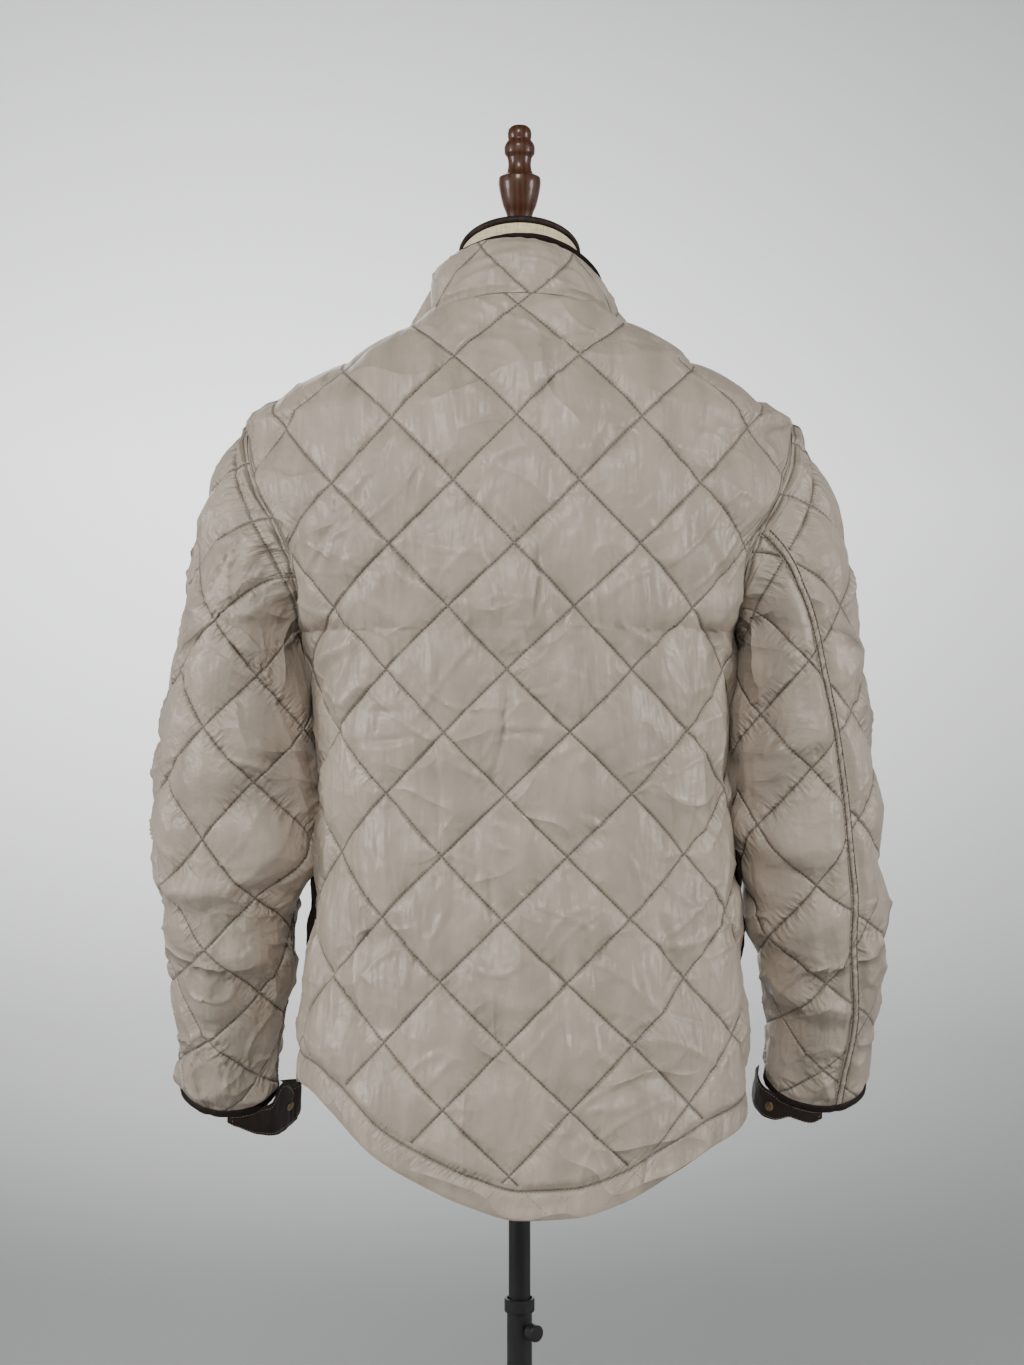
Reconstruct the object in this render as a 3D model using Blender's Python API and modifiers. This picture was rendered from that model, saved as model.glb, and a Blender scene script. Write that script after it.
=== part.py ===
"""Quilted jacket worn by a limbless dress form on a telescoping stand.

Metres, +Z up. The origin is the middle of the base's underside, on the pole's axis. The jacket's
front faces -Y, and its wearer's left is +X. Each cloth piece is a wall with a plain inside, whose
outer points are raised by the quilting. A piece is cut flat first: (s, q) are the distances across
and up its flat pattern, and a surface function lays that pattern round the figure.
"""
import math
from collections import namedtuple

import bmesh
import bpy
import numpy as np
from mathutils import Euler, Matrix, Vector, geometry

# ---- cloth ----
WALL = 0.0016            # cloth at a stitched line or a seam
PUFF = 0.0062            # how far a diamond's middle stands above its stitched edges
SEAM_GAP = 0.0003        # between neighbouring pieces
BODY_DIAGONAL = 0.105    # a quilted diamond's diagonal on the body
SLEEVE_DIAGONAL = 0.092  # the same on the sleeves, where the cloth is gathered along the arm
COLLAR_DIAGONAL = 0.105
CELLS = 4                # mesh cells to a diagonal
BODY_QUILT_AT = (0.008, 1.161)   # (s, q) of one crossing of quilt lines on the back
FRONT_QUILT_AT = (0.0, 1.161)
SEAM_FLAT = 0.012        # the quilting dies out this far from a seam
ARM_PRESS = 0.55         # share of the body's quilting that is lost beside the upper arm
ARM_PRESS_LEVEL = 1.02   # it starts at this level
ARM_PRESS_RISE = 0.10    # and is full this much higher
ARM_PRESS_FROM = 0.17    # it starts this far round from the centre
ARM_PRESS_OVER = 0.05    # and is full this much further
FOLD_FLAT = 0.030        # large folds die out this far from a seam
PLACKET_FLAT = 0.004     # the fronts stay flat this far beyond the placket
HEM_BAND = 0.024         # turned-up hem, from edge to stitch line
HEM_ROLL = 0.0034        # thickness of the turned-up hem

# ---- body: one row for each level, from below the hem to the top of the shoulders ----
BodyRow = namedtuple(
    "BodyRow",
    "level back_y back_z front_y front_z side_x back_side_y front_side_y side_z turn shift_x",
)
BODY_ROWS = (
    BodyRow(0.670, 0.144, 0.670, -0.134, 0.670, 0.203, 0.000, 0.000, 0.670, 90, 0.000),
    BodyRow(0.760, 0.140, 0.760, -0.133, 0.760, 0.200, 0.000, 0.000, 0.760, 90, 0.000),
    BodyRow(0.850, 0.133, 0.850, -0.131, 0.850, 0.193, 0.000, 0.000, 0.850, 90, -0.003),
    BodyRow(0.950, 0.126, 0.950, -0.127, 0.950, 0.183, 0.000, 0.000, 0.950, 90, -0.006),
    BodyRow(1.020, 0.123, 1.020, -0.125, 1.020, 0.179, 0.000, 0.000, 1.020, 90, -0.005),
    BodyRow(1.100, 0.126, 1.100, -0.126, 1.100, 0.180, 0.000, 0.000, 1.100, 90, -0.003),
    BodyRow(1.195, 0.132, 1.195, -0.127, 1.195, 0.188, 0.000, 0.000, 1.195, 90, 0.000),
    BodyRow(1.207, 0.133, 1.207, -0.127, 1.207, 0.188, 0.034, -0.030, 1.207, 84, 0.000),
    BodyRow(1.230, 0.134, 1.230, -0.126, 1.230, 0.190, 0.056, -0.050, 1.230, 74, 0.000),
    BodyRow(1.262, 0.134, 1.262, -0.124, 1.262, 0.199, 0.067, -0.060, 1.262, 64, 0.000),
    BodyRow(1.295, 0.133, 1.295, -0.119, 1.295, 0.214, 0.065, -0.060, 1.295, 58, 0.000),
    BodyRow(1.327, 0.130, 1.328, -0.112, 1.326, 0.230, 0.052, -0.048, 1.325, 54, 0.000),
    BodyRow(1.358, 0.125, 1.361, -0.102, 1.357, 0.238, 0.030, -0.025, 1.354, 54, 0.000),
    BodyRow(1.385, 0.117, 1.389, -0.091, 1.382, 0.2405, 0.003, 0.003, 1.381, 78, 0.000),
    BodyRow(1.420, 0.103, 1.424, -0.076, 1.418, 0.185, 0.005, 0.005, 1.411, 90, 0.000),
    BodyRow(1.455, 0.088, 1.456, -0.062, 1.450, 0.130, 0.007, 0.007, 1.442, 90, 0.000),
    BodyRow(1.487, 0.074, 1.484, -0.050, 1.478, 0.079, 0.009, 0.009, 1.471, 90, 0.000),
)
ROW_FULLNESS = 0.60      # handle length of a row's curve: 0.55 is an ellipse, more is boxier
UNDERARM = 1.195         # level where the side seam meets the armhole
SHOULDER_TIP = 1.385     # level where the armhole meets the shoulder seam
NECK_LEVEL = 1.487       # level where the shoulder seam meets the collar
FRONT_NECK = 1.405       # level of the neckline at the centre front
ARMHOLE_STEPS = 8        # mesh edges along each half of an armhole
NECK_STEPS = 6           # mesh edges along the back neckline and along each front neckline, by half

# ---- hem: height of the cloth's edge against the distance round from the centre ----
HemPoint = namedtuple("HemPoint", "s q")
BACK_HEM = (
    HemPoint(-0.300, 0.766), HemPoint(-0.250, 0.764), HemPoint(-0.185, 0.756),
    HemPoint(-0.135, 0.738), HemPoint(-0.085, 0.716), HemPoint(-0.045, 0.706),
    HemPoint(0.000, 0.7045), HemPoint(0.045, 0.716), HemPoint(0.080, 0.730),
    HemPoint(0.125, 0.751), HemPoint(0.175, 0.785), HemPoint(0.210, 0.799),
    HemPoint(0.300, 0.803),
)
FRONT_HEM = (
    HemPoint(-0.300, 0.758), HemPoint(-0.150, 0.760), HemPoint(0.000, 0.772),
    HemPoint(0.150, 0.786), HemPoint(0.300, 0.795),
)

# ---- sleeves: one row for each ring below the armhole, cuff last ----
SleeveRing = namedtuple("SleeveRing", "z x y across depth")
SLEEVE_RINGS = {
    "left": (
        SleeveRing(1.165, 0.2530, -0.004, 0.0500, 0.0700),
        SleeveRing(1.100, 0.2572, -0.006, 0.0560, 0.0690),
        SleeveRing(1.030, 0.2580, -0.010, 0.0610, 0.0660),
        SleeveRing(0.960, 0.2615, -0.026, 0.0560, 0.0590),
        SleeveRing(0.900, 0.2620, -0.046, 0.0535, 0.0550),
        SleeveRing(0.850, 0.2662, -0.066, 0.0478, 0.0500),
        SleeveRing(0.805, 0.2702, -0.087, 0.0430, 0.0455),
        SleeveRing(0.770, 0.2725, -0.104, 0.0425, 0.0440),
    ),
    "right": (
        SleeveRing(1.165, 0.2520, -0.004, 0.0490, 0.0700),
        SleeveRing(1.100, 0.2545, -0.006, 0.0540, 0.0690),
        SleeveRing(1.030, 0.2570, -0.010, 0.0590, 0.0660),
        SleeveRing(0.960, 0.2665, -0.026, 0.0570, 0.0600),
        SleeveRing(0.900, 0.2758, -0.046, 0.0520, 0.0560),
        SleeveRing(0.850, 0.2795, -0.066, 0.0475, 0.0510),
        SleeveRing(0.805, 0.2790, -0.087, 0.0430, 0.0460),
        SleeveRing(0.775, 0.2775, -0.101, 0.0445, 0.0450),
    ),
}
CAP_SLOPE_TOP = 58       # degrees below level at which a sleeve leaves the shoulder tip
CAP_SLOPE_UNDER = 20     # the same at the underarm
SeamPoint = namedtuple("SeamPoint", "along turn")
SLEEVE_SEAM = {          # where the sleeve's long seam runs; turn 0 is outward, 90 front, 270 back
    "left": (SeamPoint(-0.05, 180), SeamPoint(0.10, 182), SeamPoint(0.40, 186)),
    "right": (
        SeamPoint(-0.07, 270), SeamPoint(0.00, 281), SeamPoint(0.05, 290), SeamPoint(0.13, 298),
        SeamPoint(0.19, 301), SeamPoint(0.25, 295), SeamPoint(0.31, 297), SeamPoint(0.40, 290),
    ),
}
SleeveQuilt = namedtuple("SleeveQuilt", "turn along")
SLEEVE_QUILT_AT = {"left": SleeveQuilt(286, 0.052), "right": SleeveQuilt(268, 0.086)}
SLEEVE_PUFF = 0.0056     # how far its diamonds stand out
SLEEVE_PRESS = 0.6       # share of that which is lost where the upper sleeve faces the body
SLEEVE_PRESS_TO = 0.16   # distance along at which it is free of the body
SLEEVE_PRESS_OVER = 0.06
SEAM_FOLD_FLAT = 0.020   # its folds die out this far from its long seam
SEAM_STRIP_WIDTH = 0.0085
SEAM_STRIP_THICK = 0.0009
SEAM_STRIP_FROM = 0.022  # it starts this far from the armhole
SEAM_STRIP_START_LIFT = 0.0010    # its first points stand higher, clear of the underarm's bend

# ---- large folds: middle (s, q), direction, length, width and height ----
Fold = namedtuple("Fold", "s q angle length width height")
BODY_FOLDS = {
    "back": (
        Fold(0.155, 1.120, 62, 0.12, 0.020, 0.004), Fold(-0.160, 1.100, 118, 0.12, 0.020, 0.004),
        Fold(-0.110, 0.900, 80, 0.11, 0.016, 0.004), Fold(0.200, 0.880, 98, 0.16, 0.022, 0.004),
        Fold(-0.205, 0.860, 84, 0.16, 0.022, 0.004),
    ),
    "front_left": (Fold(0.160, 1.120, 118, 0.14, 0.022, 0.004),),
    "front_right": (Fold(-0.160, 1.110, 62, 0.14, 0.022, 0.004),),
}
SLEEVE_FOLDS = {         # s is the turn in degrees here, and q the distance along the sleeve
    "left": (
        Fold(250, 0.080, 25, 0.10, 0.016, 0.006), Fold(230, 0.150, -20, 0.10, 0.014, 0.006),
        Fold(285, 0.180, 14, 0.11, 0.013, 0.005), Fold(260, 0.245, -18, 0.10, 0.013, 0.005),
        Fold(120, 0.120, 15, 0.10, 0.016, 0.006), Fold(90, 0.200, -15, 0.10, 0.014, 0.006),
        Fold(60, 0.270, 12, 0.09, 0.013, 0.005),
    ),
    "right": (
        Fold(245, 0.075, -22, 0.10, 0.016, 0.006), Fold(232, 0.140, 18, 0.10, 0.014, 0.006),
        Fold(250, 0.215, -15, 0.11, 0.013, 0.005), Fold(262, 0.290, 14, 0.09, 0.013, 0.005),
        Fold(120, 0.110, 15, 0.10, 0.016, 0.006), Fold(90, 0.190, -15, 0.10, 0.014, 0.006),
        Fold(60, 0.260, 12, 0.09, 0.013, 0.005),
    ),
}

# ---- collar ----
COLLAR_TOP_X = 0.0745    # half width of its top edge
COLLAR_TOP_Y = 0.0700    # half depth
COLLAR_TOP_MIDDLE = (0.0, -0.014, 1.4965)
COLLAR_TOP_SLOPE = 0.55  # rise of the top edge towards the back, for each metre
COLLAR_TOP_ROLL = 0.055  # rise towards the left, for each metre
COLLAR_SEAM_GAP = 0.0008
COLLAR_BULGE = 0.0035
COLLAR_OPENING = 0.004   # gap between its ends at the centre front
FACING_WALL = 0.0016
FACING_PROUD = 0.0022    # the dark facing stands above the collar's edge by this

# ---- front closure, pockets and cuffs ----
PLACKET_WIDTH = 0.046
PLACKET_WALL = 0.0022
SNAP_LEVELS = (0.825, 0.930, 1.035, 1.140, 1.245, 1.350)
SNAP_RADIUS = 0.0075
SNAP_HEIGHT = 0.0025
PocketEnd = namedtuple("PocketEnd", "ahead level")
POCKET_TOP = PocketEnd(-0.003, 1.006)    # ahead of the side seam, and at this level
POCKET_LOW = PocketEnd(0.052, 0.872)
POCKET_BOW = 0.010       # the slit bows this far to the rear at its middle
LIP_WIDTH = 0.0075
LIP_HEIGHT = 0.0034
LIP_APART = 0.0035       # between the two lips at the pocket's ends
POCKET_GAPE = 0.0075     # how much further apart they stand at the middle
LIP_FOOT = {"rear": 0.0008, "front": 0.0008}    # above the quilting's highest points
LIP_SIDE = {"rear": -1, "front": 1}    # which way a lip lies from the slit
LipPoint = namedtuple("LipPoint", "across swell")
LIP_SECTION = (LipPoint(0, 0.75), LipPoint(0.35, 1.0), LipPoint(0.75, 0.9), LipPoint(1, 0.55))
LIP_EDGE = 0.0010        # its least thickness
CUFF_BINDING = 0.0070
CUFF_BINDING_WALL = 0.0012
CUFF_STEPS = 20          # mesh edges round a cuff
TabRow = namedtuple("TabRow", "turn out upper lower")
CUFF_TABS = {            # out: away from the sleeve; upper and lower edge: beyond the cuff's edge
    "left": (
        TabRow(266, 0.0022, 0.0002, 0.0060), TabRow(248, 0.0034, 0.0002, 0.0150),
        TabRow(228, 0.0080, 0.0000, 0.0250), TabRow(208, 0.0150, -0.0100, 0.0300),
        TabRow(190, 0.0220, -0.0260, 0.0270), TabRow(176, 0.0230, -0.0300, 0.0220),
        TabRow(164, 0.0180, -0.0100, 0.0160),
    ),
    "right": (
        TabRow(272, 0.0022, 0.0002, 0.0070), TabRow(258, 0.0026, 0.0002, 0.0130),
        TabRow(240, 0.0038, 0.0002, 0.0110), TabRow(222, 0.0070, 0.0000, 0.0200),
        TabRow(204, 0.0100, -0.0060, 0.0230), TabRow(186, 0.0110, -0.0120, 0.0200),
        TabRow(168, 0.0080, -0.0080, 0.0130),
    ),
}
TAB_WALL = 0.0020
TAB_SNAP_RADIUS = 0.0045
TAB_SNAP_HEIGHT = 0.0018

# ---- dress form ----
TORSO_BOTTOM = 0.830
TORSO_SHARE = 0.95       # its rings follow the cloth's rows to this share of their half width
Clearance = namedtuple("Clearance", "level inside")
TORSO_CLEARANCE = (      # how far the form lies inside the cloth
    Clearance(0.830, 0.022), Clearance(1.000, 0.016), Clearance(1.150, 0.010),
    Clearance(1.260, 0.0080), Clearance(1.350, 0.0090), Clearance(1.390, 0.0090),
    Clearance(1.425, 0.0038),
    Clearance(1.487, 0.0050),
)
NeckRing = namedtuple("NeckRing", "y z across depth")
NECK_RINGS = (
    NeckRing(0.000, 1.472, 0.0610, 0.0600), NeckRing(0.001, 1.492, 0.0540, 0.0540),
    NeckRing(0.001, 1.512, 0.0525, 0.0525), NeckRing(0.0005, 1.5285, 0.0525, 0.0525),
)
NECK_TILT = 25           # degrees, the neck's top leans forward
CAP_RADIUS = 0.0545
CAP_THICK = 0.0060
CAP_MIDDLE_Z = 1.5322
FINIAL_FOOT_GAP = 0.0003
FinialPoint = namedtuple("FinialPoint", "radius z")
FINIAL_PROFILE = (       # from the top down
    FinialPoint(0.0000, 1.6480), FinialPoint(0.0060, 1.6472), FinialPoint(0.0098, 1.6440),
    FinialPoint(0.0108, 1.6395), FinialPoint(0.0103, 1.6345), FinialPoint(0.0118, 1.6325),
    FinialPoint(0.0138, 1.6275), FinialPoint(0.0136, 1.6225), FinialPoint(0.0110, 1.6185),
    FinialPoint(0.0103, 1.6120), FinialPoint(0.0112, 1.6065), FinialPoint(0.0150, 1.6025),
    FinialPoint(0.0186, 1.6005), FinialPoint(0.0190, 1.5960), FinialPoint(0.0184, 1.5905),
    FinialPoint(0.0175, 1.5860), FinialPoint(0.0150, 1.5760), FinialPoint(0.0118, 1.5680),
    FinialPoint(0.0108, 1.5630), FinialPoint(0.0128, 1.5580), FinialPoint(0.0160, 1.5540),
    FinialPoint(0.0170, 1.5480), FinialPoint(0.0170, 1.5200), FinialPoint(0.0000, 1.5200),
)

# ---- stand ----
POLE_UPPER_RADIUS = 0.0097
POLE_UPPER_FOOT = 0.250
POLE_LOWER_RADIUS = 0.0112
POLE_LOWER_BORE = 0.0100
POLE_LOWER_TOP = 0.598
FLANGE_RADIUS = 0.035
FLANGE_THICK = 0.004
POLE_RING_RADIUS = 0.0135
POLE_RING_LOW = 0.5885
POLE_RING_HIGH = 0.6005
KNOB_Z = 0.574
KNOB_AZIMUTH = 127       # degrees from +X, towards the back right
KNOB_SHANK = (0.0030, 0.0045)    # radius, length
KNOB_HEAD = (0.0075, 0.0100)
BASE_RADIUS = 0.180
BASE_THICK = 0.012
SOCKET_RADIUS = 0.021
SOCKET_HEIGHT = 0.045

LINE_SAMPLES = 33        # points at which a row's curve is measured


# ---------------------------------------------------------------- numbers
def calm_slopes(knots, values):
    """Slopes at the knots that never carry the curve past its own values."""
    spans = np.diff(knots)
    if values.ndim > 1:
        spans = spans.reshape((-1,) + (1,) * (values.ndim - 1))
    rises = np.diff(values, axis=0) / spans
    before, after = rises[:-1], rises[1:]
    weigh_before = 2 * spans[1:] + spans[:-1]
    weigh_after = spans[1:] + 2 * spans[:-1]
    same_way = before * after > 0
    safe_before = np.where(same_way, before, 1.0)
    safe_after = np.where(same_way, after, 1.0)
    mean = (weigh_before + weigh_after) / (weigh_before / safe_before + weigh_after / safe_after)
    return np.concatenate([rises[:1], np.where(same_way, mean, 0.0), rises[-1:]])


def spline(knots, values, where):
    """Read a smooth curve through a table's values; it holds its end values outside the table."""
    knots = np.asarray(knots, float)
    values = np.asarray(values, float)
    where = np.clip(np.asarray(where, float), knots[0], knots[-1])
    slopes = calm_slopes(knots, values)
    i = np.clip(np.searchsorted(knots, where, side="right") - 1, 0, len(knots) - 2)
    span = knots[i + 1] - knots[i]
    t = (where - knots[i]) / span
    if values.ndim > 1:
        t = t[..., None]
        span = span[..., None]
    start = 2 * t**3 - 3 * t**2 + 1
    end = 3 * t**2 - 2 * t**3
    leave = t**3 - 2 * t**2 + t
    arrive = t**3 - t**2
    ends = start * values[i] + end * values[i + 1]
    return ends + span * (leave * slopes[i] + arrive * slopes[i + 1])


def smooth_step(x):
    """0 below 0, 1 above 1, and a soft S between."""
    x = np.clip(x, 0.0, 1.0)
    return x * x * (3 - 2 * x)


def unit(vectors):
    return vectors / np.maximum(np.linalg.norm(vectors, axis=-1, keepdims=True), 1e-12)


def bezier(handles, t):
    """Points at t on cubic curves, whose four handles are handles[..., 0:4, :]."""
    t = np.asarray(t)[..., None]
    a, b, c, d = (handles[..., k, :] for k in range(4))
    return (1 - t)**3 * a + 3 * (1 - t)**2 * t * b + 3 * (1 - t) * t**2 * c + t**3 * d


def even_steps(handles):
    """Curve parameters that lie at even distances along each curve, and each curve's length."""
    t = np.linspace(0, 1, LINE_SAMPLES)
    points = bezier(handles[:, None], np.broadcast_to(t, (len(handles), LINE_SAMPLES)))
    lengths = np.linalg.norm(np.diff(points, axis=1), axis=2)
    travelled = np.concatenate([np.zeros((len(handles), 1)), np.cumsum(lengths, axis=1)], axis=1)
    total = travelled[:, -1]
    even = np.array([np.interp(t * whole, way, t) for whole, way in zip(total, travelled)])
    return even, total


def read_grid(grid, row, column):
    """Bilinear reading of grid at fractional row and column numbers."""
    row = np.clip(row, 0, grid.shape[0] - 1.0001)
    column = np.clip(column, 0, grid.shape[1] - 1.0001)
    i = row.astype(int)
    j = column.astype(int)
    u = row - i
    v = column - j
    near = grid[i, j] * (1 - v) + grid[i, j + 1] * v
    far = grid[i + 1, j] * (1 - v) + grid[i + 1, j + 1] * v
    return near * (1 - u) + far * u


def normals_of(surface, first, second, steps):
    """Unit normals of surface(first, second), by differences of the given steps."""
    along = surface(first + steps[0], second) - surface(first - steps[0], second)
    up = surface(first, second + steps[1]) - surface(first, second - steps[1])
    return unit(np.cross(along, up))


# ---------------------------------------------------------------- body surface
TIP_POINT, NECK_POINT = (
    np.array([row.side_x, row.back_side_y, row.side_z])
    for row in BODY_ROWS if row.level in (SHOULDER_TIP, NECK_LEVEL)
)


class BodySide:
    """The back or the front of the body cloth, from the side seam of one side to the other."""

    def __init__(self, is_front):
        self.is_front = is_front
        self.levels = np.linspace(BODY_ROWS[0].level, BODY_ROWS[-1].level, 164)
        self.even, self.half = even_steps(self.handles(self.levels))

    def handles(self, level):
        """The four handles of the left half row at each level."""
        rows = spline([row.level for row in BODY_ROWS], np.array(BODY_ROWS), level)
        row = BodyRow(*np.moveaxis(rows, -1, 0))
        if self.is_front:
            centre_y, centre_z, side_y = row.front_y, row.front_z, row.front_side_y
        else:
            centre_y, centre_z, side_y = row.back_y, row.back_z, row.back_side_y
        nothing = np.zeros_like(centre_y)
        centre = np.stack([nothing, centre_y, centre_z], axis=-1)
        side = np.stack([row.side_x, side_y, row.side_z], axis=-1)
        along_shoulder = ((level - SHOULDER_TIP) / (NECK_LEVEL - SHOULDER_TIP))[..., None]
        seam = TIP_POINT + along_shoulder * (NECK_POINT - TIP_POINT)
        side = np.where(along_shoulder > 0, seam, side)
        side_y = side[..., 1]
        turn = np.radians(row.turn)
        towards_side = np.sign(side_y - centre_y)
        arrival = np.stack([np.cos(turn), towards_side * np.sin(turn), nothing], axis=-1)
        first = centre + np.stack([ROW_FULLNESS * side[..., 0], nothing, nothing], axis=-1)
        reach = ROW_FULLNESS * np.abs(centre_y - side_y)
        return np.stack([centre, first, side - reach[..., None] * arrival, side], axis=-2)

    def half_width(self, level):
        """Distance along the cloth from its centre line to its side edge."""
        return np.interp(level, self.levels, self.half)

    def place(self, part, level):
        """Point at part of the row's half width, -1 at the right edge and 1 at the left."""
        part, level = np.broadcast_arrays(np.asarray(part, float), np.asarray(level, float))
        row = (level - self.levels[0]) / (self.levels[1] - self.levels[0])
        size = np.abs(part)
        t = read_grid(self.even, row, size * (LINE_SAMPLES - 1))
        points = bezier(self.handles(level), t)
        points[..., 0] *= np.where(part < 0, -1.0, 1.0)
        shift = spline([r.level for r in BODY_ROWS], [r.shift_x for r in BODY_ROWS], level)
        points[..., 0] += shift
        return points

    def bare_normal(self, part, level):
        """Outward normal of the smooth cloth."""
        part = np.clip(part, -0.998, 0.998)
        level = np.clip(level, self.levels[0] + 0.002, self.levels[-1] - 0.002)
        normal = normals_of(self.place, part, level, (0.002, 0.0015))
        return normal if self.is_front else -normal

    def normal(self, part, level):
        """The same, turned at the armhole to halve the angle between body and sleeve."""
        part, level = np.broadcast_arrays(np.asarray(part, float), np.asarray(level, float))
        normal = self.bare_normal(part, level)
        beside = (1 - np.abs(part)) * self.half_width(level)
        beyond = np.maximum(np.maximum(UNDERARM - level, level - SHOULDER_TIP), 0)
        near = 1 - smooth_step(np.hypot(beside, beyond) / SEAM_FLAT)
        join = ARMHOLE.join_at_level(self, np.clip(level, UNDERARM, SHOULDER_TIP))
        join[..., 0] *= np.where(part < 0, -1.0, 1.0)
        return unit(normal + near[..., None] * (join - normal))

    def lay(self, flat):
        """Lay flat points (s, q) on the figure; gives points and normals."""
        part = flat[:, 0] / self.half_width(flat[:, 1])
        return self.place(part, flat[:, 1]), self.normal(part, flat[:, 1])


BACK = BodySide(is_front=False)
FRONT = BodySide(is_front=True)


def side_line(side, low, high, count):
    """Flat points along a body piece's left edge, between two levels."""
    levels = np.linspace(low, high, count)
    return np.stack([side.half_width(levels) - SEAM_GAP / 2, levels], axis=1)


def armhole_levels(side):
    """Levels at even distances along one half of the armhole, underarm first."""
    levels = np.linspace(UNDERARM, SHOULDER_TIP, 120)
    points = side.place(1.0, levels)
    way = np.concatenate([[0], np.cumsum(np.linalg.norm(np.diff(points, axis=0), axis=1))])
    return np.interp(np.linspace(0, way[-1], ARMHOLE_STEPS + 1), way, levels)


class Armhole:
    """The loop where the left sleeve joins the body: shoulder tip, front, underarm, back."""

    def __init__(self):
        self.front_levels = armhole_levels(FRONT)
        self.back_levels = armhole_levels(BACK)
        front = self.front_levels[::-1]
        back = self.back_levels[1:]
        self.points = np.concatenate([FRONT.place(1.0, front), BACK.place(1.0, back)])
        body = np.concatenate([FRONT.bare_normal(1.0, front), BACK.bare_normal(1.0, back)])
        self.turns = np.radians(np.linspace(0, 360, len(self.points)))
        loop = np.gradient(self.points, axis=0)
        loop[0] = loop[-1] = loop[0] + loop[-1]
        sleeve = unit(np.cross(loop, self.leave(self.turns)))
        if sleeve[0, 2] < 0:
            sleeve = -sleeve
        self.joins = unit(body + sleeve)

    def leave(self, turn):
        """Direction in which the sleeve leaves the armhole."""
        under = (1 - np.cos(turn)) / 2
        slope = np.radians(CAP_SLOPE_TOP + under * (CAP_SLOPE_UNDER - CAP_SLOPE_TOP))
        return np.stack([np.cos(slope), np.zeros_like(slope), -np.sin(slope)], axis=-1)

    def join_at_level(self, side, level):
        half = len(self.front_levels) - 1
        if side.is_front:
            return spline(self.front_levels, self.joins[:half + 1][::-1], level)
        return spline(self.back_levels, self.joins[half:], level)


ARMHOLE = Armhole()


def armhole_line(side):
    levels = armhole_levels(side)
    return np.stack([side.half_width(levels) - SEAM_GAP / 2, levels], axis=1)


def front_neckline():
    """Flat points of the front neckline, from the shoulder to the centre."""
    angle = np.linspace(0, math.pi / 2, NECK_STEPS + 3)
    wide = FRONT.half_width(NECK_LEVEL) - SEAM_GAP / 2
    s = wide * np.cos(angle)
    q = NECK_LEVEL - (NECK_LEVEL - FRONT_NECK) * np.sin(angle)**0.9
    return np.stack([s, q], axis=1)


def centre_levels(foot):
    """Levels of the points down a front's centre edge, from the neck to the hem."""
    cell = BODY_DIAGONAL / CELLS
    first = math.ceil((foot + 0.4 * cell - FRONT_QUILT_AT[1]) / cell)
    last = math.floor((FRONT_NECK - 0.4 * cell - FRONT_QUILT_AT[1]) / cell)
    rows = [FRONT_QUILT_AT[1] + k * cell for k in range(last, first - 1, -1)]
    return np.array([FRONT_NECK] + rows + [foot])


def back_neckline():
    """Flat points of the back neckline, from the left shoulder to the right."""
    count = 2 * NECK_STEPS + 1
    wide = BACK.half_width(NECK_LEVEL) - SEAM_GAP / 2
    return np.stack([np.linspace(wide, -wide, count), np.full(count, NECK_LEVEL)], axis=1)


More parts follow.
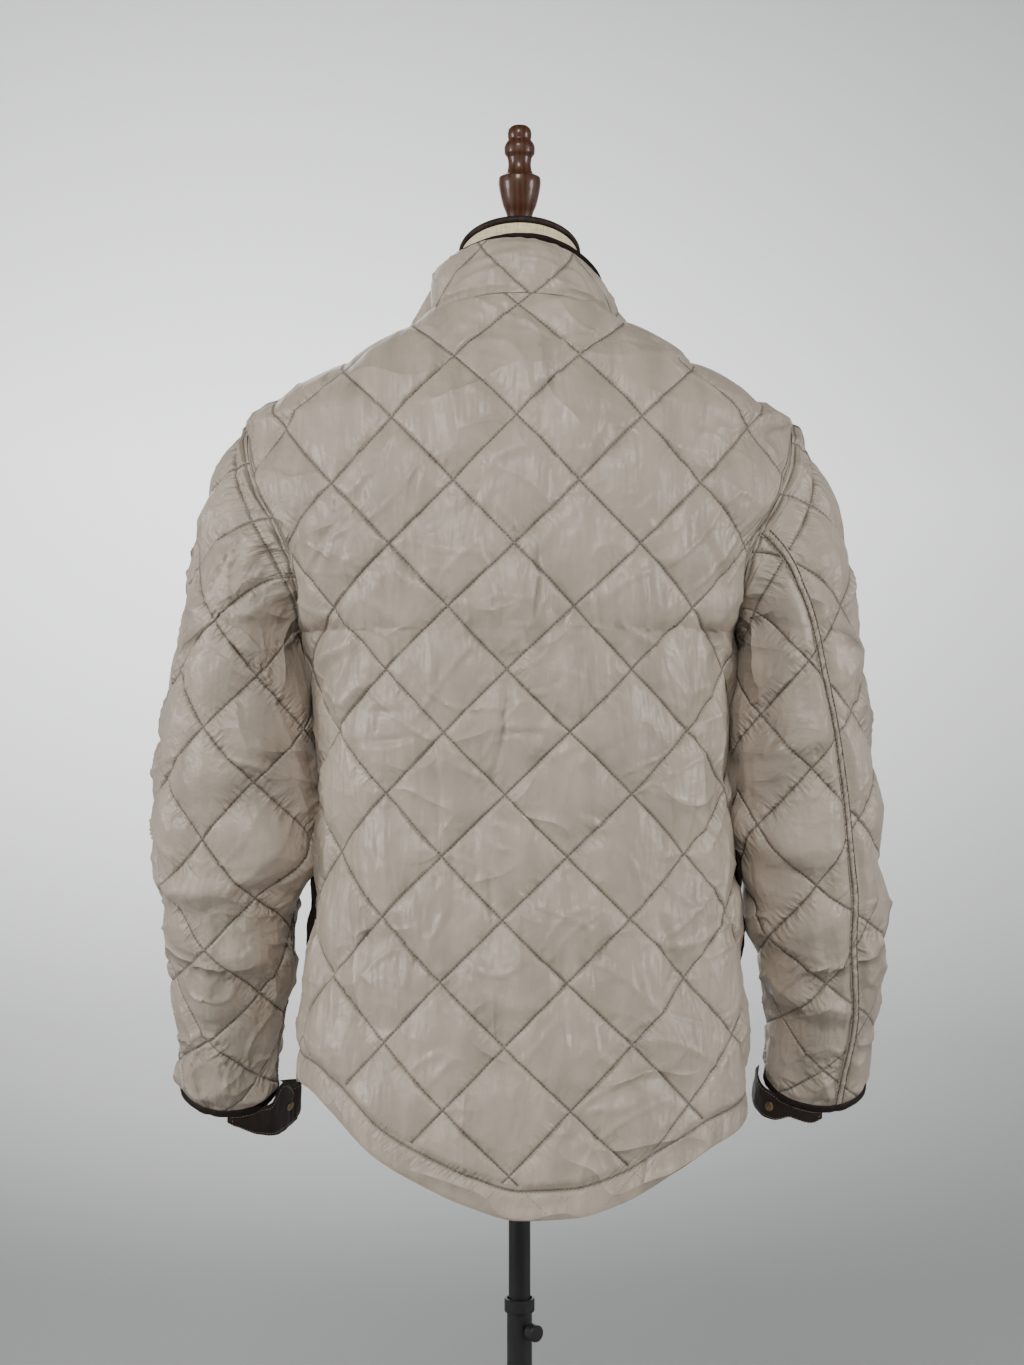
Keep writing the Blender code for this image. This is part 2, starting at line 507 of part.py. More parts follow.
# ---------------------------------------------------------------- sleeve surface
class Sleeve:
    """One sleeve as it hangs. It is worked out on the left and mirrored for the right."""

    def __init__(self, hand):
        self.hand = hand
        self.mirror = np.array([1.0 if hand == "left" else -1.0, 1.0, 1.0])
        rings = np.array(SLEEVE_RINGS[hand])
        middles = rings[:, [1, 2, 0]]
        steps = np.linalg.norm(np.diff(middles, axis=0), axis=1)
        self.knots = np.concatenate([[0], np.cumsum(steps)])
        self.length = self.knots[-1]
        self.columns = np.concatenate([middles, rings[:, 3:5]], axis=1)
        self.turns = np.radians(np.linspace(0, 360, 73))
        handles = self.cap_handles(self.turns)
        self.even, self.cap_length = even_steps(handles)
        along = np.linspace(0, self.length, 60)
        round_it = self.ring(self.turns[None, :], along[:, None])
        girths = np.linalg.norm(np.diff(round_it, axis=1), axis=2).sum(axis=1)
        self.girth_knots = along
        self.girths = girths

    def ring(self, turn, along):
        """Point of the sleeve below the armhole's foot, on the left."""
        turn, along = np.broadcast_arrays(turn, along)
        columns = spline(self.knots, self.columns, along)
        ahead = spline(self.knots, self.columns, along + 0.004)[..., :3]
        behind = spline(self.knots, self.columns, along - 0.004)[..., :3]
        axis = unit(ahead - behind)
        outward = np.zeros_like(axis)
        outward[..., 0] = 1
        outward = unit(outward - axis * axis[..., :1])
        forward = np.cross(axis, outward)
        across = (columns[..., 3] * np.cos(turn))[..., None]
        deep = (columns[..., 4] * np.sin(turn))[..., None]
        return columns[..., :3] + across * outward + deep * forward

    def cap_handles(self, turn):
        """Handles of the curve from the armhole down to the first ring, for each turn."""
        top = spline(ARMHOLE.turns, ARMHOLE.points, turn)
        foot = self.ring(turn, np.zeros_like(turn))
        below = self.ring(turn, np.full_like(turn, 0.02))
        reach = np.linalg.norm(foot - top, axis=-1, keepdims=True) * 0.38
        leave = top + reach * ARMHOLE.leave(turn)
        return np.stack([top, leave, foot - reach * unit(below - foot), foot], axis=-2)

    def cap_start(self, turn):
        """Distance along at which the sleeve starts; it is below 0 by the cap's height there."""
        turn = np.mod(turn, 2 * math.pi)
        return -np.interp(turn, self.turns, self.cap_length)

    def girth(self, along):
        return np.interp(along, self.girth_knots, self.girths)

    def seam_turn(self, along):
        seam = SLEEVE_SEAM[self.hand]
        return np.radians(spline([p.along for p in seam], [p.turn for p in seam], along))

    def place(self, turn, share):
        """Point at a turn; share runs -1..0 down the cap, then in metres along the sleeve."""
        turn, share = np.broadcast_arrays(np.asarray(turn, float), np.asarray(share, float))
        turn = np.mod(turn, 2 * math.pi)
        column = (np.clip(share, -1, 0) + 1) * (LINE_SAMPLES - 1)
        row = turn / (self.turns[1] - self.turns[0])
        cap = bezier(self.cap_handles(turn), read_grid(self.even, row, column))
        tube = self.ring(turn, np.clip(share, 0, self.length))
        return np.where((share < 0)[..., None], cap, tube) * self.mirror

    def share(self, turn, along):
        return np.where(along < 0, -along / self.cap_start(turn), along)

    def normal(self, turn, along):
        """Outward normal; at the armhole it is the one that the body's edge has."""
        share = np.clip(self.share(turn, along), -0.97, self.length - 0.003)
        normal = normals_of(self.place, turn, share, (0.01, 0.003))
        normal = normal * self.mirror[0]
        turn = np.mod(turn, 2 * math.pi)
        joined = spline(ARMHOLE.turns, ARMHOLE.joins, turn) * self.mirror
        near = 1 - smooth_step((along - self.cap_start(turn)) / SEAM_FLAT)
        return unit(normal + near[:, None] * (joined - normal))

    def lay_turned(self, turn, along):
        """Points and normals at turns and distances along."""
        return self.place(turn, self.share(turn, along)), self.normal(turn, along)

    def turn_at(self, flat):
        """Turn of flat points: s round from the seam, q the distance along."""
        along = flat[:, 1]
        return self.seam_turn(along) + 2 * math.pi * flat[:, 0] / self.girth(along)

    def flat_at(self, turn, along):
        """Flat point of a turn, counted from the seam round to the seam again."""
        past = np.mod(turn - self.seam_turn(along), 2 * math.pi)
        return np.stack([past / (2 * math.pi) * self.girth(along), along], axis=-1)


# ---------------------------------------------------------------- quilting and folds
def puffed(s, q, diagonal):
    """0 on the stitched lines s+q and s-q, 1 in the middle of a diamond."""
    rise = 1.0
    for line in ((s + q) / diagonal, (s - q) / diagonal):
        away = 2 * np.abs(line - np.round(line))
        rise = rise * (1 - (1 - away)**2)
    return rise**0.6


def fold_lift(folds, s, q):
    """Height of the large soft folds at (s, q)."""
    lift = np.zeros_like(s)
    for fold in folds:
        angle = math.radians(fold.angle)
        along = (s - fold.s) * math.cos(angle) + (q - fold.q) * math.sin(angle)
        across = (q - fold.q) * math.cos(angle) - (s - fold.s) * math.sin(angle)
        bend = across + 0.08 * along**2 / fold.length
        shape = np.exp(-(bend / fold.width)**2) - 0.35 * np.exp(-((bend / fold.width - 1.9) / 1.1)**2)
        lift += fold.height * shape * np.exp(-(2 * along / fold.length)**2)
    return lift


def distance_to_line(points, line):
    """Distance of each flat point from an open line of flat points."""
    nearest = np.full(len(points), np.inf)
    for a, b in zip(line[:-1], line[1:]):
        run = b - a
        t = np.clip(((points - a) @ run) / max(run @ run, 1e-12), 0, 1)
        nearest = np.minimum(nearest, np.linalg.norm(points - a - t[:, None] * run, axis=1))
    return nearest


def inside(points, outline):
    """Whether each flat point lies inside a closed outline."""
    odd = np.zeros(len(points), bool)
    for a, b in zip(outline, np.roll(outline, -1, axis=0)):
        crosses = (a[1] > points[:, 1]) != (b[1] > points[:, 1])
        height = b[1] - a[1] if abs(b[1] - a[1]) > 1e-12 else 1e-12
        at = a[0] + (points[:, 1] - a[1]) / height * (b[0] - a[0])
        odd ^= crosses & (points[:, 0] < at)
    return odd


def resample(line, step):
    """The same open line with points at most step apart; its ends stay."""
    line = np.asarray(line, float)
    way = np.concatenate([[0], np.cumsum(np.linalg.norm(np.diff(line, axis=0), axis=1))])
    count = max(1, math.ceil(way[-1] / step)) + 1
    even = np.linspace(0, way[-1], count)
    return np.stack([np.interp(even, way, line[:, 0]), np.interp(even, way, line[:, 1])], axis=1)


def joined(*lines):
    """One closed outline of open lines that follow each other, without their shared ends."""
    return np.concatenate([line[:-1] for line in lines])


def mesh_flat(outline, cell, origin, extra=(), place_in=lambda points: points):
    """Triangulate a flat piece so that its edges run along the quilting's lines.

    The grid's points are counted from origin, a crossing of two stitched lines, and place_in turns
    them from quilting distances into the outline's. extra holds open lines kept as edges.
    """
    reach = 40
    numbers = [(i, j) for i in range(-reach, reach + 1) for j in range(-reach, reach + 1)]
    grid = np.array(numbers, float) * cell + np.asarray(origin)
    flat = place_in(grid)
    closed = np.concatenate([outline, outline[:1]])
    keep = inside(flat, outline)
    keep &= distance_to_line(flat, closed) > 0.40 * cell
    for line in extra:
        keep &= distance_to_line(flat, line) > 0.36 * cell
    points = [Vector(p) for p in outline]
    edges = [(k, (k + 1) % len(outline)) for k in range(len(outline))]
    for line in extra:
        start = len(points)
        points += [Vector(p) for p in line]
        edges += [(start + k, start + k + 1) for k in range(len(line) - 1)]
    index = {}
    for number, stays, point in zip(numbers, keep, flat):
        if stays:
            index[number] = len(points)
            points.append(Vector(point))
    for i, j in index:
        slash = (i - j) % CELLS == 0 or (i + j + 1) % CELLS == CELLS // 2
        ends = ((i, j), (i + 1, j + 1)) if slash else ((i + 1, j), (i, j + 1))
        if ends[0] in index and ends[1] in index:
            a, b = index[ends[0]], index[ends[1]]
            if (points[a] - points[b]).length < 2 * cell:
                edges.append((a, b))
    found, _, faces, _, _, _ = geometry.delaunay_2d_cdt(points, edges, [], 1, 1e-7)
    return np.array([tuple(p) for p in found]), [tuple(face) for face in faces]


# ---------------------------------------------------------------- Blender objects
def clear_scene():
    for thing in list(bpy.data.objects):
        bpy.data.objects.remove(thing, do_unlink=True)
    for group in list(bpy.data.collections):
        bpy.data.collections.remove(group)


def make_material(name, colour, roughness, metallic=0.0):
    material = bpy.data.materials.new(name)
    material.use_nodes = True
    shader = material.node_tree.nodes["Principled BSDF"]
    shader.inputs["Base Color"].default_value = (*colour, 1.0)
    shader.inputs["Roughness"].default_value = roughness
    shader.inputs["Metallic"].default_value = metallic
    return material


def add_object(name, mesh, material, collection, parent=None, smooth_angle=40):
    """Put a mesh in the part's collection as a named object."""
    mesh.name = name
    mesh.materials.clear()
    mesh.materials.append(material)
    mesh.shade_smooth()
    mesh.set_sharp_from_angle(angle=math.radians(smooth_angle))
    thing = bpy.data.objects.new(name, mesh)
    collection.objects.link(thing)
    thing.parent = parent
    return thing


def mesh_from(points, faces):
    """A mesh of points and faces, whose faces are turned outwards."""
    mesh = bpy.data.meshes.new("piece")
    mesh.from_pydata([tuple(p) for p in points], [], faces)
    form = bmesh.new()
    form.from_mesh(mesh)
    bmesh.ops.recalc_face_normals(form, faces=form.faces)
    if form.calc_volume(signed=True) < 0:
        bmesh.ops.reverse_faces(form, faces=form.faces)
    form.to_mesh(mesh)
    form.free()
    return mesh


def wall_mesh(inner, outer, faces, same=None):
    """A closed wall between an inner and an outer sheet that share their faces.

    same maps the number of a point to the number of the point that it is sewn to.
    """
    same = same or {}
    faces = [tuple(same.get(k, k) for k in face) for face in faces]
    used = sorted({k for face in faces for k in face})
    place = {k: n for n, k in enumerate(used)}
    faces = [tuple(place[k] for k in face) for face in faces]
    count = len(used)
    points = np.concatenate([inner[used], outer[used]])
    walls = [tuple(k + count for k in face) for face in faces]
    walls += [tuple(reversed(face)) for face in faces]
    ways = {}
    for face in faces:
        for a, b in zip(face, face[1:] + face[:1]):
            ways[(a, b)] = ways.get((a, b), 0) + 1
    for a, b in ways:
        if (b, a) not in ways:
            walls.append((b, a, a + count))
            walls.append((b, a + count, b + count))
    return mesh_from(points, walls)


def strip_mesh(inner_rows, outer_rows):
    """A closed wall over a grid of rows, each row a line of points."""
    rows, columns = inner_rows.shape[:2]
    faces = []
    for i in range(rows - 1):
        for j in range(columns - 1):
            a = i * columns + j
            faces.append((a, a + 1, a + columns + 1))
            faces.append((a, a + columns + 1, a + columns))
    return wall_mesh(inner_rows.reshape(-1, 3), outer_rows.reshape(-1, 3), faces)


def loft_mesh(rings):
    """A closed body through rings of equally many points, with flat ends."""
    count = len(rings[0])
    points = np.concatenate(rings)
    faces = [tuple(range(count))]
    for k in range(len(rings) - 1):
        for j in range(count):
            a = k * count + j
            b = k * count + (j + 1) % count
            faces.append((a, b, b + count))
            faces.append((a, b + count, a + count))
    last = (len(rings) - 1) * count
    faces.append(tuple(last + j for j in range(count)))
    return mesh_from(points, faces)


def triangulated(mesh):
    form = bmesh.new()
    form.from_mesh(mesh)
    bmesh.ops.triangulate(form, faces=[f for f in form.faces if len(f.verts) > 4])
    form.to_mesh(mesh)
    form.free()
    return mesh


# ---------------------------------------------------------------- cloth pieces
def body_thickness(side, flat, hem_line, quilt_at, centre_flat=0.0):
    """Outer height of a body piece's wall over its plain inside."""
    rise = puffed(flat[:, 0] - quilt_at[0], flat[:, 1] - quilt_at[1], BODY_DIAGONAL)
    edge = side.half_width(flat[:, 1]) - np.abs(flat[:, 0])
    top = NECK_LEVEL - flat[:, 1]
    hem = distance_to_line(flat, hem_line)
    calm = smooth_step(np.minimum(edge, top) / SEAM_FLAT)
    if centre_flat:
        calm = calm * smooth_step((np.abs(flat[:, 0]) - centre_flat) / SEAM_FLAT)
    high = smooth_step((flat[:, 1] - ARM_PRESS_LEVEL) / ARM_PRESS_RISE)
    beside = smooth_step((np.abs(flat[:, 0]) - ARM_PRESS_FROM) / ARM_PRESS_OVER)
    above_hem = smooth_step((hem - HEM_BAND) / SEAM_FLAT)
    band = np.clip(1 - np.abs(hem - HEM_BAND / 2) / (HEM_BAND / 2), 0, 1)
    if centre_flat:
        band = band * (np.abs(flat[:, 0]) > centre_flat + 0.001)
    raised = PUFF * rise * calm * (1 - ARM_PRESS * high * beside) * above_hem
    return WALL + raised + (HEM_ROLL - WALL) * band


def calm_folds(side, flat, folds):
    """Folds that die out at the seams."""
    edge = side.half_width(flat[:, 1]) - np.abs(flat[:, 0])
    top = NECK_LEVEL - flat[:, 1]
    calm = smooth_step(np.minimum(edge, top) / FOLD_FLAT)
    return fold_lift(folds, flat[:, 0], flat[:, 1]) * calm


def body_piece(name, side, outline, hem_line, quilt_at, centre_flat, finish, home):
    """One quilted body piece from its flat outline."""
    cell = BODY_DIAGONAL / CELLS
    band = resample(hem_line + np.array([0, HEM_BAND]), cell)
    band = band[inside(band, outline)]
    band = band[distance_to_line(band, np.concatenate([outline, outline[:1]])) > 0.35 * cell]
    flat, faces = mesh_flat(outline, cell, quilt_at, extra=[band])
    points, normals = side.lay(flat)
    inner = points + normals * calm_folds(side, flat, BODY_FOLDS[name])[:, None]
    outer = inner + normals * body_thickness(side, flat, hem_line, quilt_at, centre_flat)[:, None]
    add_object(name, wall_mesh(inner, outer, faces), finish, home["group"], home["form"])


def hem_level(table, s):
    return spline([p.s for p in table], [p.q for p in table], s)


def hem_points(table, low, high):
    s = np.linspace(low, high, 60)
    return np.stack([s, hem_level(table, s)], axis=1)


def make_back(finish, home):
    cell = BODY_DIAGONAL / CELLS
    wide = BACK.half_width(0.80) - SEAM_GAP / 2
    left_foot = float(hem_level(BACK_HEM, wide))
    right_foot = float(hem_level(BACK_HEM, -wide))
    hem = hem_points(BACK_HEM, -BACK.half_width(right_foot), BACK.half_width(left_foot))
    left = [
        resample(side_line(BACK, left_foot, UNDERARM, 40), cell), armhole_line(BACK),
        resample(side_line(BACK, SHOULDER_TIP, NECK_LEVEL, 20), cell),
    ]
    right = [
        resample(side_line(BACK, right_foot, UNDERARM, 40), cell), armhole_line(BACK),
        resample(side_line(BACK, SHOULDER_TIP, NECK_LEVEL, 20), cell),
    ]
    right = [line[::-1] * np.array([-1, 1]) for line in reversed(right)]
    edge = np.concatenate([right[-1][-1:], hem[3:-3], left[0][:1]])
    outline = joined(*left, back_neckline(), *right, resample(edge, cell))
    body_piece("back", BACK, outline, hem, BODY_QUILT_AT, 0.0, finish, home)


def make_front(name, sign, finish, home):
    """A front from its side seam to the centre; sign is 1 for the left and -1 for the right."""
    cell = BODY_DIAGONAL / CELLS
    wide = FRONT.half_width(0.78)
    foot = float(hem_level(FRONT_HEM, sign * wide))
    middle = float(hem_level(FRONT_HEM, 0.0))
    s = np.linspace(0, wide, 40)
    hem = np.stack([s, hem_level(FRONT_HEM, sign * s)], axis=1)
    neck = front_neckline()
    neck[-1, 0] = SEAM_GAP / 2
    levels = centre_levels(middle)
    centre = np.stack([np.full_like(levels, SEAM_GAP / 2), levels], axis=1)
    low_end = centre[-1:]
    side = side_line(FRONT, foot, UNDERARM, 40)
    edge = np.concatenate([low_end, hem[2:-2], side[:1]])
    outline = joined(
        resample(side, cell), armhole_line(FRONT),
        resample(side_line(FRONT, SHOULDER_TIP, NECK_LEVEL, 20), cell), neck,
        centre, resample(edge, cell),
    )
    outline = outline * np.array([sign, 1])
    if sign < 0:
        outline = outline[::-1]
    body_piece(name, FRONT, outline, hem * np.array([sign, 1]), FRONT_QUILT_AT,
               PLACKET_WIDTH / 2 + PLACKET_FLAT, finish, home)


def facing_body(turn, along):
    """1 where the upper sleeve faces the body, 0 where it is free."""
    near = smooth_step((SLEEVE_PRESS_TO - along) / SLEEVE_PRESS_OVER)
    return np.maximum(0, -np.cos(turn)) * near


def sleeve_rise(sleeve, turn, along, edge_gap):
    """Outer height of the sleeve's wall."""
    at = SLEEVE_QUILT_AT[sleeve.hand]
    turned = np.mod(turn - math.radians(at.turn) + math.pi, 2 * math.pi) - math.pi
    s = turned * sleeve.girth(along) / (2 * math.pi)
    rise = puffed(s, along - at.along, SLEEVE_DIAGONAL)
    calm = smooth_step((along - sleeve.cap_start(turn)) / SEAM_FLAT)
    calm = calm * smooth_step((sleeve.length - CUFF_BINDING - 0.001 - along) / SEAM_FLAT)
    calm = calm * smooth_step((edge_gap - SEAM_STRIP_WIDTH / 2 - 0.001) / SEAM_FLAT)
    pressed = 1 - SLEEVE_PRESS * facing_body(turn, along)
    return WALL + SLEEVE_PUFF * rise * calm * pressed


def sleeve_lift(sleeve, turn, along, edge_gap):
    """Large folds of the sleeve, calm at its seams and its ends."""
    degrees = np.degrees(np.mod(turn, 2 * math.pi))
    around = degrees / 360 * sleeve.girth(along)
    lift = np.zeros_like(along)
    for fold in SLEEVE_FOLDS[sleeve.hand]:
        placed = fold._replace(s=fold.s / 360 * float(sleeve.girth(fold.q)))
        lift += fold_lift([placed], around, along)
    calm = smooth_step((along - sleeve.cap_start(turn)) / FOLD_FLAT)
    calm = calm * smooth_step((sleeve.length - along) / FOLD_FLAT)
    calm = calm * smooth_step(edge_gap / SEAM_FOLD_FLAT)
    return lift * calm * (1 - facing_body(turn, along))


def make_sleeve(hand, finish, home):
    """The whole sleeve as one tube, cut open along its seam and sewn up again."""
    sleeve = Sleeve(hand)
    cell = SLEEVE_DIAGONAL / CELLS
    start_turn = math.radians(SLEEVE_SEAM[hand][0].turn)
    start = float(sleeve.cap_start(start_turn)) + SEAM_GAP
    along = resample(np.array([[0, start], [0, sleeve.length]]), cell)[:, 1]
    left = np.stack([np.zeros_like(along), along], axis=1)
    right = np.stack([sleeve.girth(along), along], axis=1)
    rim = np.linspace(0, float(sleeve.girth(sleeve.length)), CUFF_STEPS + 1)
    rim = np.stack([rim, np.full_like(rim, sleeve.length)], axis=1)
    turns = start_turn + np.linspace(0, 2 * math.pi, 2 * ARMHOLE_STEPS + 1)
    top = sleeve.cap_start(turns) + SEAM_GAP
    shares = (turns - sleeve.seam_turn(top)) / (2 * math.pi)
    top_line = np.stack([shares * sleeve.girth(top), top], axis=1)
    outline = joined(left, rim, right[::-1], top_line[::-1])
    calm_cuff = sleeve.length - CUFF_BINDING - 0.001
    calm_seam = SEAM_STRIP_WIDTH / 2 + 0.0008
    beside = along[(along > start + 0.012) & (along < calm_cuff - 0.005)]
    beside = np.append(beside, calm_cuff)
    girth = float(sleeve.girth(calm_cuff))
    cuff_line = np.linspace(0, girth, CUFF_STEPS + 1)
    cuff_line = np.stack([cuff_line, np.full_like(cuff_line, calm_cuff)], axis=1)
    near = np.stack([np.full_like(beside, calm_seam), beside], axis=1)
    far = np.stack([sleeve.girth(beside) - calm_seam, beside], axis=1)
    kept = np.concatenate([near, cuff_line[1:-1], far[::-1]])
    at = SLEEVE_QUILT_AT[hand]

    def place_in(points):
        turn = math.radians(at.turn) + 2 * math.pi * points[:, 0] / sleeve.girth(points[:, 1])
        whole = np.abs(points[:, 0]) <= sleeve.girth(points[:, 1]) / 2
        flat = sleeve.flat_at(turn, points[:, 1])
        return np.where(whole[:, None], flat, np.array([-1.0, -1.0]))

    flat, faces = mesh_flat(outline, cell, (0.0, at.along), [kept], place_in)
    count = len(along)
    first_right = count - 1 + len(rim) - 1
    same = {first_right + k: count - 1 - k for k in range(count)}
    same = {a: b for a, b in same.items() if a != b}
    turn = sleeve.turn_at(flat)
    edge_gap = np.minimum(flat[:, 0], sleeve.girth(flat[:, 1]) - flat[:, 0])
    points, normals = sleeve.lay_turned(turn, flat[:, 1])
    inner = points + normals * sleeve_lift(sleeve, turn, flat[:, 1], edge_gap)[:, None]
    outer = inner + normals * sleeve_rise(sleeve, turn, flat[:, 1], edge_gap)[:, None]
    mesh = wall_mesh(inner, outer, faces, same)
    add_object(f"sleeve_{hand}", mesh, finish, home["group"], home["form"])


def make_seam_strip(hand, finish, home):
    """The narrow felled strip that lies on the sleeve's seam."""
    sleeve = Sleeve(hand)
    cell = SLEEVE_DIAGONAL / CELLS
    start = float(sleeve.cap_start(math.radians(SLEEVE_SEAM[hand][0].turn))) + SEAM_GAP
    along = resample(np.array([[0, start], [0, sleeve.length]]), cell)[:, 1]
    along[0] += SEAM_STRIP_FROM
    along = np.append(along[along < sleeve.length - CUFF_BINDING - 0.006],
                      sleeve.length - CUFF_BINDING - 0.002)
    across = np.array([-0.5, 0.0, 0.5]) * SEAM_STRIP_WIDTH
    inner = []
    outer = []
    for offset in across:
        turn = sleeve.seam_turn(along) + 2 * math.pi * offset / sleeve.girth(along)
        points, normals = sleeve.lay_turned(turn, along)
        low = np.full((len(along), 1), WALL + SEAM_GAP + (0.0006 if offset else 0.0002))
        low[:2] += SEAM_STRIP_START_LIFT
        inner.append(points + normals * low)
        outer.append(points + normals * (low + SEAM_STRIP_THICK * (1.0 if offset else 1.5)))
    mesh = strip_mesh(np.array(inner), np.array(outer))
    add_object(f"sleeve_seam_{hand}", mesh, finish, home["group"], home["form"])


class Collar:
    """The standing collar, from its seam on the neckline to its tilted top edge."""

    def __init__(self):
        back = back_neckline()[:NECK_STEPS + 1][::-1]
        front = front_neckline()
        half = np.concatenate([BACK.lay(back)[0][:-1], FRONT.lay(front)[0]])
        normals = np.concatenate([BACK.lay(back)[1][:-1], FRONT.lay(front)[1]])
        way = np.concatenate([[0], np.cumsum(np.linalg.norm(np.diff(half, axis=0), axis=1))])
        self.knots = way / way[-1]
        self.foot = half
        self.foot_normals = normals
        self.half_length = way[-1]

    def place(self, part, up):
        """Point at part of the half length, -1..1 round from the centre back, up 0..1."""
        part, up = np.broadcast_arrays(np.asarray(part, float), np.asarray(up, float))
        size = np.abs(part)
        foot = spline(self.knots, self.foot, size)
        angle = math.pi * size
        y = COLLAR_TOP_Y * np.cos(angle)
        x = COLLAR_TOP_X * np.sin(angle)
        rise = COLLAR_TOP_SLOPE * y + COLLAR_TOP_ROLL * x * np.sign(part)
        top = np.stack([x, COLLAR_TOP_MIDDLE[1] + y, COLLAR_TOP_MIDDLE[2] + rise], axis=-1)
        swell = np.stack([np.sin(angle), np.cos(angle), np.zeros_like(angle)], axis=-1)
        t = up[..., None]
        points = foot * (1 - t) + top * t + swell * COLLAR_BULGE * np.sin(math.pi * t)
        points[..., 0] *= np.where(part < 0, -1.0, 1.0)
        return points

    def normal(self, part, up):
        normal = -normals_of(self.place, np.clip(part, -0.99, 0.99), up, (0.008, 0.02))
        joined_to = spline(self.knots, self.foot_normals, np.abs(part))
        joined_to[:, 0] *= np.where(part < 0, -1.0, 1.0)
        near = 1 - smooth_step(up / 0.22)
        return unit(normal + near[:, None] * (joined_to - normal))

    def height(self, part):
        return np.linalg.norm(self.place(part, 1.0) - self.place(part, 0.0), axis=-1)


def make_collar(outside, inside_finish, home):
    """Quilted outer collar and the dark facing inside it, which shows above its edge."""
    collar = Collar()
    end = 1 - COLLAR_OPENING / 2 / collar.half_length
    half = np.append(collar.knots[:-1], end)
    parts = np.concatenate([-half[:0:-1], half])
    heights = np.linspace(0, 1, 4)
    rows_in = []
    rows_out = []
    facing_in = []
    facing_out = []
    for up in heights:
        level = np.full_like(parts, up)
        if up == 0:
            level = level + COLLAR_SEAM_GAP / collar.height(parts)
        points = collar.place(parts, level)
        normals = collar.normal(parts, level)
        height = collar.height(parts)
        s = parts * collar.half_length
        calm = smooth_step(np.minimum(up, 1 - up) * height / 0.010)
        rise = puffed(s - BODY_QUILT_AT[0], up * height + 0.02, COLLAR_DIAGONAL) * calm
        rows_in.append(points)
        rows_out.append(points + normals * (WALL + 0.6 * PUFF * rise)[:, None])
        proud = FACING_PROUD / 0.05 if up == 1 else 0.03 if up == 0 else 0
        level = level + proud
        base = collar.place(parts, level) - normals * (SEAM_GAP + 0.0006)
        facing_out.append(base)
        facing_in.append(base - normals * FACING_WALL)
    mesh = strip_mesh(np.array(rows_in), np.array(rows_out))
    add_object("collar", mesh, outside, home["group"], home["form"])
    mesh = strip_mesh(np.array(facing_in), np.array(facing_out))
    add_object("collar_facing", mesh, inside_finish, home["group"], home["form"])


def make_placket(finish, snap_finish, home):
    """The strip that covers the fronts' meeting edges, and its snap caps."""
    levels = centre_levels(float(hem_level(FRONT_HEM, 0.0)))
    levels[0] -= 0.004
    levels[-1] += 0.001
    base = WALL + SEAM_GAP + 0.0003
    inner = []
    outer = []
    for s in np.array([-0.5, 0.0, 0.5]) * PLACKET_WIDTH:
        points, normals = FRONT.lay(np.stack([np.full_like(levels, s), levels], axis=1))
        inner.append(points + normals * base)
        outer.append(points + normals * (base + PLACKET_WALL))
    mesh = strip_mesh(np.array(inner), np.array(outer))
    add_object("placket", mesh, finish, home["group"], home["form"])
    for number, level in enumerate(SNAP_LEVELS, 1):
        flat = np.array([[0.0, level]])
        points, normals = FRONT.lay(flat)
        low = base + PLACKET_WALL + SEAM_GAP
        stud = add_stud(f"snap_{number}", SNAP_RADIUS, SNAP_HEIGHT, snap_finish, home)
        seat_stud(stud, points[0] + normals[0] * low, normals[0])


def add_stud(name, radius, height, finish, home):
    """A domed round cap whose flat back lies at its origin."""
    form = bmesh.new()
    bmesh.ops.create_cone(form, cap_ends=True, segments=16, radius1=radius, radius2=radius * 0.8,
                          depth=height, matrix=Matrix.Translation((0, 0, height / 2)))
    mesh = bpy.data.meshes.new(name)
    form.to_mesh(mesh)
    form.free()
    return add_object(name, mesh, finish, home["group"], home["form"], smooth_angle=30)


def seat_stud(stud, point, normal):
    stud.location = Vector(point)
    stud.rotation_euler = Vector(normal).to_track_quat("Z", "Y").to_euler()


def beside_seam(ahead, level, sign):
    """Points and normals of the body beside a side seam; ahead is the distance in front of it."""
    found = []
    for side, inward in ((FRONT, ahead), (BACK, -ahead)):
        part = sign * (1 - np.maximum(inward, 0) / side.half_width(level))
        found.append((side.place(part, level), side.normal(part, level)))
    in_front = (ahead > 0)[:, None]
    return tuple(np.where(in_front, front, back) for front, back in zip(*found))


def make_pocket(name, sign, finish, home):
    """Two bound lips along a slit that slants across the side seam and gapes at the middle."""
    t = np.linspace(0, 1, 15)
    level = POCKET_TOP.level + t * (POCKET_LOW.level - POCKET_TOP.level)
    slit = POCKET_TOP.ahead + t * (POCKET_LOW.ahead - POCKET_TOP.ahead)
    slit = slit - POCKET_BOW * np.sin(math.pi * t)
    for lip, away in LIP_SIDE.items():
        apart = LIP_APART / 2 + POCKET_GAPE / 2 * np.sin(math.pi * t)
        inner = []
        outer = []
        for across, swell in LIP_SECTION:
            ahead = slit + away * (apart + across * LIP_WIDTH)
            points, normals = beside_seam(ahead, level, sign)
            low = WALL + PUFF * smooth_step(np.abs(ahead) / SEAM_FLAT) + LIP_FOOT[lip]
            high = low + LIP_HEIGHT * swell * (0.5 + 0.5 * np.sin(math.pi * t))
            inner.append(points + normals * low[:, None])
            outer.append(points + normals * (high + LIP_EDGE)[:, None])
        mesh = strip_mesh(np.array(inner), np.array(outer))
        add_object(f"{name}_{lip}", mesh, finish, home["group"], home["form"])


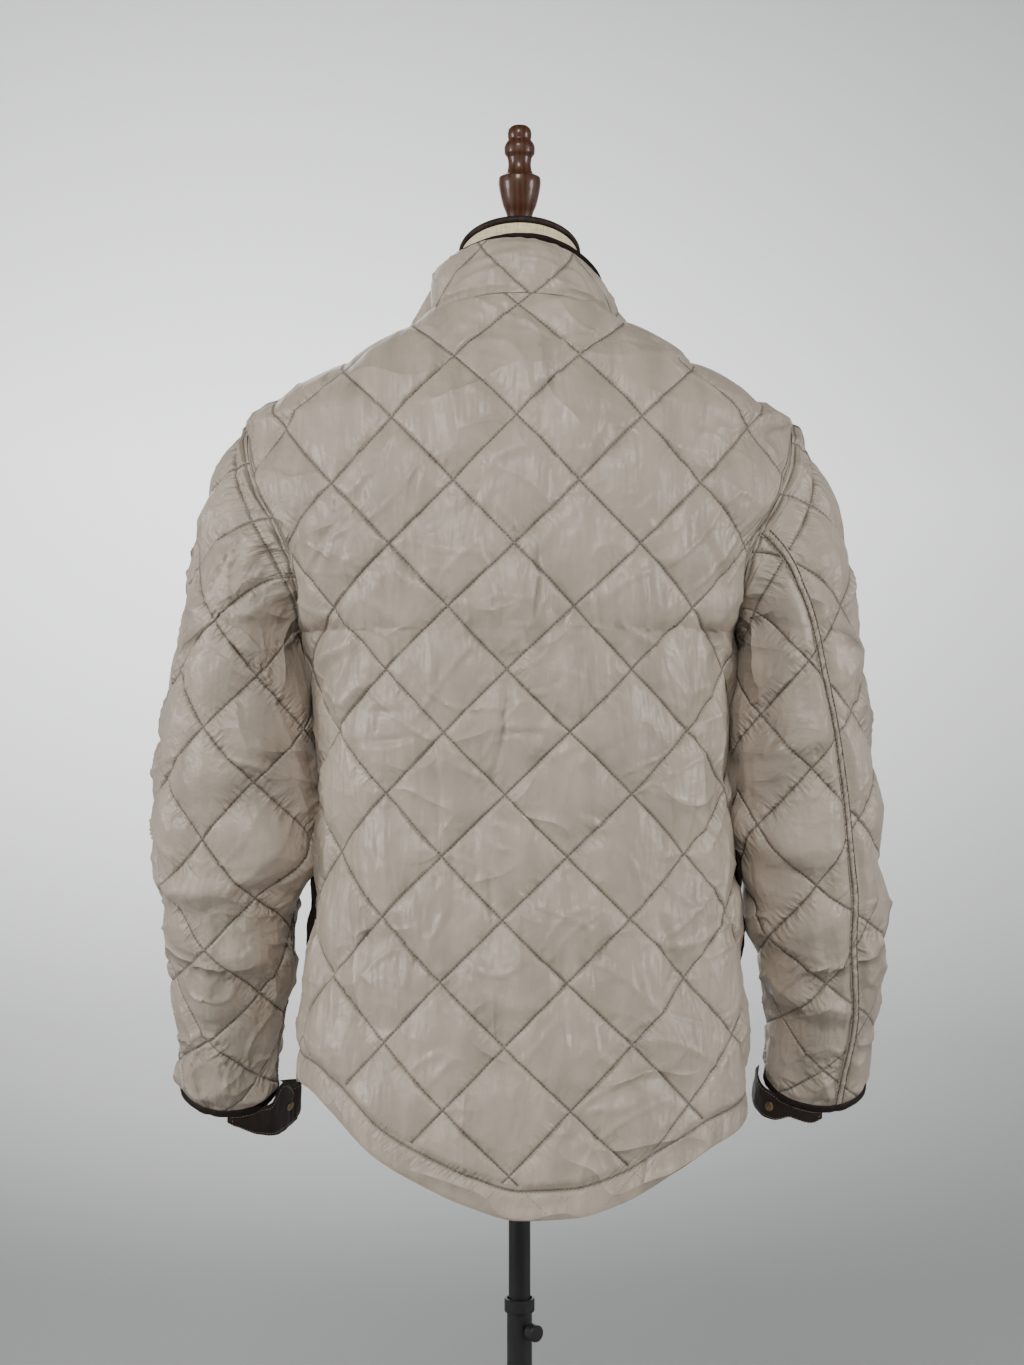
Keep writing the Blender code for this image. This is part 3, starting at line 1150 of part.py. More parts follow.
def make_cuff(hand, binding_finish, tab_finish, snap_finish, home):
    """The dark binding round a cuff, its leather tab and the tab's snap."""
    sleeve = Sleeve(hand)
    round_it = np.linspace(0, 2 * math.pi, CUFF_STEPS + 1)[:-1]
    rings_in = []
    rings_out = []
    base = WALL + SEAM_GAP + 0.0002
    for along in (sleeve.length - CUFF_BINDING, sleeve.length - 0.0002):
        turns = round_it + float(sleeve.seam_turn(along))
        points, normals = sleeve.lay_turned(turns, np.full_like(turns, along))
        rings_in.append(points + normals * base)
        rings_out.append(points + normals * (base + CUFF_BINDING_WALL))
    faces = []
    count = CUFF_STEPS
    for i in range(len(rings_in) - 1):
        for j in range(count):
            a = i * count + j
            b = i * count + (j + 1) % count
            faces.append((a, b, b + count))
            faces.append((a, b + count, a + count))
    mesh = wall_mesh(np.concatenate(rings_in), np.concatenate(rings_out), faces)
    add_object(f"cuff_binding_{hand}", mesh, binding_finish, home["group"], home["form"])

    rows = CUFF_TABS[hand]
    fine = np.linspace(0, len(rows) - 1, 2 * len(rows) - 1)
    table = TabRow(*spline(np.arange(len(rows)), np.array(rows), fine).T)
    cuff, outward = sleeve.lay_turned(np.radians(table.turn), np.full_like(fine, sleeve.length))
    above, _ = sleeve.lay_turned(np.radians(table.turn), np.full_like(fine, sleeve.length - 0.03))
    down = unit(cuff - above)
    rows_in = []
    rows_out = []
    for share in np.linspace(0, 1, 5):
        beyond = table.upper + share * (table.lower - table.upper)
        point = cuff + down * beyond[:, None] + outward * table.out[:, None]
        rows_in.append(point)
        rows_out.append(point + outward * TAB_WALL)
    mesh = strip_mesh(np.array(rows_in), np.array(rows_out))
    add_object(f"cuff_tab_{hand}", mesh, tab_finish, home["group"], home["form"])
    at = 2 * (len(rows) // 2) + 1
    snap = add_stud(f"tab_snap_{hand}", TAB_SNAP_RADIUS, TAB_SNAP_HEIGHT, snap_finish, home)
    across = rows_out[2][at + 1] - rows_out[2][at - 1]
    facing = unit(np.cross(across, rows_out[3][at] - rows_out[1][at]))
    if facing @ outward[at] < 0:
        facing = -facing
    seat_stud(snap, rows_out[2][at] + facing * (SEAM_GAP + 0.0006), facing)


# ---------------------------------------------------------------- dress form and stand
def torso_ring(level):
    """One closed ring of the form, inside the cloth at this level."""
    inside_by = float(spline([c.level for c in TORSO_CLEARANCE],
                             [c.inside for c in TORSO_CLEARANCE], level))
    parts = np.linspace(0, TORSO_SHARE, 7)
    neck_share = max(0.0, (level - SHOULDER_TIP) / (NECK_LEVEL - SHOULDER_TIP))
    drop = neck_share * (NECK_LEVEL - FRONT_NECK) * (1 - parts**2)**0.45
    ring = []
    for side, order, levels in ((BACK, parts, np.full_like(parts, level)),
                                (FRONT, parts[::-1], (level - drop)[::-1])):
        points = side.place(order, levels)
        ring.append(points - side.bare_normal(order, levels) * inside_by)
    back, front = ring
    gap = front[0] - back[-1]
    bulge = np.array([0.004 * min(1.0, abs(gap[1]) / 0.05), 0, 0])
    arm = [back[-1] + gap * t + bulge * math.sin(math.pi * t) for t in (0.33, 0.67)]
    half = np.concatenate([back, arm, front])
    half[:, 0] -= spline([r.level for r in BODY_ROWS], [r.shift_x for r in BODY_ROWS], level)
    mirrored = half[1:-1][::-1] * np.array([-1, 1, 1])
    ring = np.concatenate([half, mirrored])
    ring[:, 0] += spline([r.level for r in BODY_ROWS], [r.shift_x for r in BODY_ROWS], level)
    return ring


def make_torso(finish, home):
    levels = (0.83, 0.91, 0.99, 1.07, 1.14, 1.195, 1.23, 1.265, 1.30, 1.33, 1.357, 1.38,
              1.405, 1.43, 1.455, 1.475)
    rings = [torso_ring(level) for level in levels]
    rings[0][:, 2] = TORSO_BOTTOM
    count = len(rings[0])
    spokes = [rings[-1][j] - rings[-1].mean(axis=0) for j in range(count)]
    angles = np.array([math.atan2(spoke[0], spoke[1]) for spoke in spokes])
    tilt = math.radians(NECK_TILT)
    for row in NECK_RINGS:
        x = row.across * np.sin(angles)
        y = row.depth * np.cos(angles)
        rings.append(np.stack([x, row.y + y * math.cos(tilt), row.z + y * math.sin(tilt)], axis=1))
    mesh = triangulated(loft_mesh(rings))
    add_object("form_torso", mesh, finish, home["group"], home["form"], smooth_angle=60)


def add_turned(name, profile, finish, home, parent, steps=28):
    """A turned piece: its profile at +X runs down the outer side and is screwed round Z."""
    mesh = bpy.data.meshes.new(name)
    mesh.from_pydata([(r, 0, z) for r, z in profile],
                     [(k, k + 1) for k in range(len(profile) - 1)], [])
    thing = add_object(name, mesh, finish, home["group"], parent, smooth_angle=35)
    screw = thing.modifiers.new("turn", "SCREW")
    screw.steps = steps
    screw.render_steps = steps
    screw.use_merge_vertices = True
    screw.merge_threshold = 0.00005
    screw.use_smooth_shade = True
    return thing


def tube_profile(outer, bore, low, high, edge=0.0006):
    """Closed section of a tube with eased outer edges."""
    return [
        (bore, high), (outer - edge, high), (outer, high - edge), (outer, low + edge),
        (outer - edge, low), (bore, low), (bore, high),
    ]


def rod_profile(radius, low, high, edge=0.0008):
    return [
        (0, high), (radius - edge, high), (radius, high - edge), (radius, low + edge),
        (radius - edge, low), (0, low),
    ]


def make_finial(finish, home):
    """Turned finial, its foot cut to the slope of the neck cap."""
    rough = add_turned("finial_rough", FINIAL_PROFILE, finish, home, None, 24)
    graph = bpy.context.evaluated_depsgraph_get()
    mesh = bpy.data.meshes.new_from_object(rough.evaluated_get(graph))
    bpy.data.objects.remove(rough, do_unlink=True)
    tilt = math.radians(NECK_TILT)
    up = Vector((0, -math.sin(tilt), math.cos(tilt)))
    top = Vector((0, 0, CAP_MIDDLE_Z)) + up * (CAP_THICK / 2 + FINIAL_FOOT_GAP)
    form = bmesh.new()
    form.from_mesh(mesh)
    cut = bmesh.ops.bisect_plane(form, geom=form.verts[:] + form.edges[:] + form.faces[:],
                                 plane_co=top, plane_no=up, clear_inner=True)
    rim = [item for item in cut["geom_cut"] if isinstance(item, bmesh.types.BMEdge)]
    bmesh.ops.edgenet_fill(form, edges=rim)
    bmesh.ops.recalc_face_normals(form, faces=form.faces)
    form.to_mesh(mesh)
    form.free()
    add_object("finial", triangulated(mesh), finish, home["group"], home["form"], smooth_angle=35)


def make_neck_cap(finish, home):
    profile = rod_profile(CAP_RADIUS, -CAP_THICK / 2, CAP_THICK / 2, edge=0.0022)
    cap = add_turned("neck_cap", profile, finish, home, home["form"], 36)
    cap.location = (0, 0, CAP_MIDDLE_Z)
    cap.rotation_euler = Euler((math.radians(NECK_TILT), 0, 0))


def make_stand(finish, home):
    """Round base, socket, two tubes, the ring at their joint and the knob that locks them."""
    floor = home["stand"]
    add_turned("base", rod_profile(BASE_RADIUS, 0, BASE_THICK, edge=0.003), finish, home, floor, 48)
    low = BASE_THICK + SEAM_GAP
    add_turned("base_socket", tube_profile(SOCKET_RADIUS, POLE_LOWER_RADIUS + SEAM_GAP, low,
                                           low + SOCKET_HEIGHT, edge=0.003), finish, home, floor)
    add_turned("pole_lower", tube_profile(POLE_LOWER_RADIUS, POLE_LOWER_BORE, low,
                                          POLE_LOWER_TOP), finish, home, floor)
    add_turned("pole_ring", tube_profile(POLE_RING_RADIUS, POLE_LOWER_RADIUS + SEAM_GAP,
                                         POLE_RING_LOW, POLE_RING_HIGH), finish, home, floor)
    top = TORSO_BOTTOM - SEAM_GAP
    add_turned("pole_flange", rod_profile(FLANGE_RADIUS, top - FLANGE_THICK, top), finish, home,
               home["form"])
    add_turned("pole_upper", rod_profile(POLE_UPPER_RADIUS, POLE_UPPER_FOOT,
                                         top - FLANGE_THICK - SEAM_GAP), finish, home, home["form"])
    shank = POLE_LOWER_RADIUS + SEAM_GAP
    head = shank + KNOB_SHANK[1]
    end = head + KNOB_HEAD[1]
    profile = [
        (0, end), (KNOB_HEAD[0] - 0.001, end), (KNOB_HEAD[0], end - 0.001),
        (KNOB_HEAD[0], head + 0.001), (KNOB_HEAD[0] - 0.001, head), (KNOB_SHANK[0], head),
        (KNOB_SHANK[0], shank), (0, shank),
    ]
    knob = add_turned("lock_knob", profile, finish, home, floor, 24)
    knob.location = (0, 0, KNOB_Z)
    direction = Vector((math.cos(math.radians(KNOB_AZIMUTH)), math.sin(math.radians(KNOB_AZIMUTH)), 0))
    knob.rotation_euler = direction.to_track_quat("Z", "Y").to_euler()


def add_axis(name, collection):
    """An empty on the pole's axis, which carries the pieces of one moving body."""
    axis = bpy.data.objects.new(name, None)
    axis.hide_render = True
    collection.objects.link(axis)
    return axis


def main():
    clear_scene()
    group = bpy.data.collections.new("quilted_jacket_on_dress_form")
    bpy.context.scene.collection.children.link(group)
    home = {"group": group, "form": add_axis("slide_axis", group),
            "stand": add_axis("stand_axis", group)}
    nylon = make_material("stone_nylon", (0.46, 0.41, 0.37), 0.42)
    binding = make_material("dark_binding", (0.018, 0.013, 0.012), 0.6)
    leather = make_material("dark_leather", (0.022, 0.012, 0.008), 0.45)
    linen = make_material("cream_linen", (0.68, 0.62, 0.48), 0.85)
    walnut = make_material("dark_walnut", (0.085, 0.032, 0.018), 0.35)
    black = make_material("black_metal", (0.012, 0.012, 0.013), 0.4, 0.9)
    cap_black = make_material("cap_black", (0.02, 0.014, 0.012), 0.5)
    brass = make_material("aged_brass", (0.30, 0.22, 0.12), 0.35, 1.0)
    make_back(nylon, home)
    make_front("front_left", 1, nylon, home)
    make_front("front_right", -1, nylon, home)
    for hand in ("left", "right"):
        make_sleeve(hand, nylon, home)
        make_seam_strip(hand, nylon, home)
        make_cuff(hand, binding, leather, brass, home)
    make_collar(nylon, binding, home)
    make_placket(nylon, brass, home)
    make_pocket("pocket_left", 1, binding, home)
    make_pocket("pocket_right", -1, binding, home)
    make_torso(linen, home)
    make_neck_cap(cap_black, home)
    make_finial(walnut, home)
    make_stand(black, home)


main()
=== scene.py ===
"""Quilted jacket on its dress form: cloth, stitching, trims, form, stand and studio.

Metres, +Z up; the jacket's front faces -Y and its wearer's left is +X. A cloth piece is worked out
flat, as it was cut: (s, q) are the distances across and up its pattern. A surface function then
lays that pattern round the figure, and the cloth's outer face is raised from it by the quilting.
"""

import math
from collections import namedtuple

import bpy
import numpy as np
from bpy.props import FloatProperty, FloatVectorProperty, PointerProperty
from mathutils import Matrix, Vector


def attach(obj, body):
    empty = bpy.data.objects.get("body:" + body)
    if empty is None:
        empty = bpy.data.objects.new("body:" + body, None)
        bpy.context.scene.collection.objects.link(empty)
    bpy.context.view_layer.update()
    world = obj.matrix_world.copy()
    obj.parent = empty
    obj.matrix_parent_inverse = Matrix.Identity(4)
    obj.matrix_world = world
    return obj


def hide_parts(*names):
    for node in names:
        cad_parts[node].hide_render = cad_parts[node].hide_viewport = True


bl_info = {
    "name": "Quilted jacket on a dress form",
    "version": (1, 0, 0),
    "blender": (4, 5, 0),
    "location": "View3D > Sidebar > Jacket",
    "description": "Sews a quilted jacket onto a dress form and sets up its studio",
    "category": "Add Mesh",
}

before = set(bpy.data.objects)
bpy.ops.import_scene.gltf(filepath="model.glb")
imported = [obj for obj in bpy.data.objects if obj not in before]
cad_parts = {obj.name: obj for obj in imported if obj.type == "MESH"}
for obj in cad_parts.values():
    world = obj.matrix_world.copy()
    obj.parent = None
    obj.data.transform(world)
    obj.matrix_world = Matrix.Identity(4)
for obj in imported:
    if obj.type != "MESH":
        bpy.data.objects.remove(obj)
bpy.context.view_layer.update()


def rows_of(kind, *values):
    """A table: its rows, each made one of kind."""
    return tuple(kind(*row) for row in values)


# ---- cloth ----
WALL = 0.0016
SEAM_GAP = 0.0003
HALF_WIDTH = 0.28        # of the body's cloth, roughly
BODY_DIAGONAL = 0.105
SLEEVE_DIAGONAL = 0.092
COLLAR_DIAGONAL = 0.105
SEAM_FLAT = 0.009
HEM_BAND = 0.024
HEM_ROLL = 0.0036
HEM_LEVEL = 0.78         # roughly
DEEPEST = -0.0010        # the outer face never dips further than this below the plain wall
THREAD_LIFT = 0.0001     # of the stitches over the cloth
LINE_STEP = 0.003        # between the points of a stitched line
JOIN_REACH = 0.012       # from the armhole, where body and sleeve share their normals
FOLD_FLAT = 0.030

# ---- body: one row for each level, from below the hem to the top of the shoulders ----
BodyRow = namedtuple(
    "BodyRow",
    "level back_y back_z front_y front_z side_x back_side_y front_side_y side_z turn shift_x",
)
BODY_ROWS = rows_of(
    BodyRow,
    (0.670, 0.144, 0.670, -0.134, 0.670, 0.203, 0.000, 0.000, 0.670, 90, 0.000),
    (0.760, 0.140, 0.760, -0.133, 0.760, 0.200, 0.000, 0.000, 0.760, 90, 0.000),
    (0.850, 0.133, 0.850, -0.131, 0.850, 0.193, 0.000, 0.000, 0.850, 90, -0.003),
    (0.950, 0.126, 0.950, -0.127, 0.950, 0.183, 0.000, 0.000, 0.950, 90, -0.006),
    (1.020, 0.123, 1.020, -0.125, 1.020, 0.179, 0.000, 0.000, 1.020, 90, -0.005),
    (1.100, 0.126, 1.100, -0.126, 1.100, 0.180, 0.000, 0.000, 1.100, 90, -0.003),
    (1.195, 0.132, 1.195, -0.127, 1.195, 0.188, 0.000, 0.000, 1.195, 90, 0.000),
    (1.207, 0.133, 1.207, -0.127, 1.207, 0.188, 0.034, -0.030, 1.207, 84, 0.000),
    (1.230, 0.134, 1.230, -0.126, 1.230, 0.190, 0.056, -0.050, 1.230, 74, 0.000),
    (1.262, 0.134, 1.262, -0.124, 1.262, 0.199, 0.067, -0.060, 1.262, 64, 0.000),
    (1.295, 0.133, 1.295, -0.119, 1.295, 0.214, 0.065, -0.060, 1.295, 58, 0.000),
    (1.327, 0.130, 1.328, -0.112, 1.326, 0.230, 0.052, -0.048, 1.325, 54, 0.000),
    (1.358, 0.125, 1.361, -0.102, 1.357, 0.238, 0.030, -0.025, 1.354, 54, 0.000),
    (1.385, 0.117, 1.389, -0.091, 1.382, 0.2405, 0.003, 0.003, 1.381, 78, 0.000),
    (1.420, 0.103, 1.424, -0.076, 1.418, 0.185, 0.005, 0.005, 1.411, 90, 0.000),
    (1.455, 0.088, 1.456, -0.062, 1.450, 0.130, 0.007, 0.007, 1.442, 90, 0.000),
    (1.487, 0.074, 1.484, -0.050, 1.478, 0.079, 0.009, 0.009, 1.471, 90, 0.000),
)
ROW_FULLNESS = 0.60
UNDERARM = 1.195
SHOULDER_TIP = 1.385
NECK_LEVEL = 1.487
FRONT_NECK = 1.405
ARMHOLE_STEPS = 8
NECK_STEPS = 6

HemPoint = namedtuple("HemPoint", "s q")
BACK_HEM = rows_of(
    HemPoint, (-0.300, 0.766), (-0.250, 0.764), (-0.185, 0.756), (-0.135, 0.738), (-0.085, 0.716),
    (-0.045, 0.706), (0.000, 0.7045), (0.045, 0.716), (0.080, 0.730), (0.125, 0.751),
    (0.175, 0.785), (0.210, 0.799), (0.300, 0.803),
)
FRONT_HEM = rows_of(
    HemPoint, (-0.300, 0.758), (-0.150, 0.760), (0.000, 0.772), (0.150, 0.786), (0.300, 0.795),
)

# ---- where the quilting's crossings run: the drift of the middle crossing across the cloth ----
Drift = namedtuple("Drift", "level s")
BACK_DRIFT = rows_of(
    Drift, (0.741, 0.0092), (0.846, 0.0147), (0.951, 0.0194), (1.056, 0.0157), (1.161, 0.0112),
    (1.266, 0.0050), (1.371, 0.0034), (1.450, 0.0020),
)
FRONT_DRIFT = rows_of(
    Drift, (0.741, 0.002), (1.1, -0.002), (1.4, 0.001),
)
QUILT_LEVEL = 1.161      # level of one of the crossings

# ---- sleeves ----
SleeveRing = namedtuple("SleeveRing", "z x y across depth")
SLEEVE_RINGS = {
    "left": rows_of(
        SleeveRing, (1.165, 0.2530, -0.004, 0.0500, 0.0700),
        (1.100, 0.2572, -0.006, 0.0560, 0.0690), (1.030, 0.2580, -0.010, 0.0610, 0.0660),
        (0.960, 0.2615, -0.026, 0.0560, 0.0590), (0.900, 0.2620, -0.046, 0.0535, 0.0550),
        (0.850, 0.2662, -0.066, 0.0478, 0.0500), (0.805, 0.2702, -0.087, 0.0430, 0.0455),
        (0.770, 0.2725, -0.104, 0.0425, 0.0440),
    ),
    "right": rows_of(
        SleeveRing, (1.165, 0.2520, -0.004, 0.0490, 0.0700),
        (1.100, 0.2545, -0.006, 0.0540, 0.0690), (1.030, 0.2570, -0.010, 0.0590, 0.0660),
        (0.960, 0.2665, -0.026, 0.0570, 0.0600), (0.900, 0.2758, -0.046, 0.0520, 0.0560),
        (0.850, 0.2795, -0.066, 0.0475, 0.0510), (0.805, 0.2790, -0.087, 0.0430, 0.0460),
        (0.775, 0.2775, -0.101, 0.0445, 0.0450),
    ),
}
Lean = namedtuple("Lean", "along swell")
SLEEVE_LEAN = {           # how far the upper sleeve's inner side swells towards the body
    "left": rows_of(
        Lean, (-0.010, 0.0080), (0.010, 0.0120), (0.025, 0.0155), (0.055, 0.0178), (0.085, 0.0176),
        (0.115, 0.0168), (0.145, 0.0155), (0.165, 0.0110), (0.185, 0.0030), (0.205, 0.0),
    ),
    "right": rows_of(
        Lean, (-0.010, 0.0070), (0.010, 0.0100), (0.025, 0.0118), (0.055, 0.0130), (0.085, 0.0112),
        (0.105, 0.0092), (0.130, 0.0088), (0.150, 0.0092), (0.170, 0.0060), (0.190, 0.0010),
        (0.205, 0.0),
    ),
}
LEAN_TURN = math.radians(187)
SLEEVE_RADIUS = 0.055    # roughly
CAP_SLOPE_TOP = 58
CAP_SLOPE_UNDER = 20
SeamPoint = namedtuple("SeamPoint", "along turn")
SLEEVE_SEAM = {
    "left": rows_of(
        SeamPoint, (-0.05, 180), (0.10, 182), (0.40, 186),
    ),
    "right": rows_of(
        SeamPoint, (-0.07, 270), (0.00, 281), (0.05, 290), (0.13, 298), (0.19, 301), (0.25, 295),
        (0.31, 297), (0.40, 290),
    ),
}
SleeveQuilt = namedtuple("SleeveQuilt", "turn along")
SLEEVE_QUILT_AT = {"left": SleeveQuilt(286, 0.052), "right": SleeveQuilt(268, 0.086)}
SEAM_STRIP_WIDTH = 0.0085
STRIP_ROW = 0.33         # a row of stitching this part of the strip's width from its middle
ARMHOLE_ROWS = (0.0030, 0.0085)    # rows of topstitching, from the armhole

# ---- large folds: middle (s, q), direction in degrees, length, width and height ----
Fold = namedtuple("Fold", "s q angle length width height")
BACK_CREASES = rows_of(
    Fold, (-0.014, 1.223, 95, 0.062, 0.0034, -0.0020), (-0.004, 1.190, 90, 0.026, 0.0030, -0.0016),
    (0.016, 1.115, 100, 0.088, 0.0036, -0.0019), (0.073, 1.088, 90, 0.028, 0.0034, -0.0016),
    (0.072, 1.024, 92, 0.064, 0.0034, -0.0018), (0.116, 1.126, 2, 0.028, 0.0030, -0.0014),
    (0.116, 1.101, 174, 0.040, 0.0032, -0.0016), (0.001, 1.108, 0, 0.036, 0.0030, -0.0015),
    (0.172, 1.176, 159, 0.054, 0.0070, 0.0030), (0.190, 1.150, 150, 0.040, 0.0060, -0.0026),
    (-0.045, 1.157, 85, 0.084, 0.0060, 0.0018), (-0.058, 1.031, 22, 0.024, 0.0034, 0.0018),
    (-0.150, 1.030, 88, 0.030, 0.0034, -0.0018), (-0.020, 1.290, 88, 0.070, 0.0060, 0.0016),
    (-0.120, 0.930, 70, 0.050, 0.0040, -0.0020), (-0.128, 0.905, 125, 0.034, 0.0036, -0.0018),
    (-0.060, 1.340, 100, 0.050, 0.0050, -0.0016), (0.080, 1.330, 80, 0.060, 0.0050, 0.0016),
    (0.030, 0.960, 96, 0.050, 0.0040, -0.0016), (-0.030, 0.900, 84, 0.046, 0.0040, -0.0016),
    (-0.170, 1.250, 60, 0.050, 0.0050, -0.0020), (0.165, 1.270, 118, 0.050, 0.0050, -0.0020),
)
BODY_FOLDS = {
    "back": rows_of(
        Fold, (0.155, 1.120, 62, 0.12, 0.020, 0.004), (-0.160, 1.100, 118, 0.12, 0.020, 0.004),
        (-0.110, 0.900, 80, 0.11, 0.016, 0.004), (0.200, 0.880, 98, 0.16, 0.022, 0.004),
        (-0.205, 0.860, 84, 0.16, 0.022, 0.004),
    ),
    "front_left": rows_of(Fold, (0.160, 1.120, 118, 0.14, 0.022, 0.004)),
    "front_right": rows_of(Fold, (-0.160, 1.110, 62, 0.14, 0.022, 0.004)),
}
SLEEVE_FOLDS = {         # s is the turn in degrees here, and q the distance along the sleeve
    "left": rows_of(
        Fold, (250, 0.080, 25, 0.10, 0.016, 0.006), (230, 0.150, -20, 0.10, 0.014, 0.006),
        (285, 0.180, 14, 0.11, 0.013, 0.005), (260, 0.245, -18, 0.10, 0.013, 0.005),
        (120, 0.120, 15, 0.10, 0.016, 0.006), (90, 0.200, -15, 0.10, 0.014, 0.006),
        (60, 0.270, 12, 0.09, 0.013, 0.005),
    ),
    "right": rows_of(
        Fold, (245, 0.075, -22, 0.10, 0.016, 0.006), (232, 0.140, 18, 0.10, 0.014, 0.006),
        (250, 0.215, -15, 0.11, 0.013, 0.005), (262, 0.290, 14, 0.09, 0.013, 0.005),
        (120, 0.110, 15, 0.10, 0.016, 0.006), (90, 0.190, -15, 0.10, 0.014, 0.006),
        (60, 0.260, 12, 0.09, 0.013, 0.005),
    ),
}

# ---- collar ----
COLLAR_TOP_X = 0.0745
COLLAR_TOP_Y = 0.0700
COLLAR_TOP_MIDDLE = (0.0, -0.014, 1.4965)
COLLAR_TOP_SLOPE = 0.55
COLLAR_TOP_ROLL = 0.055
COLLAR_BULGE = 0.0035
COLLAR_FOLDS = (         # q is the height above the neckline
    Fold(0.010, 0.036, -4, 0.090, 0.0040, 0.0020), Fold(-0.020, 0.029, 7, 0.070, 0.0035, 0.0018),
    Fold(0.030, 0.022, -12, 0.060, 0.0035, 0.0016), Fold(-0.055, 0.020, 60, 0.030, 0.0040, 0.0022),
    Fold(0.062, 0.024, 112, 0.032, 0.0040, 0.0024), Fold(-0.035, 0.014, 14, 0.060, 0.0030, 0.0014),
)

# ---- front closure, pockets and cuffs ----
PLACKET_WIDTH = 0.046
PLACKET_ROW = 0.004      # its rows of stitching, from its edges
SNAP_LEVELS = (0.825, 0.930, 1.035, 1.140, 1.245, 1.350)
SNAP_SIZE = (0.0075, 0.0024)        # radius and height
TAB_SNAP_SIZE = (0.0045, 0.0018)
PocketEnd = namedtuple("PocketEnd", "ahead level")
POCKET_TOP = PocketEnd(-0.003, 1.006)    # ahead of the side seam, and at this level
POCKET_LOW = PocketEnd(0.052, 0.872)
POCKET_BOW = 0.010       # the slit bows this far to the rear at its middle
LIP_WIDTH = 0.0075
LIP_HEIGHT = 0.0034
LIP_APART = 0.0035
POCKET_GAPE = 0.0075
CUFF_BINDING = 0.0070
TabRow = namedtuple("TabRow", "turn out upper lower")
CUFF_TABS = {
    "left": rows_of(
        TabRow, (266, 0.0022, 0.0002, 0.0060), (250, 0.0030, 0.0002, 0.0140),
        (232, 0.0070, 0.0000, 0.0230), (218, 0.0120, -0.0100, 0.0280),
        (208, 0.0150, -0.0290, 0.0300), (199, 0.0180, -0.0200, 0.0280),
        (192, 0.0205, -0.0020, 0.0270), (184, 0.0225, -0.0040, 0.0260),
        (176, 0.0230, -0.0080, 0.0240), (168, 0.0190, -0.0020, 0.0180),
    ),
    "right": rows_of(
        TabRow, (272, 0.0022, 0.0002, 0.0070), (258, 0.0026, 0.0002, 0.0130),
        (240, 0.0038, 0.0002, 0.0110), (222, 0.0070, 0.0000, 0.0200),
        (204, 0.0100, -0.0060, 0.0230), (186, 0.0110, -0.0120, 0.0200),
        (168, 0.0080, -0.0080, 0.0130),
    ),
}
TAB_WALL = 0.0020
TAB_SNAP_TURN = {"left": 199, "right": 213}

# ---- dress form ----
TORSO_BOTTOM = 0.830
TORSO_SHARE = 0.95
Clearance = namedtuple("Clearance", "level inside")
TORSO_CLEARANCE = rows_of(
    Clearance, (0.830, 0.022), (1.000, 0.016), (1.150, 0.010), (1.260, 0.0080), (1.350, 0.0090),
    (1.390, 0.0090), (1.425, 0.0038), (1.487, 0.0050),
)
NeckRing = namedtuple("NeckRing", "y z across depth")
NECK_RINGS = rows_of(
    NeckRing, (0.000, 1.472, 0.0610, 0.0600), (0.001, 1.492, 0.0540, 0.0540),
    (0.001, 1.512, 0.0525, 0.0525), (0.0005, 1.5285, 0.0525, 0.0525),
)
NECK_TILT = math.radians(25)
CAP_RADIUS = 0.0545
CAP_THICK = 0.0060
CAP_MIDDLE_Z = 1.5322
FinialPoint = namedtuple("FinialPoint", "radius z")
FINIAL_PROFILE = rows_of(
    FinialPoint, (0.0000, 1.6480), (0.0060, 1.6472), (0.0098, 1.6440), (0.0108, 1.6395),
    (0.0103, 1.6345), (0.0118, 1.6325), (0.0138, 1.6275), (0.0136, 1.6225), (0.0110, 1.6185),
    (0.0103, 1.6120), (0.0112, 1.6065), (0.0150, 1.6025), (0.0186, 1.6005), (0.0190, 1.5960),
    (0.0184, 1.5905), (0.0175, 1.5860), (0.0150, 1.5760), (0.0118, 1.5680), (0.0108, 1.5630),
    (0.0128, 1.5580), (0.0160, 1.5540), (0.0170, 1.5480), (0.0170, 1.5200),
)
LINE_SAMPLES = 33
INNER_STEP = 4           # cells of a wall's outer face beside each cell of its inner one
TURN = 2 * math.pi


# ---------------------------------------------------------------- numbers
def calm_slopes(knots, values):
    """Slopes at the knots that never carry the curve past its own values."""
    spans = np.diff(knots)
    if values.ndim > 1:
        spans = spans.reshape((-1,) + (1,) * (values.ndim - 1))
    rises = np.diff(values, axis=0) / spans
    before, after = rises[:-1], rises[1:]
    weigh_before = 2 * spans[1:] + spans[:-1]
    weigh_after = spans[1:] + 2 * spans[:-1]
    same_way = before * after > 0
    safe_before = np.where(same_way, before, 1.0)
    safe_after = np.where(same_way, after, 1.0)
    mean = (weigh_before + weigh_after) / (weigh_before / safe_before + weigh_after / safe_after)
    return np.concatenate([rises[:1], np.where(same_way, mean, 0.0), rises[-1:]])


def spline(knots, values, where):
    """Read a smooth curve through a table's values; it holds its end values outside the table."""
    knots = np.asarray(knots, float)
    values = np.asarray(values, float)
    where = np.clip(np.asarray(where, float), knots[0], knots[-1])
    slopes = calm_slopes(knots, values)
    i = np.clip(np.searchsorted(knots, where, side="right") - 1, 0, len(knots) - 2)
    span = knots[i + 1] - knots[i]
    t = (where - knots[i]) / span
    if values.ndim > 1:
        t = t[..., None]
        span = span[..., None]
    start = 2 * t**3 - 3 * t**2 + 1
    end = 3 * t**2 - 2 * t**3
    leave = t**3 - 2 * t**2 + t
    arrive = t**3 - t**2
    ends = start * values[i] + end * values[i + 1]
    return ends + span * (leave * slopes[i] + arrive * slopes[i + 1])


def read_table(table, where):
    """Second column of a two-column table at values of its first."""
    knots, values = np.array(table, float).T
    return spline(knots, values, where)


def travelled(points):
    """Distance along a line of points at each of them."""
    steps = np.linalg.norm(np.diff(points, axis=0), axis=1)
    return np.concatenate([[0], np.cumsum(steps)])


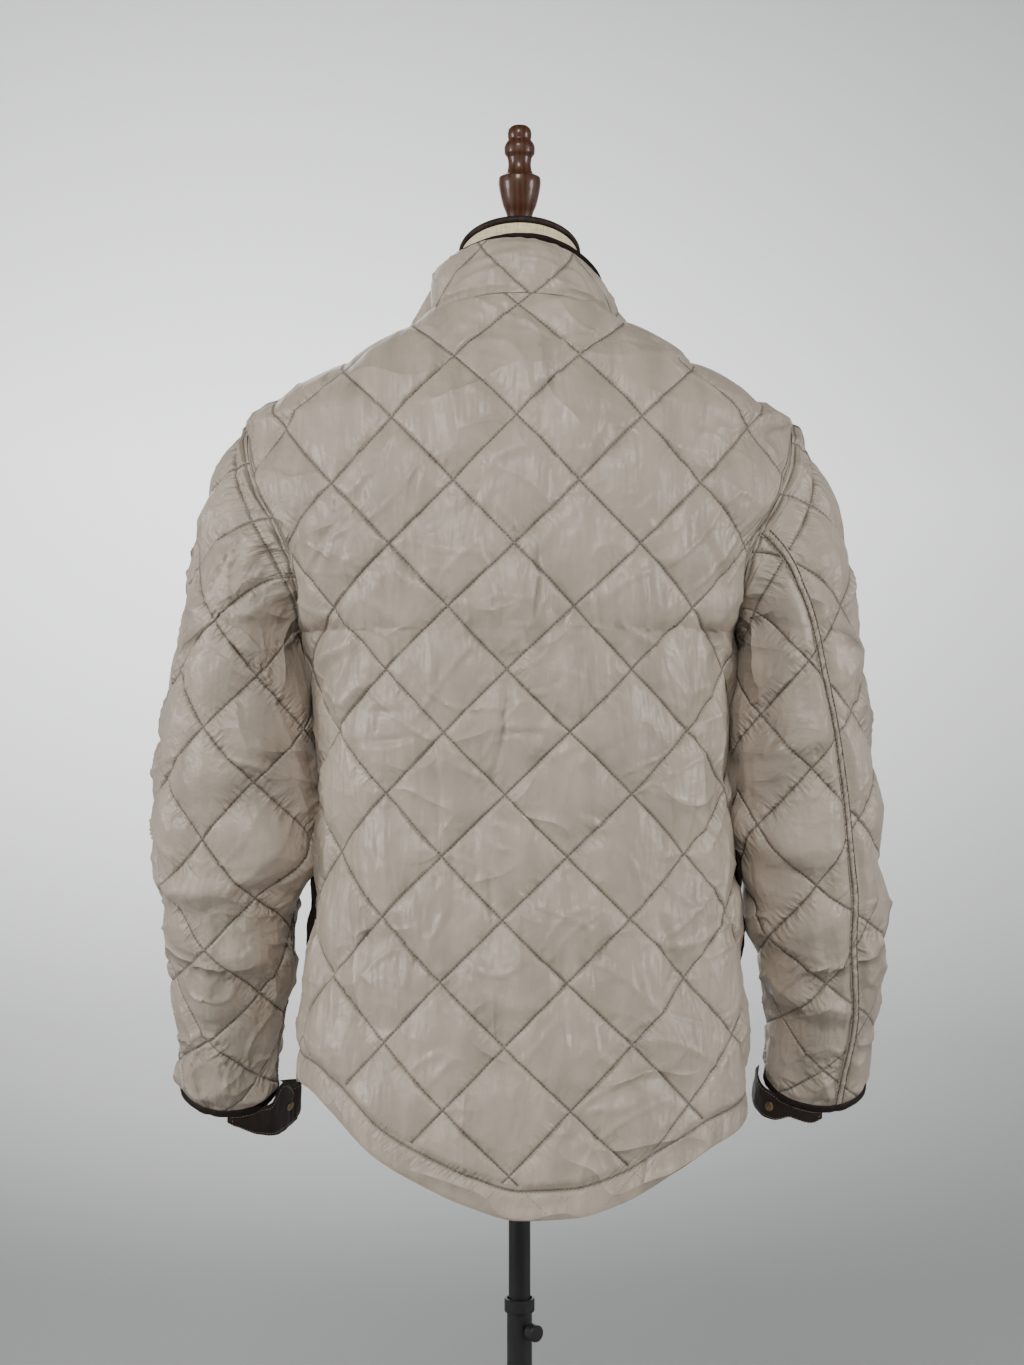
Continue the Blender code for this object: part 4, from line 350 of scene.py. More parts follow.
def paired(first, second):
    """Both as numbers, spread to one shape."""
    return np.broadcast_arrays(np.asarray(first, float), np.asarray(second, float))


def angles(count):
    """Even steps round a full turn."""
    return np.linspace(0, TURN, count + 1)[:-1]


def circle(radius, z, count):
    """Points of a level circle on the axis; one of no size keeps a pinprick."""
    turn = angles(count)
    r = max(float(radius), 0.00002)
    return np.stack([r * np.cos(turn), r * np.sin(turn), z + 0 * turn], axis=-1)


def smooth_step(x):
    x = np.clip(x, 0.0, 1.0)
    return x * x * (3 - 2 * x)


def unit(vectors):
    return vectors / np.maximum(np.linalg.norm(vectors, axis=-1, keepdims=True), 1e-12)


def bezier(handles, t):
    t = np.asarray(t)[..., None]
    a, b, c, d = (handles[..., k, :] for k in range(4))
    return (1 - t)**3 * a + 3 * (1 - t)**2 * t * b + 3 * (1 - t) * t**2 * c + t**3 * d


def even_steps(handles):
    """Curve parameters that lie at even distances along each curve, and each curve's length."""
    t = np.linspace(0, 1, LINE_SAMPLES)
    points = bezier(handles[:, None], np.broadcast_to(t, (len(handles), LINE_SAMPLES)))
    lengths = np.linalg.norm(np.diff(points, axis=1), axis=2)
    ways = np.concatenate([np.zeros((len(handles), 1)), np.cumsum(lengths, axis=1)], axis=1)
    total = ways[:, -1]
    even = np.array([np.interp(t * whole, way, t) for whole, way in zip(total, ways)])
    return even, total


def read_grid(grid, row, column):
    """Bilinear reading of grid at fractional row and column numbers."""
    row = np.clip(row, 0, grid.shape[0] - 1.0001)
    column = np.clip(column, 0, grid.shape[1] - 1.0001)
    i = row.astype(int)
    j = column.astype(int)
    u = row - i
    v = column - j
    near = grid[i, j] * (1 - v) + grid[i, j + 1] * v
    far = grid[i + 1, j] * (1 - v) + grid[i + 1, j + 1] * v
    return near * (1 - u) + far * u


def normals_of(surface, first, second, steps):
    """Unit normals of surface(first, second), by differences of the given steps."""
    along = surface(first + steps[0], second) - surface(first - steps[0], second)
    up = surface(first, second + steps[1]) - surface(first, second - steps[1])
    return unit(np.cross(along, up))


def scatter(x, y, seed):
    """A number from -1 to 1 for each whole cell (x, y)."""
    spot = np.sin(x * 127.1 + y * 311.7 + seed * 74.7) * 43758.5453
    return 2 * (spot - np.floor(spot)) - 1


def drift(x, y, seed):
    """Smooth noise from -1 to 1, one bump to each unit of x and y."""
    i, j = np.floor(x), np.floor(y)
    u, v = x - i, y - j
    u = u**3 * (u * (u * 6 - 15) + 10)
    v = v**3 * (v * (v * 6 - 15) + 10)
    low = scatter(i, j, seed) * (1 - u) + scatter(i + 1, j, seed) * u
    high = scatter(i, j + 1, seed) * (1 - u) + scatter(i + 1, j + 1, seed) * u
    return low * (1 - v) + high * v


# ---------------------------------------------------------------- body surface
TIP_POINT, NECK_POINT = (
    np.array([row.side_x, row.back_side_y, row.side_z])
    for row in BODY_ROWS if row.level in (SHOULDER_TIP, NECK_LEVEL)
)


def body_shift(level):
    """How far the body's middle stands to the left of the axis."""
    return spline([row.level for row in BODY_ROWS], [row.shift_x for row in BODY_ROWS], level)


class BodySide:
    """The back or the front of the body cloth, from the side seam of one side to the other."""

    def __init__(self, is_front):
        self.is_front = is_front
        self.levels = np.linspace(BODY_ROWS[0].level, BODY_ROWS[-1].level, 164)
        self.even, self.half = even_steps(self.handles(self.levels))

    def handles(self, level):
        """The four handles of the left half row at each level."""
        rows = spline([row.level for row in BODY_ROWS], np.array(BODY_ROWS), level)
        row = BodyRow(*np.moveaxis(rows, -1, 0))
        if self.is_front:
            centre_y, centre_z, side_y = row.front_y, row.front_z, row.front_side_y
        else:
            centre_y, centre_z, side_y = row.back_y, row.back_z, row.back_side_y
        nothing = np.zeros_like(centre_y)
        centre = np.stack([nothing, centre_y, centre_z], axis=-1)
        side = np.stack([row.side_x, side_y, row.side_z], axis=-1)
        along_shoulder = ((level - SHOULDER_TIP) / (NECK_LEVEL - SHOULDER_TIP))[..., None]
        seam = TIP_POINT + along_shoulder * (NECK_POINT - TIP_POINT)
        side = np.where(along_shoulder > 0, seam, side)
        side_y = side[..., 1]
        turn = np.radians(row.turn)
        towards_side = np.sign(side_y - centre_y)
        arrival = np.stack([np.cos(turn), towards_side * np.sin(turn), nothing], axis=-1)
        first = centre + np.stack([ROW_FULLNESS * side[..., 0], nothing, nothing], axis=-1)
        reach = ROW_FULLNESS * np.abs(centre_y - side_y)
        return np.stack([centre, first, side - reach[..., None] * arrival, side], axis=-2)

    def half_width(self, level):
        """Distance along the cloth from its centre line to its side edge."""
        return np.interp(level, self.levels, self.half)

    def place(self, part, level):
        """Point at part of the row's half width, -1 at the right edge and 1 at the left."""
        part, level = paired(part, level)
        row = (level - self.levels[0]) / (self.levels[1] - self.levels[0])
        size = np.abs(part)
        t = read_grid(self.even, row, size * (LINE_SAMPLES - 1))
        points = bezier(self.handles(level), t)
        points[..., 0] *= np.where(part < 0, -1.0, 1.0)
        points[..., 0] += body_shift(level)
        return points

    def bare_normal(self, part, level):
        """Outward normal of the smooth cloth."""
        part = np.clip(part, -0.998, 0.998)
        level = np.clip(level, self.levels[0] + 0.002, self.levels[-1] - 0.002)
        normal = normals_of(self.place, part, level, (0.002, 0.0015))
        return normal if self.is_front else -normal

    def normal(self, part, level):
        """The same, turned at the armhole to halve the angle between body and sleeve."""
        part, level = paired(part, level)
        normal = self.bare_normal(part, level)
        beside = (1 - np.abs(part)) * self.half_width(level)
        beyond = np.maximum(np.maximum(UNDERARM - level, level - SHOULDER_TIP), 0)
        near = 1 - smooth_step(np.hypot(beside, beyond) / JOIN_REACH)
        join = ARMHOLE.join_at_level(self, np.clip(level, UNDERARM, SHOULDER_TIP))
        join[..., 0] *= np.where(part < 0, -1.0, 1.0)
        return unit(normal + near[..., None] * (join - normal))

    def lay(self, s, q):
        """Lay flat points (s, q) on the figure; gives points and normals."""
        part = s / self.half_width(q)
        return self.place(part, q), self.normal(part, q)


BACK = BodySide(is_front=False)
FRONT = BodySide(is_front=True)


def armhole_levels(side):
    """Levels at even distances along one half of the armhole, underarm first."""
    levels = np.linspace(UNDERARM, SHOULDER_TIP, 120)
    way = travelled(side.place(1.0, levels))
    return np.interp(np.linspace(0, way[-1], ARMHOLE_STEPS + 1), way, levels)


class Armhole:
    """The loop where the left sleeve joins the body: shoulder tip, front, underarm, back."""

    def __init__(self):
        self.front_levels = armhole_levels(FRONT)
        self.back_levels = armhole_levels(BACK)
        front = self.front_levels[::-1]
        back = self.back_levels[1:]
        self.points = np.concatenate([FRONT.place(1.0, front), BACK.place(1.0, back)])
        body = np.concatenate([FRONT.bare_normal(1.0, front), BACK.bare_normal(1.0, back)])
        self.turns = np.radians(np.linspace(0, 360, len(self.points)))
        loop = np.gradient(self.points, axis=0)
        loop[0] = loop[-1] = loop[0] + loop[-1]
        sleeve = unit(np.cross(loop, self.leave(self.turns)))
        if sleeve[0, 2] < 0:
            sleeve = -sleeve
        self.joins = unit(body + sleeve)

    def leave(self, turn):
        """Direction in which the sleeve leaves the armhole."""
        under = (1 - np.cos(turn)) / 2
        slope = np.radians(CAP_SLOPE_TOP + under * (CAP_SLOPE_UNDER - CAP_SLOPE_TOP))
        return np.stack([np.cos(slope), np.zeros_like(slope), -np.sin(slope)], axis=-1)

    def join_at_level(self, side, level):
        half = len(self.front_levels) - 1
        if side.is_front:
            return spline(self.front_levels, self.joins[:half + 1][::-1], level)
        return spline(self.back_levels, self.joins[half:], level)


ARMHOLE = Armhole()


# ---------------------------------------------------------------- sleeve surface
class Sleeve:
    """One sleeve as it hangs. It is worked out on the left and mirrored for the right."""

    def __init__(self, hand):
        self.hand = hand
        self.mirror = np.array([1.0 if hand == "left" else -1.0, 1.0, 1.0])
        rings = np.array(SLEEVE_RINGS[hand])
        middles = rings[:, [1, 2, 0]]
        self.knots = travelled(middles)
        self.length = self.knots[-1]
        self.cloth_end = self.length - CUFF_BINDING - 0.001
        self.columns = np.concatenate([middles, rings[:, 3:5]], axis=1)
        self.turns = np.radians(np.linspace(0, 360, 73))
        self.even, self.cap_length = even_steps(self.cap_handles(self.turns))
        along = np.linspace(0, self.length, 60)
        round_it = self.ring(self.turns[None, :], along[:, None])
        self.girths = np.linalg.norm(np.diff(round_it, axis=1), axis=2).sum(axis=1)
        self.girth_knots = along

    def ring(self, turn, along):
        """Point of the sleeve below the armhole's foot, on the left."""
        turn, along = np.broadcast_arrays(turn, along)
        columns = spline(self.knots, self.columns, along)
        ahead = spline(self.knots, self.columns, along + 0.004)[..., :3]
        behind = spline(self.knots, self.columns, along - 0.004)[..., :3]
        axis = unit(ahead - behind)
        outward = np.zeros_like(axis)
        outward[..., 0] = 1
        outward = unit(outward - axis * axis[..., :1])
        forward = np.cross(axis, outward)
        swell = read_table(SLEEVE_LEAN[self.hand], along)
        swell = swell * np.maximum(0, np.cos(turn - LEAN_TURN))**3
        across = (columns[..., 3] * np.cos(turn) - swell)[..., None]
        deep = (columns[..., 4] * np.sin(turn))[..., None]
        return columns[..., :3] + across * outward + deep * forward

    def cap_handles(self, turn):
        """Handles of the curve from the armhole down to the first ring, for each turn."""
        top = spline(ARMHOLE.turns, ARMHOLE.points, turn)
        foot = self.ring(turn, np.zeros_like(turn))
        below = self.ring(turn, np.full_like(turn, 0.02))
        reach = np.linalg.norm(foot - top, axis=-1, keepdims=True) * 0.38
        leave = top + reach * ARMHOLE.leave(turn)
        return np.stack([top, leave, foot - reach * unit(below - foot), foot], axis=-2)

    def cap_start(self, turn):
        """Distance along at which the sleeve starts; it is below 0 by the cap's height there."""
        return -np.interp(np.mod(turn, TURN), self.turns, self.cap_length)

    def girth(self, along):
        return np.interp(along, self.girth_knots, self.girths)

    def seam_turn(self, along):
        return np.radians(read_table(SLEEVE_SEAM[self.hand], along))

    def place(self, turn, share):
        """Point at a turn; share runs -1..0 down the cap, then in metres along the sleeve."""
        turn, share = paired(turn, share)
        turn = np.mod(turn, TURN)
        column = (np.clip(share, -1, 0) + 1) * (LINE_SAMPLES - 1)
        row = turn / (self.turns[1] - self.turns[0])
        cap = bezier(self.cap_handles(turn), read_grid(self.even, row, column))
        tube = self.ring(turn, np.clip(share, 0, self.length))
        return np.where((share < 0)[..., None], cap, tube) * self.mirror

    def normal(self, turn, along):
        """Outward normal; at the armhole it is the one that the body's edge has."""
        share = np.where(along < 0, -along / self.cap_start(turn), along)
        share = np.clip(share, -0.97, self.length - 0.003)
        normal = normals_of(self.place, turn, share, (0.01, 0.003)) * self.mirror[0]
        joined = spline(ARMHOLE.turns, ARMHOLE.joins, np.mod(turn, TURN)) * self.mirror
        near = 1 - smooth_step((along - self.cap_start(turn)) / JOIN_REACH)
        return unit(normal + near[..., None] * (joined - normal))

    def lay(self, turn, along):
        """Points and normals at turns and distances along."""
        turn, along = paired(turn, along)
        share = np.where(along < 0, -along / self.cap_start(turn), along)
        return self.place(turn, share), self.normal(turn, along)


# ---------------------------------------------------------------- collar surface
def front_neckline(count):
    """Flat points of the front neckline, from the shoulder to the centre."""
    angle = np.linspace(0, math.pi / 2, count)
    wide = FRONT.half_width(NECK_LEVEL) - SEAM_GAP / 2
    s = wide * np.cos(angle)
    q = NECK_LEVEL - (NECK_LEVEL - FRONT_NECK) * np.sin(angle)**0.9
    return s, q


class Collar:
    """The standing collar, from its seam on the neckline to its tilted top edge."""

    def __init__(self):
        wide = BACK.half_width(NECK_LEVEL) - SEAM_GAP / 2
        back = np.linspace(0, wide, NECK_STEPS + 1)
        points, normals = BACK.lay(back, np.full_like(back, NECK_LEVEL))
        front, front_normals = FRONT.lay(*front_neckline(NECK_STEPS + 3))
        self.foot = np.concatenate([points[:-1], front])
        self.foot_normals = np.concatenate([normals[:-1], front_normals])
        way = travelled(self.foot)
        self.knots = way / way[-1]
        self.half_length = way[-1]

    def place(self, part, up):
        """Point at part of the half length, -1..1 round from the centre back, up 0..1."""
        part, up = paired(part, up)
        size = np.abs(part)
        foot = spline(self.knots, self.foot, size)
        angle = math.pi * size
        y = COLLAR_TOP_Y * np.cos(angle)
        x = COLLAR_TOP_X * np.sin(angle)
        rise = COLLAR_TOP_SLOPE * y + COLLAR_TOP_ROLL * x * np.sign(part)
        top = np.stack([x, COLLAR_TOP_MIDDLE[1] + y, COLLAR_TOP_MIDDLE[2] + rise], axis=-1)
        swell = np.stack([np.sin(angle), np.cos(angle), np.zeros_like(angle)], axis=-1)
        t = up[..., None]
        points = foot * (1 - t) + top * t + swell * COLLAR_BULGE * np.sin(math.pi * t)
        points[..., 0] *= np.where(part < 0, -1.0, 1.0)
        return points

    def normal(self, part, up):
        normal = -normals_of(self.place, np.clip(part, -0.99, 0.99), up, (0.008, 0.02))
        joined_to = spline(self.knots, self.foot_normals, np.abs(part))
        joined_to[..., 0] *= np.where(part < 0, -1.0, 1.0)
        near = 1 - smooth_step(up / 0.22)
        return unit(normal + near[..., None] * (joined_to - normal))

    def height(self, part):
        return np.linalg.norm(self.place(part, 1.0) - self.place(part, 0.0), axis=-1)


# ---------------------------------------------------------------- quilting
def settings():
    return bpy.context.scene.quilted_jacket


class Quilt:
    """Height of quilted cloth over its plain inside, at flat points (s, q)."""

    def __init__(self, diagonal, origin, centre, seed):
        self.diagonal = diagonal
        self.origin = origin      # level of one crossing
        self.centre = centre      # function: the middle crossing's s at a level
        self.seed = seed
        self.side = diagonal / math.sqrt(2)

    def wander(self, s, q):
        """How far the needle strays from a straight line."""
        return 0.0016 * drift(s / 0.11, q / 0.11, self.seed)

    def lines(self, s, q):
        """Coordinates that are whole numbers on the two families of stitched lines."""
        s = s - self.centre(q) + self.wander(s, q)
        q = q - self.origin
        return (s + q) / self.diagonal, (s - q) / self.diagonal

    def on_line(self, family, number, way):
        """Flat points along one stitched line; way is the level at which each is wanted."""
        q = way.copy()
        across = number * self.diagonal - (q - self.origin) * (1 if family == 0 else -1)
        s = across.copy()
        for _ in range(4):
            s = across + self.centre(q) - self.wander(s, q)
        return s, q

    def marks(self, s, q, shown, wrinkle):
        """Values that place the needle lines on the cloth, and how wrinkled it is beside them."""
        a, b = self.lines(s, q)
        side = self.side + 0 * s
        return {"line_a": a, "line_b": b, "line_side": side, "line_shown": shown + 0 * s,
                "wrinkle": wrinkle + 0 * s}

    def relief(self, s, q, calm):
        """Raised height of the quilting at flat points."""
        a, b = self.lines(s, q)
        puff = np.ones_like(s)
        pucker = np.zeros_like(s)
        for family, (line, along) in enumerate(((a, b), (b, a))):
            number = np.round(line)
            away = np.abs(line - number)
            metres = away * self.side
            puff = puff * (1 - (1 - 2 * away)**2)
            side = np.sign(line - number)
            way = along * self.side
            seed = self.seed + 13 * family
            small = drift(way / 0.0075 + 31 * number, side * 5 + 0 * way, seed)
            broad = drift(way / 0.017 + 17 * number, side * 7 + 0 * way, seed + 3)
            reach = 0.010 + 0.006 * drift(way / 0.03, number + side, seed + 5)
            fade = np.exp(-metres / reach) * (1 - np.exp(-metres / 0.0012))
            pucker = pucker + (0.0009 * small + 0.0016 * broad) * fade
        height = settings().puff * puff**0.55 * calm
        return height + pucker * np.sqrt(calm) * settings().pucker


def creases(s, q, seed, strength=1.0):
    """Small irregular creases of thin satin cloth over wadding."""
    bend_s = s + 0.020 * drift(s / 0.07, q / 0.07, seed)
    bend_q = q + 0.020 * drift(s / 0.07, q / 0.07, seed + 1)
    total = np.zeros_like(s)
    for number, (size, stretch, height, turn) in enumerate((
            (0.030, 3.0, 0.0011, 0.5), (0.026, 3.2, 0.0010, -0.75), (0.040, 2.6, 0.0012, 1.35),
            (0.016, 2.5, 0.0005, 0.1))):
        c, n = math.cos(turn), math.sin(turn)
        x = (bend_s * c + bend_q * n) / (size * stretch)
        y = (bend_q * c - bend_s * n) / size
        value = drift(x, y, seed + 5 + number)
        ridge = np.maximum(0, 1 - np.abs(value) / 0.30)**2
        shown = smooth_step(0.5 + 1.3 * drift(x * 0.9 + 9, y * 0.35, seed + 20 + number))
        total = total + height * (ridge * shown - 0.10)
    rolling = 0.0012 * drift(bend_s / 0.060, bend_q / 0.050, seed + 40)
    return (total + rolling) * strength * settings().crease


def fold_lift(folds, s, q):
    """Height of the large soft folds at (s, q)."""
    lift = np.zeros_like(s)
    for fold in folds:
        angle = math.radians(fold.angle)
        along = (s - fold.s) * math.cos(angle) + (q - fold.q) * math.sin(angle)
        across = (q - fold.q) * math.cos(angle) - (s - fold.s) * math.sin(angle)
        bend = (across + 0.08 * along**2 / fold.length) / fold.width
        shape = np.exp(-bend**2) - 0.35 * np.exp(-((bend - 1.9) / 1.1)**2)
        lift += fold.height * shape * np.exp(-(2 * along / fold.length)**2)
    return lift


# ---------------------------------------------------------------- cloth pieces
class Panel:
    """What the body's panels and the sleeves share; lay is the way each lies on the figure."""

    def surface(self, s, q, lift):
        """Points that lie above the cloth's outer face by lift, and the normals there."""
        points, normals = self.lay(s, q)
        outer, _ = self.height(s, q)
        return points + normals * (outer + lift)[..., None], normals


class BodyPanel(Panel):
    """One quilted body piece: the back, or a front on one side of the centre."""

    def __init__(self, name):
        self.name = name
        self.sign = {"back": 0, "front_left": 1, "front_right": -1}[name]
        self.side = FRONT if self.sign else BACK
        self.lay = self.side.lay
        self.hem_table = FRONT_HEM if self.sign else BACK_HEM
        table = FRONT_DRIFT if self.sign else BACK_DRIFT
        self.quilt = Quilt(BODY_DIAGONAL, QUILT_LEVEL, lambda q: read_table(table, q),
                           3 + self.sign)
        if self.sign:
            s, q = front_neckline(40)
            self.neck_part = (s / self.side.half_width(q))[::-1]
            self.neck_level = q[::-1]

    def hem(self, s):
        return read_table(self.hem_table, s)

    def top(self, part):
        if not self.sign:
            return np.full_like(part, NECK_LEVEL)
        return np.interp(np.abs(part), self.neck_part, self.neck_level)

    def grid(self, columns, rows):
        """Flat points of a grid over the whole piece, the hem's row first."""
        gap = SEAM_GAP / 2 / HALF_WIDTH
        if self.sign:
            part = self.sign * np.linspace(gap, 1 - gap, columns)
        else:
            part = np.linspace(gap - 1, 1 - gap, columns)
        up = np.linspace(0, 1, rows)[:, None]
        top = self.top(part)
        low = self.hem(part * self.side.half_width(HEM_LEVEL))
        for _ in range(3):
            low = self.hem(part * self.side.half_width(low))
        level = low + up * (top - low)
        return part * self.side.half_width(level), level

    def calm(self, s, q, reach):
        edge = self.side.half_width(q) - np.abs(s)
        top = NECK_LEVEL - q
        if self.sign:
            part = np.abs(s) / self.side.half_width(q)
            top = np.interp(part, self.neck_part, self.neck_level) - q
        return smooth_step(np.minimum(edge, top) / reach)

    def hem_slant(self, s):
        """Length of the hem's edge for each metre across."""
        slope = (self.hem(s + 0.004) - self.hem(s - 0.004)) / 0.008
        return np.sqrt(1 + slope**2)

    def hem_distance(self, s, q):
        return (q - self.hem(s)) / self.hem_slant(s)

    def height(self, s, q):
        """Outer height over the smooth figure, and the inner one."""
        inner = fold_lift(BODY_FOLDS[self.name], s, q) * self.calm(s, q, FOLD_FLAT)
        calm = 0.04 + 0.96 * self.calm(s, q, SEAM_FLAT)
        high = smooth_step((q - 1.02) / 0.10)
        beside = smooth_step((np.abs(s) - 0.17) / 0.05)
        calm = calm * (1 - 0.35 * high * beside)
        if self.sign:
            calm = calm * smooth_step((np.abs(s) - PLACKET_WIDTH / 2 + 0.004) / SEAM_FLAT)
        hem = self.hem_distance(s, q)
        above = smooth_step((hem - HEM_BAND + 0.001) / 0.010)
        rise = self.quilt.relief(s, q, calm * above)
        rise = rise + creases(s, q, 50 + self.sign, 2.0) * np.sqrt(calm * above)
        if not self.sign:
            rise = rise + 1.5 * fold_lift(BACK_CREASES, s, q) * calm * above
        band = np.clip(1 - ((hem - HEM_BAND * 0.5) / (HEM_BAND * 0.5))**2, 0, 1)**0.5
        seam = drift(s / 0.0065, 0 * s, 81) + 0.6 * drift(s / 0.013, 0 * s, 82)
        ripple = 0.00055 * seam * band * (hem < HEM_BAND + 0.006)
        around = np.exp(-((hem - HEM_BAND) / 0.0018)**2)
        rise = rise + (HEM_ROLL - WALL) * band * (hem < HEM_BAND) + ripple
        lift = np.exp(-np.maximum(hem - HEM_BAND, 0) / 0.008) * (hem > HEM_BAND)
        rise = rise + 0.0006 * seam * lift
        inside_edge = self.calm(s, q, 0.014) < 1
        edge = self.side.half_width(q) - np.abs(s)
        seam_pucker = drift(q / 0.008, np.sign(s) + 0 * q, 90) * np.exp(-edge / 0.010)
        rise = rise + 0.0007 * seam_pucker * smooth_step(edge / 0.003) * inside_edge
        rise = np.where(around > 0.02, rise * (1 - 0.5 * around), rise)
        return inner + WALL + np.maximum(rise, DEEPEST), inner

    def marks(self, s, q):
        """Needle lines, and the rows of topstitching at the armholes and the hem."""
        edge = self.side.half_width(q) - np.abs(s)
        hem = self.hem_distance(s, q)
        upper = (q > UNDERARM) & (q < SHOULDER_TIP)
        shown = smooth_step((hem - HEM_BAND) / 0.003)
        if self.sign:
            shown = shown * (np.abs(s) > PLACKET_WIDTH / 2)
        rows = {f"row_{k}": np.where(upper, 1 + edge - beside, 0)
                for k, beside in enumerate(ARMHOLE_ROWS, 1)}
        wrinkle = 0.30 + 0.45 * smooth_step((np.abs(s) - 0.15) / 0.08)
        wrinkle = wrinkle + 0.4 * np.exp(-np.abs(hem) / 0.03)
        return self.quilt.marks(s, q, shown, wrinkle) | rows | {"row_3": 1 + hem - HEM_BAND}

    def stitched_lines(self):
        """The quilting's lines as far as they run on this piece, as flat points."""
        lines = []
        for family in (0, 1):
            for number in range(-8, 9):
                way = np.arange(0.69, 1.50, LINE_STEP)
                s, q = self.quilt.on_line(family, number, way)
                edge = self.side.half_width(q) - np.abs(s)
                part = np.abs(s) / self.side.half_width(q)
                keep = (edge > 0.003) & (q > self.hem(s) + 0.004) & (q < self.top(part) - 0.003)
                if self.sign:
                    keep &= self.sign * s > PLACKET_WIDTH / 2 + 0.001
                lines += runs(s, q, keep)
        return lines


def runs(s, q, keep):
    """The stretches of a line where keep holds, as pairs of coordinate lists."""
    found = []
    start = None
    for k, stays in enumerate(list(keep) + [False]):
        if stays and start is None:
            start = k
        if not stays and start is not None:
            if k - start > 2:
                found.append((s[start:k], q[start:k]))
            start = None
    return found


class SleevePanel(Panel):
    """One quilted sleeve; its s is the turn here, and its q the distance along."""

    def __init__(self, hand):
        self.hand = hand
        self.name = f"sleeve_{hand}"
        self.sleeve = Sleeve(hand)
        self.lay = self.sleeve.lay
        self.at = SLEEVE_QUILT_AT[hand]
        seed = 7 if hand == "left" else 8
        self.quilt = Quilt(SLEEVE_DIAGONAL, self.at.along, lambda q: np.zeros_like(q), seed)

    def flat(self, turn, along):
        """Flat distance round from the quilting's own middle line."""
        return self.round_distance(turn - math.radians(self.at.turn), along)

    def round_distance(self, turn, along):
        """Distance round the sleeve for a turn, taken the short way."""
        turn = np.mod(turn + math.pi, TURN) - math.pi
        return turn * self.sleeve.girth(along) / TURN

    def turn(self, s, along):
        return math.radians(self.at.turn) + TURN * s / self.sleeve.girth(along)

    def grid(self, columns, rows):
        turn = angles(columns)
        start = self.sleeve.cap_start(turn) + SEAM_GAP
        up = np.linspace(0, 1, rows)[:, None]
        return turn + 0 * up, start + up * (self.sleeve.length - start)

    def seam_away(self, turn, along):
        return self.round_distance(turn - self.sleeve.seam_turn(along), along)

    def height(self, turn, along):
        start = self.sleeve.cap_start(turn)
        gap = np.abs(self.seam_away(turn, along))
        from_cap = along - start
        from_cuff = self.sleeve.cloth_end - along
        near = smooth_step((0.16 - along) / 0.06)
        inner_side = np.maximum(0, -np.cos(turn)) * near
        degrees = np.degrees(np.mod(turn, TURN))
        girth = self.sleeve.girth(along)
        inner = np.zeros_like(along)
        for fold in SLEEVE_FOLDS[self.hand]:
            placed = fold._replace(s=fold.s / 360 * float(self.sleeve.girth(fold.q)))
            inner = inner + 1.5 * fold_lift([placed], degrees / 360 * girth, along)
        inner = inner * smooth_step(from_cap / FOLD_FLAT) * smooth_step(
            (self.sleeve.length - along) / FOLD_FLAT) * smooth_step(gap / 0.02) * (1 - inner_side)
        calm = smooth_step(from_cap / SEAM_FLAT) * smooth_step(from_cuff / 0.010)
        calm = 0.03 + 0.97 * calm
        calm = calm * smooth_step((gap - SEAM_STRIP_WIDTH / 2 + 0.001) / SEAM_FLAT)
        calm = calm * (1 - 0.5 * inner_side)
        s = self.flat(turn, along)
        rise = self.quilt.relief(s, along, calm)
        seed = 60 if self.hand == "left" else 70
        small = creases(np.abs(s / girth) * 0.36, along, seed, 2.4)
        rise = rise * (0.95 - 0.35 * smooth_step((along - 0.26) / 0.08)) + small * np.sqrt(calm)
        for edge, way, reach in ((from_cap, turn * SLEEVE_RADIUS, 0.012),
                                 (gap - SEAM_STRIP_WIDTH / 2, along, 0.012),
                                 (from_cuff, turn * SLEEVE_RADIUS, 0.010)):
            ripple = drift(way / 0.0075, 0 * way, 95) * np.exp(-np.maximum(edge, 0) / reach)
            rise = rise + 0.0008 * ripple * smooth_step(edge / 0.003)
        return inner + WALL + np.maximum(rise, DEEPEST), inner

    def marks(self, turn, along):
        """Needle lines, hidden where the quilting's two ends meet, and the armhole's row."""
        s = self.flat(turn, along)
        from_end = self.sleeve.girth(along) / 2 - np.abs(s)
        shown = smooth_step((from_end - 0.003) / 0.002)
        from_cap = along - self.sleeve.cap_start(turn)
        return self.quilt.marks(s, along, shown, 1.0) | {"row_1": 1 + from_cap - ARMHOLE_ROWS[0]}

    def stitched_lines(self):
        lines = []
        for family in (0, 1):
            for number in range(-7, 8):
                way = np.arange(-0.20, self.sleeve.length, LINE_STEP)
                s, q = self.quilt.on_line(family, number, way)
                whole = np.abs(s) < self.sleeve.girth(q) / 2
                turn = self.turn(s, q)
                keep = whole & (q > self.sleeve.cap_start(turn) + 0.003)
                keep &= q < self.sleeve.cloth_end
                keep &= np.abs(self.seam_away(turn, q)) > SEAM_STRIP_WIDTH / 2 + 0.0005
                lines += runs(turn, q, keep)
        return lines


# ---------------------------------------------------------------- meshes
def mesh_object(name, points, faces, material, uv=None, marks=None, sharp=50):
    """A mesh object at the origin; uv and marks are given for each point."""
    mesh = bpy.data.meshes.new(name)
    mesh.from_pydata(points.tolist(), [], faces)
    mesh.validate()
    if uv is not None:
        corner = np.zeros(len(mesh.loops), np.int32)
        mesh.loops.foreach_get("vertex_index", corner)
        layer = mesh.uv_layers.new(name="flat")
        layer.data.foreach_set("uv", uv[corner].astype(np.float32).ravel())
    for label, values in (marks or {}).items():
        attribute = mesh.attributes.new(label, "FLOAT", "POINT")
        attribute.data.foreach_set("value", values.astype(np.float32))
    mesh.materials.append(material)
    mesh.shade_smooth()
    mesh.set_sharp_from_angle(angle=math.radians(sharp))
    thing = bpy.data.objects.new(name, mesh)
    bpy.context.scene.collection.objects.link(thing)
    return thing


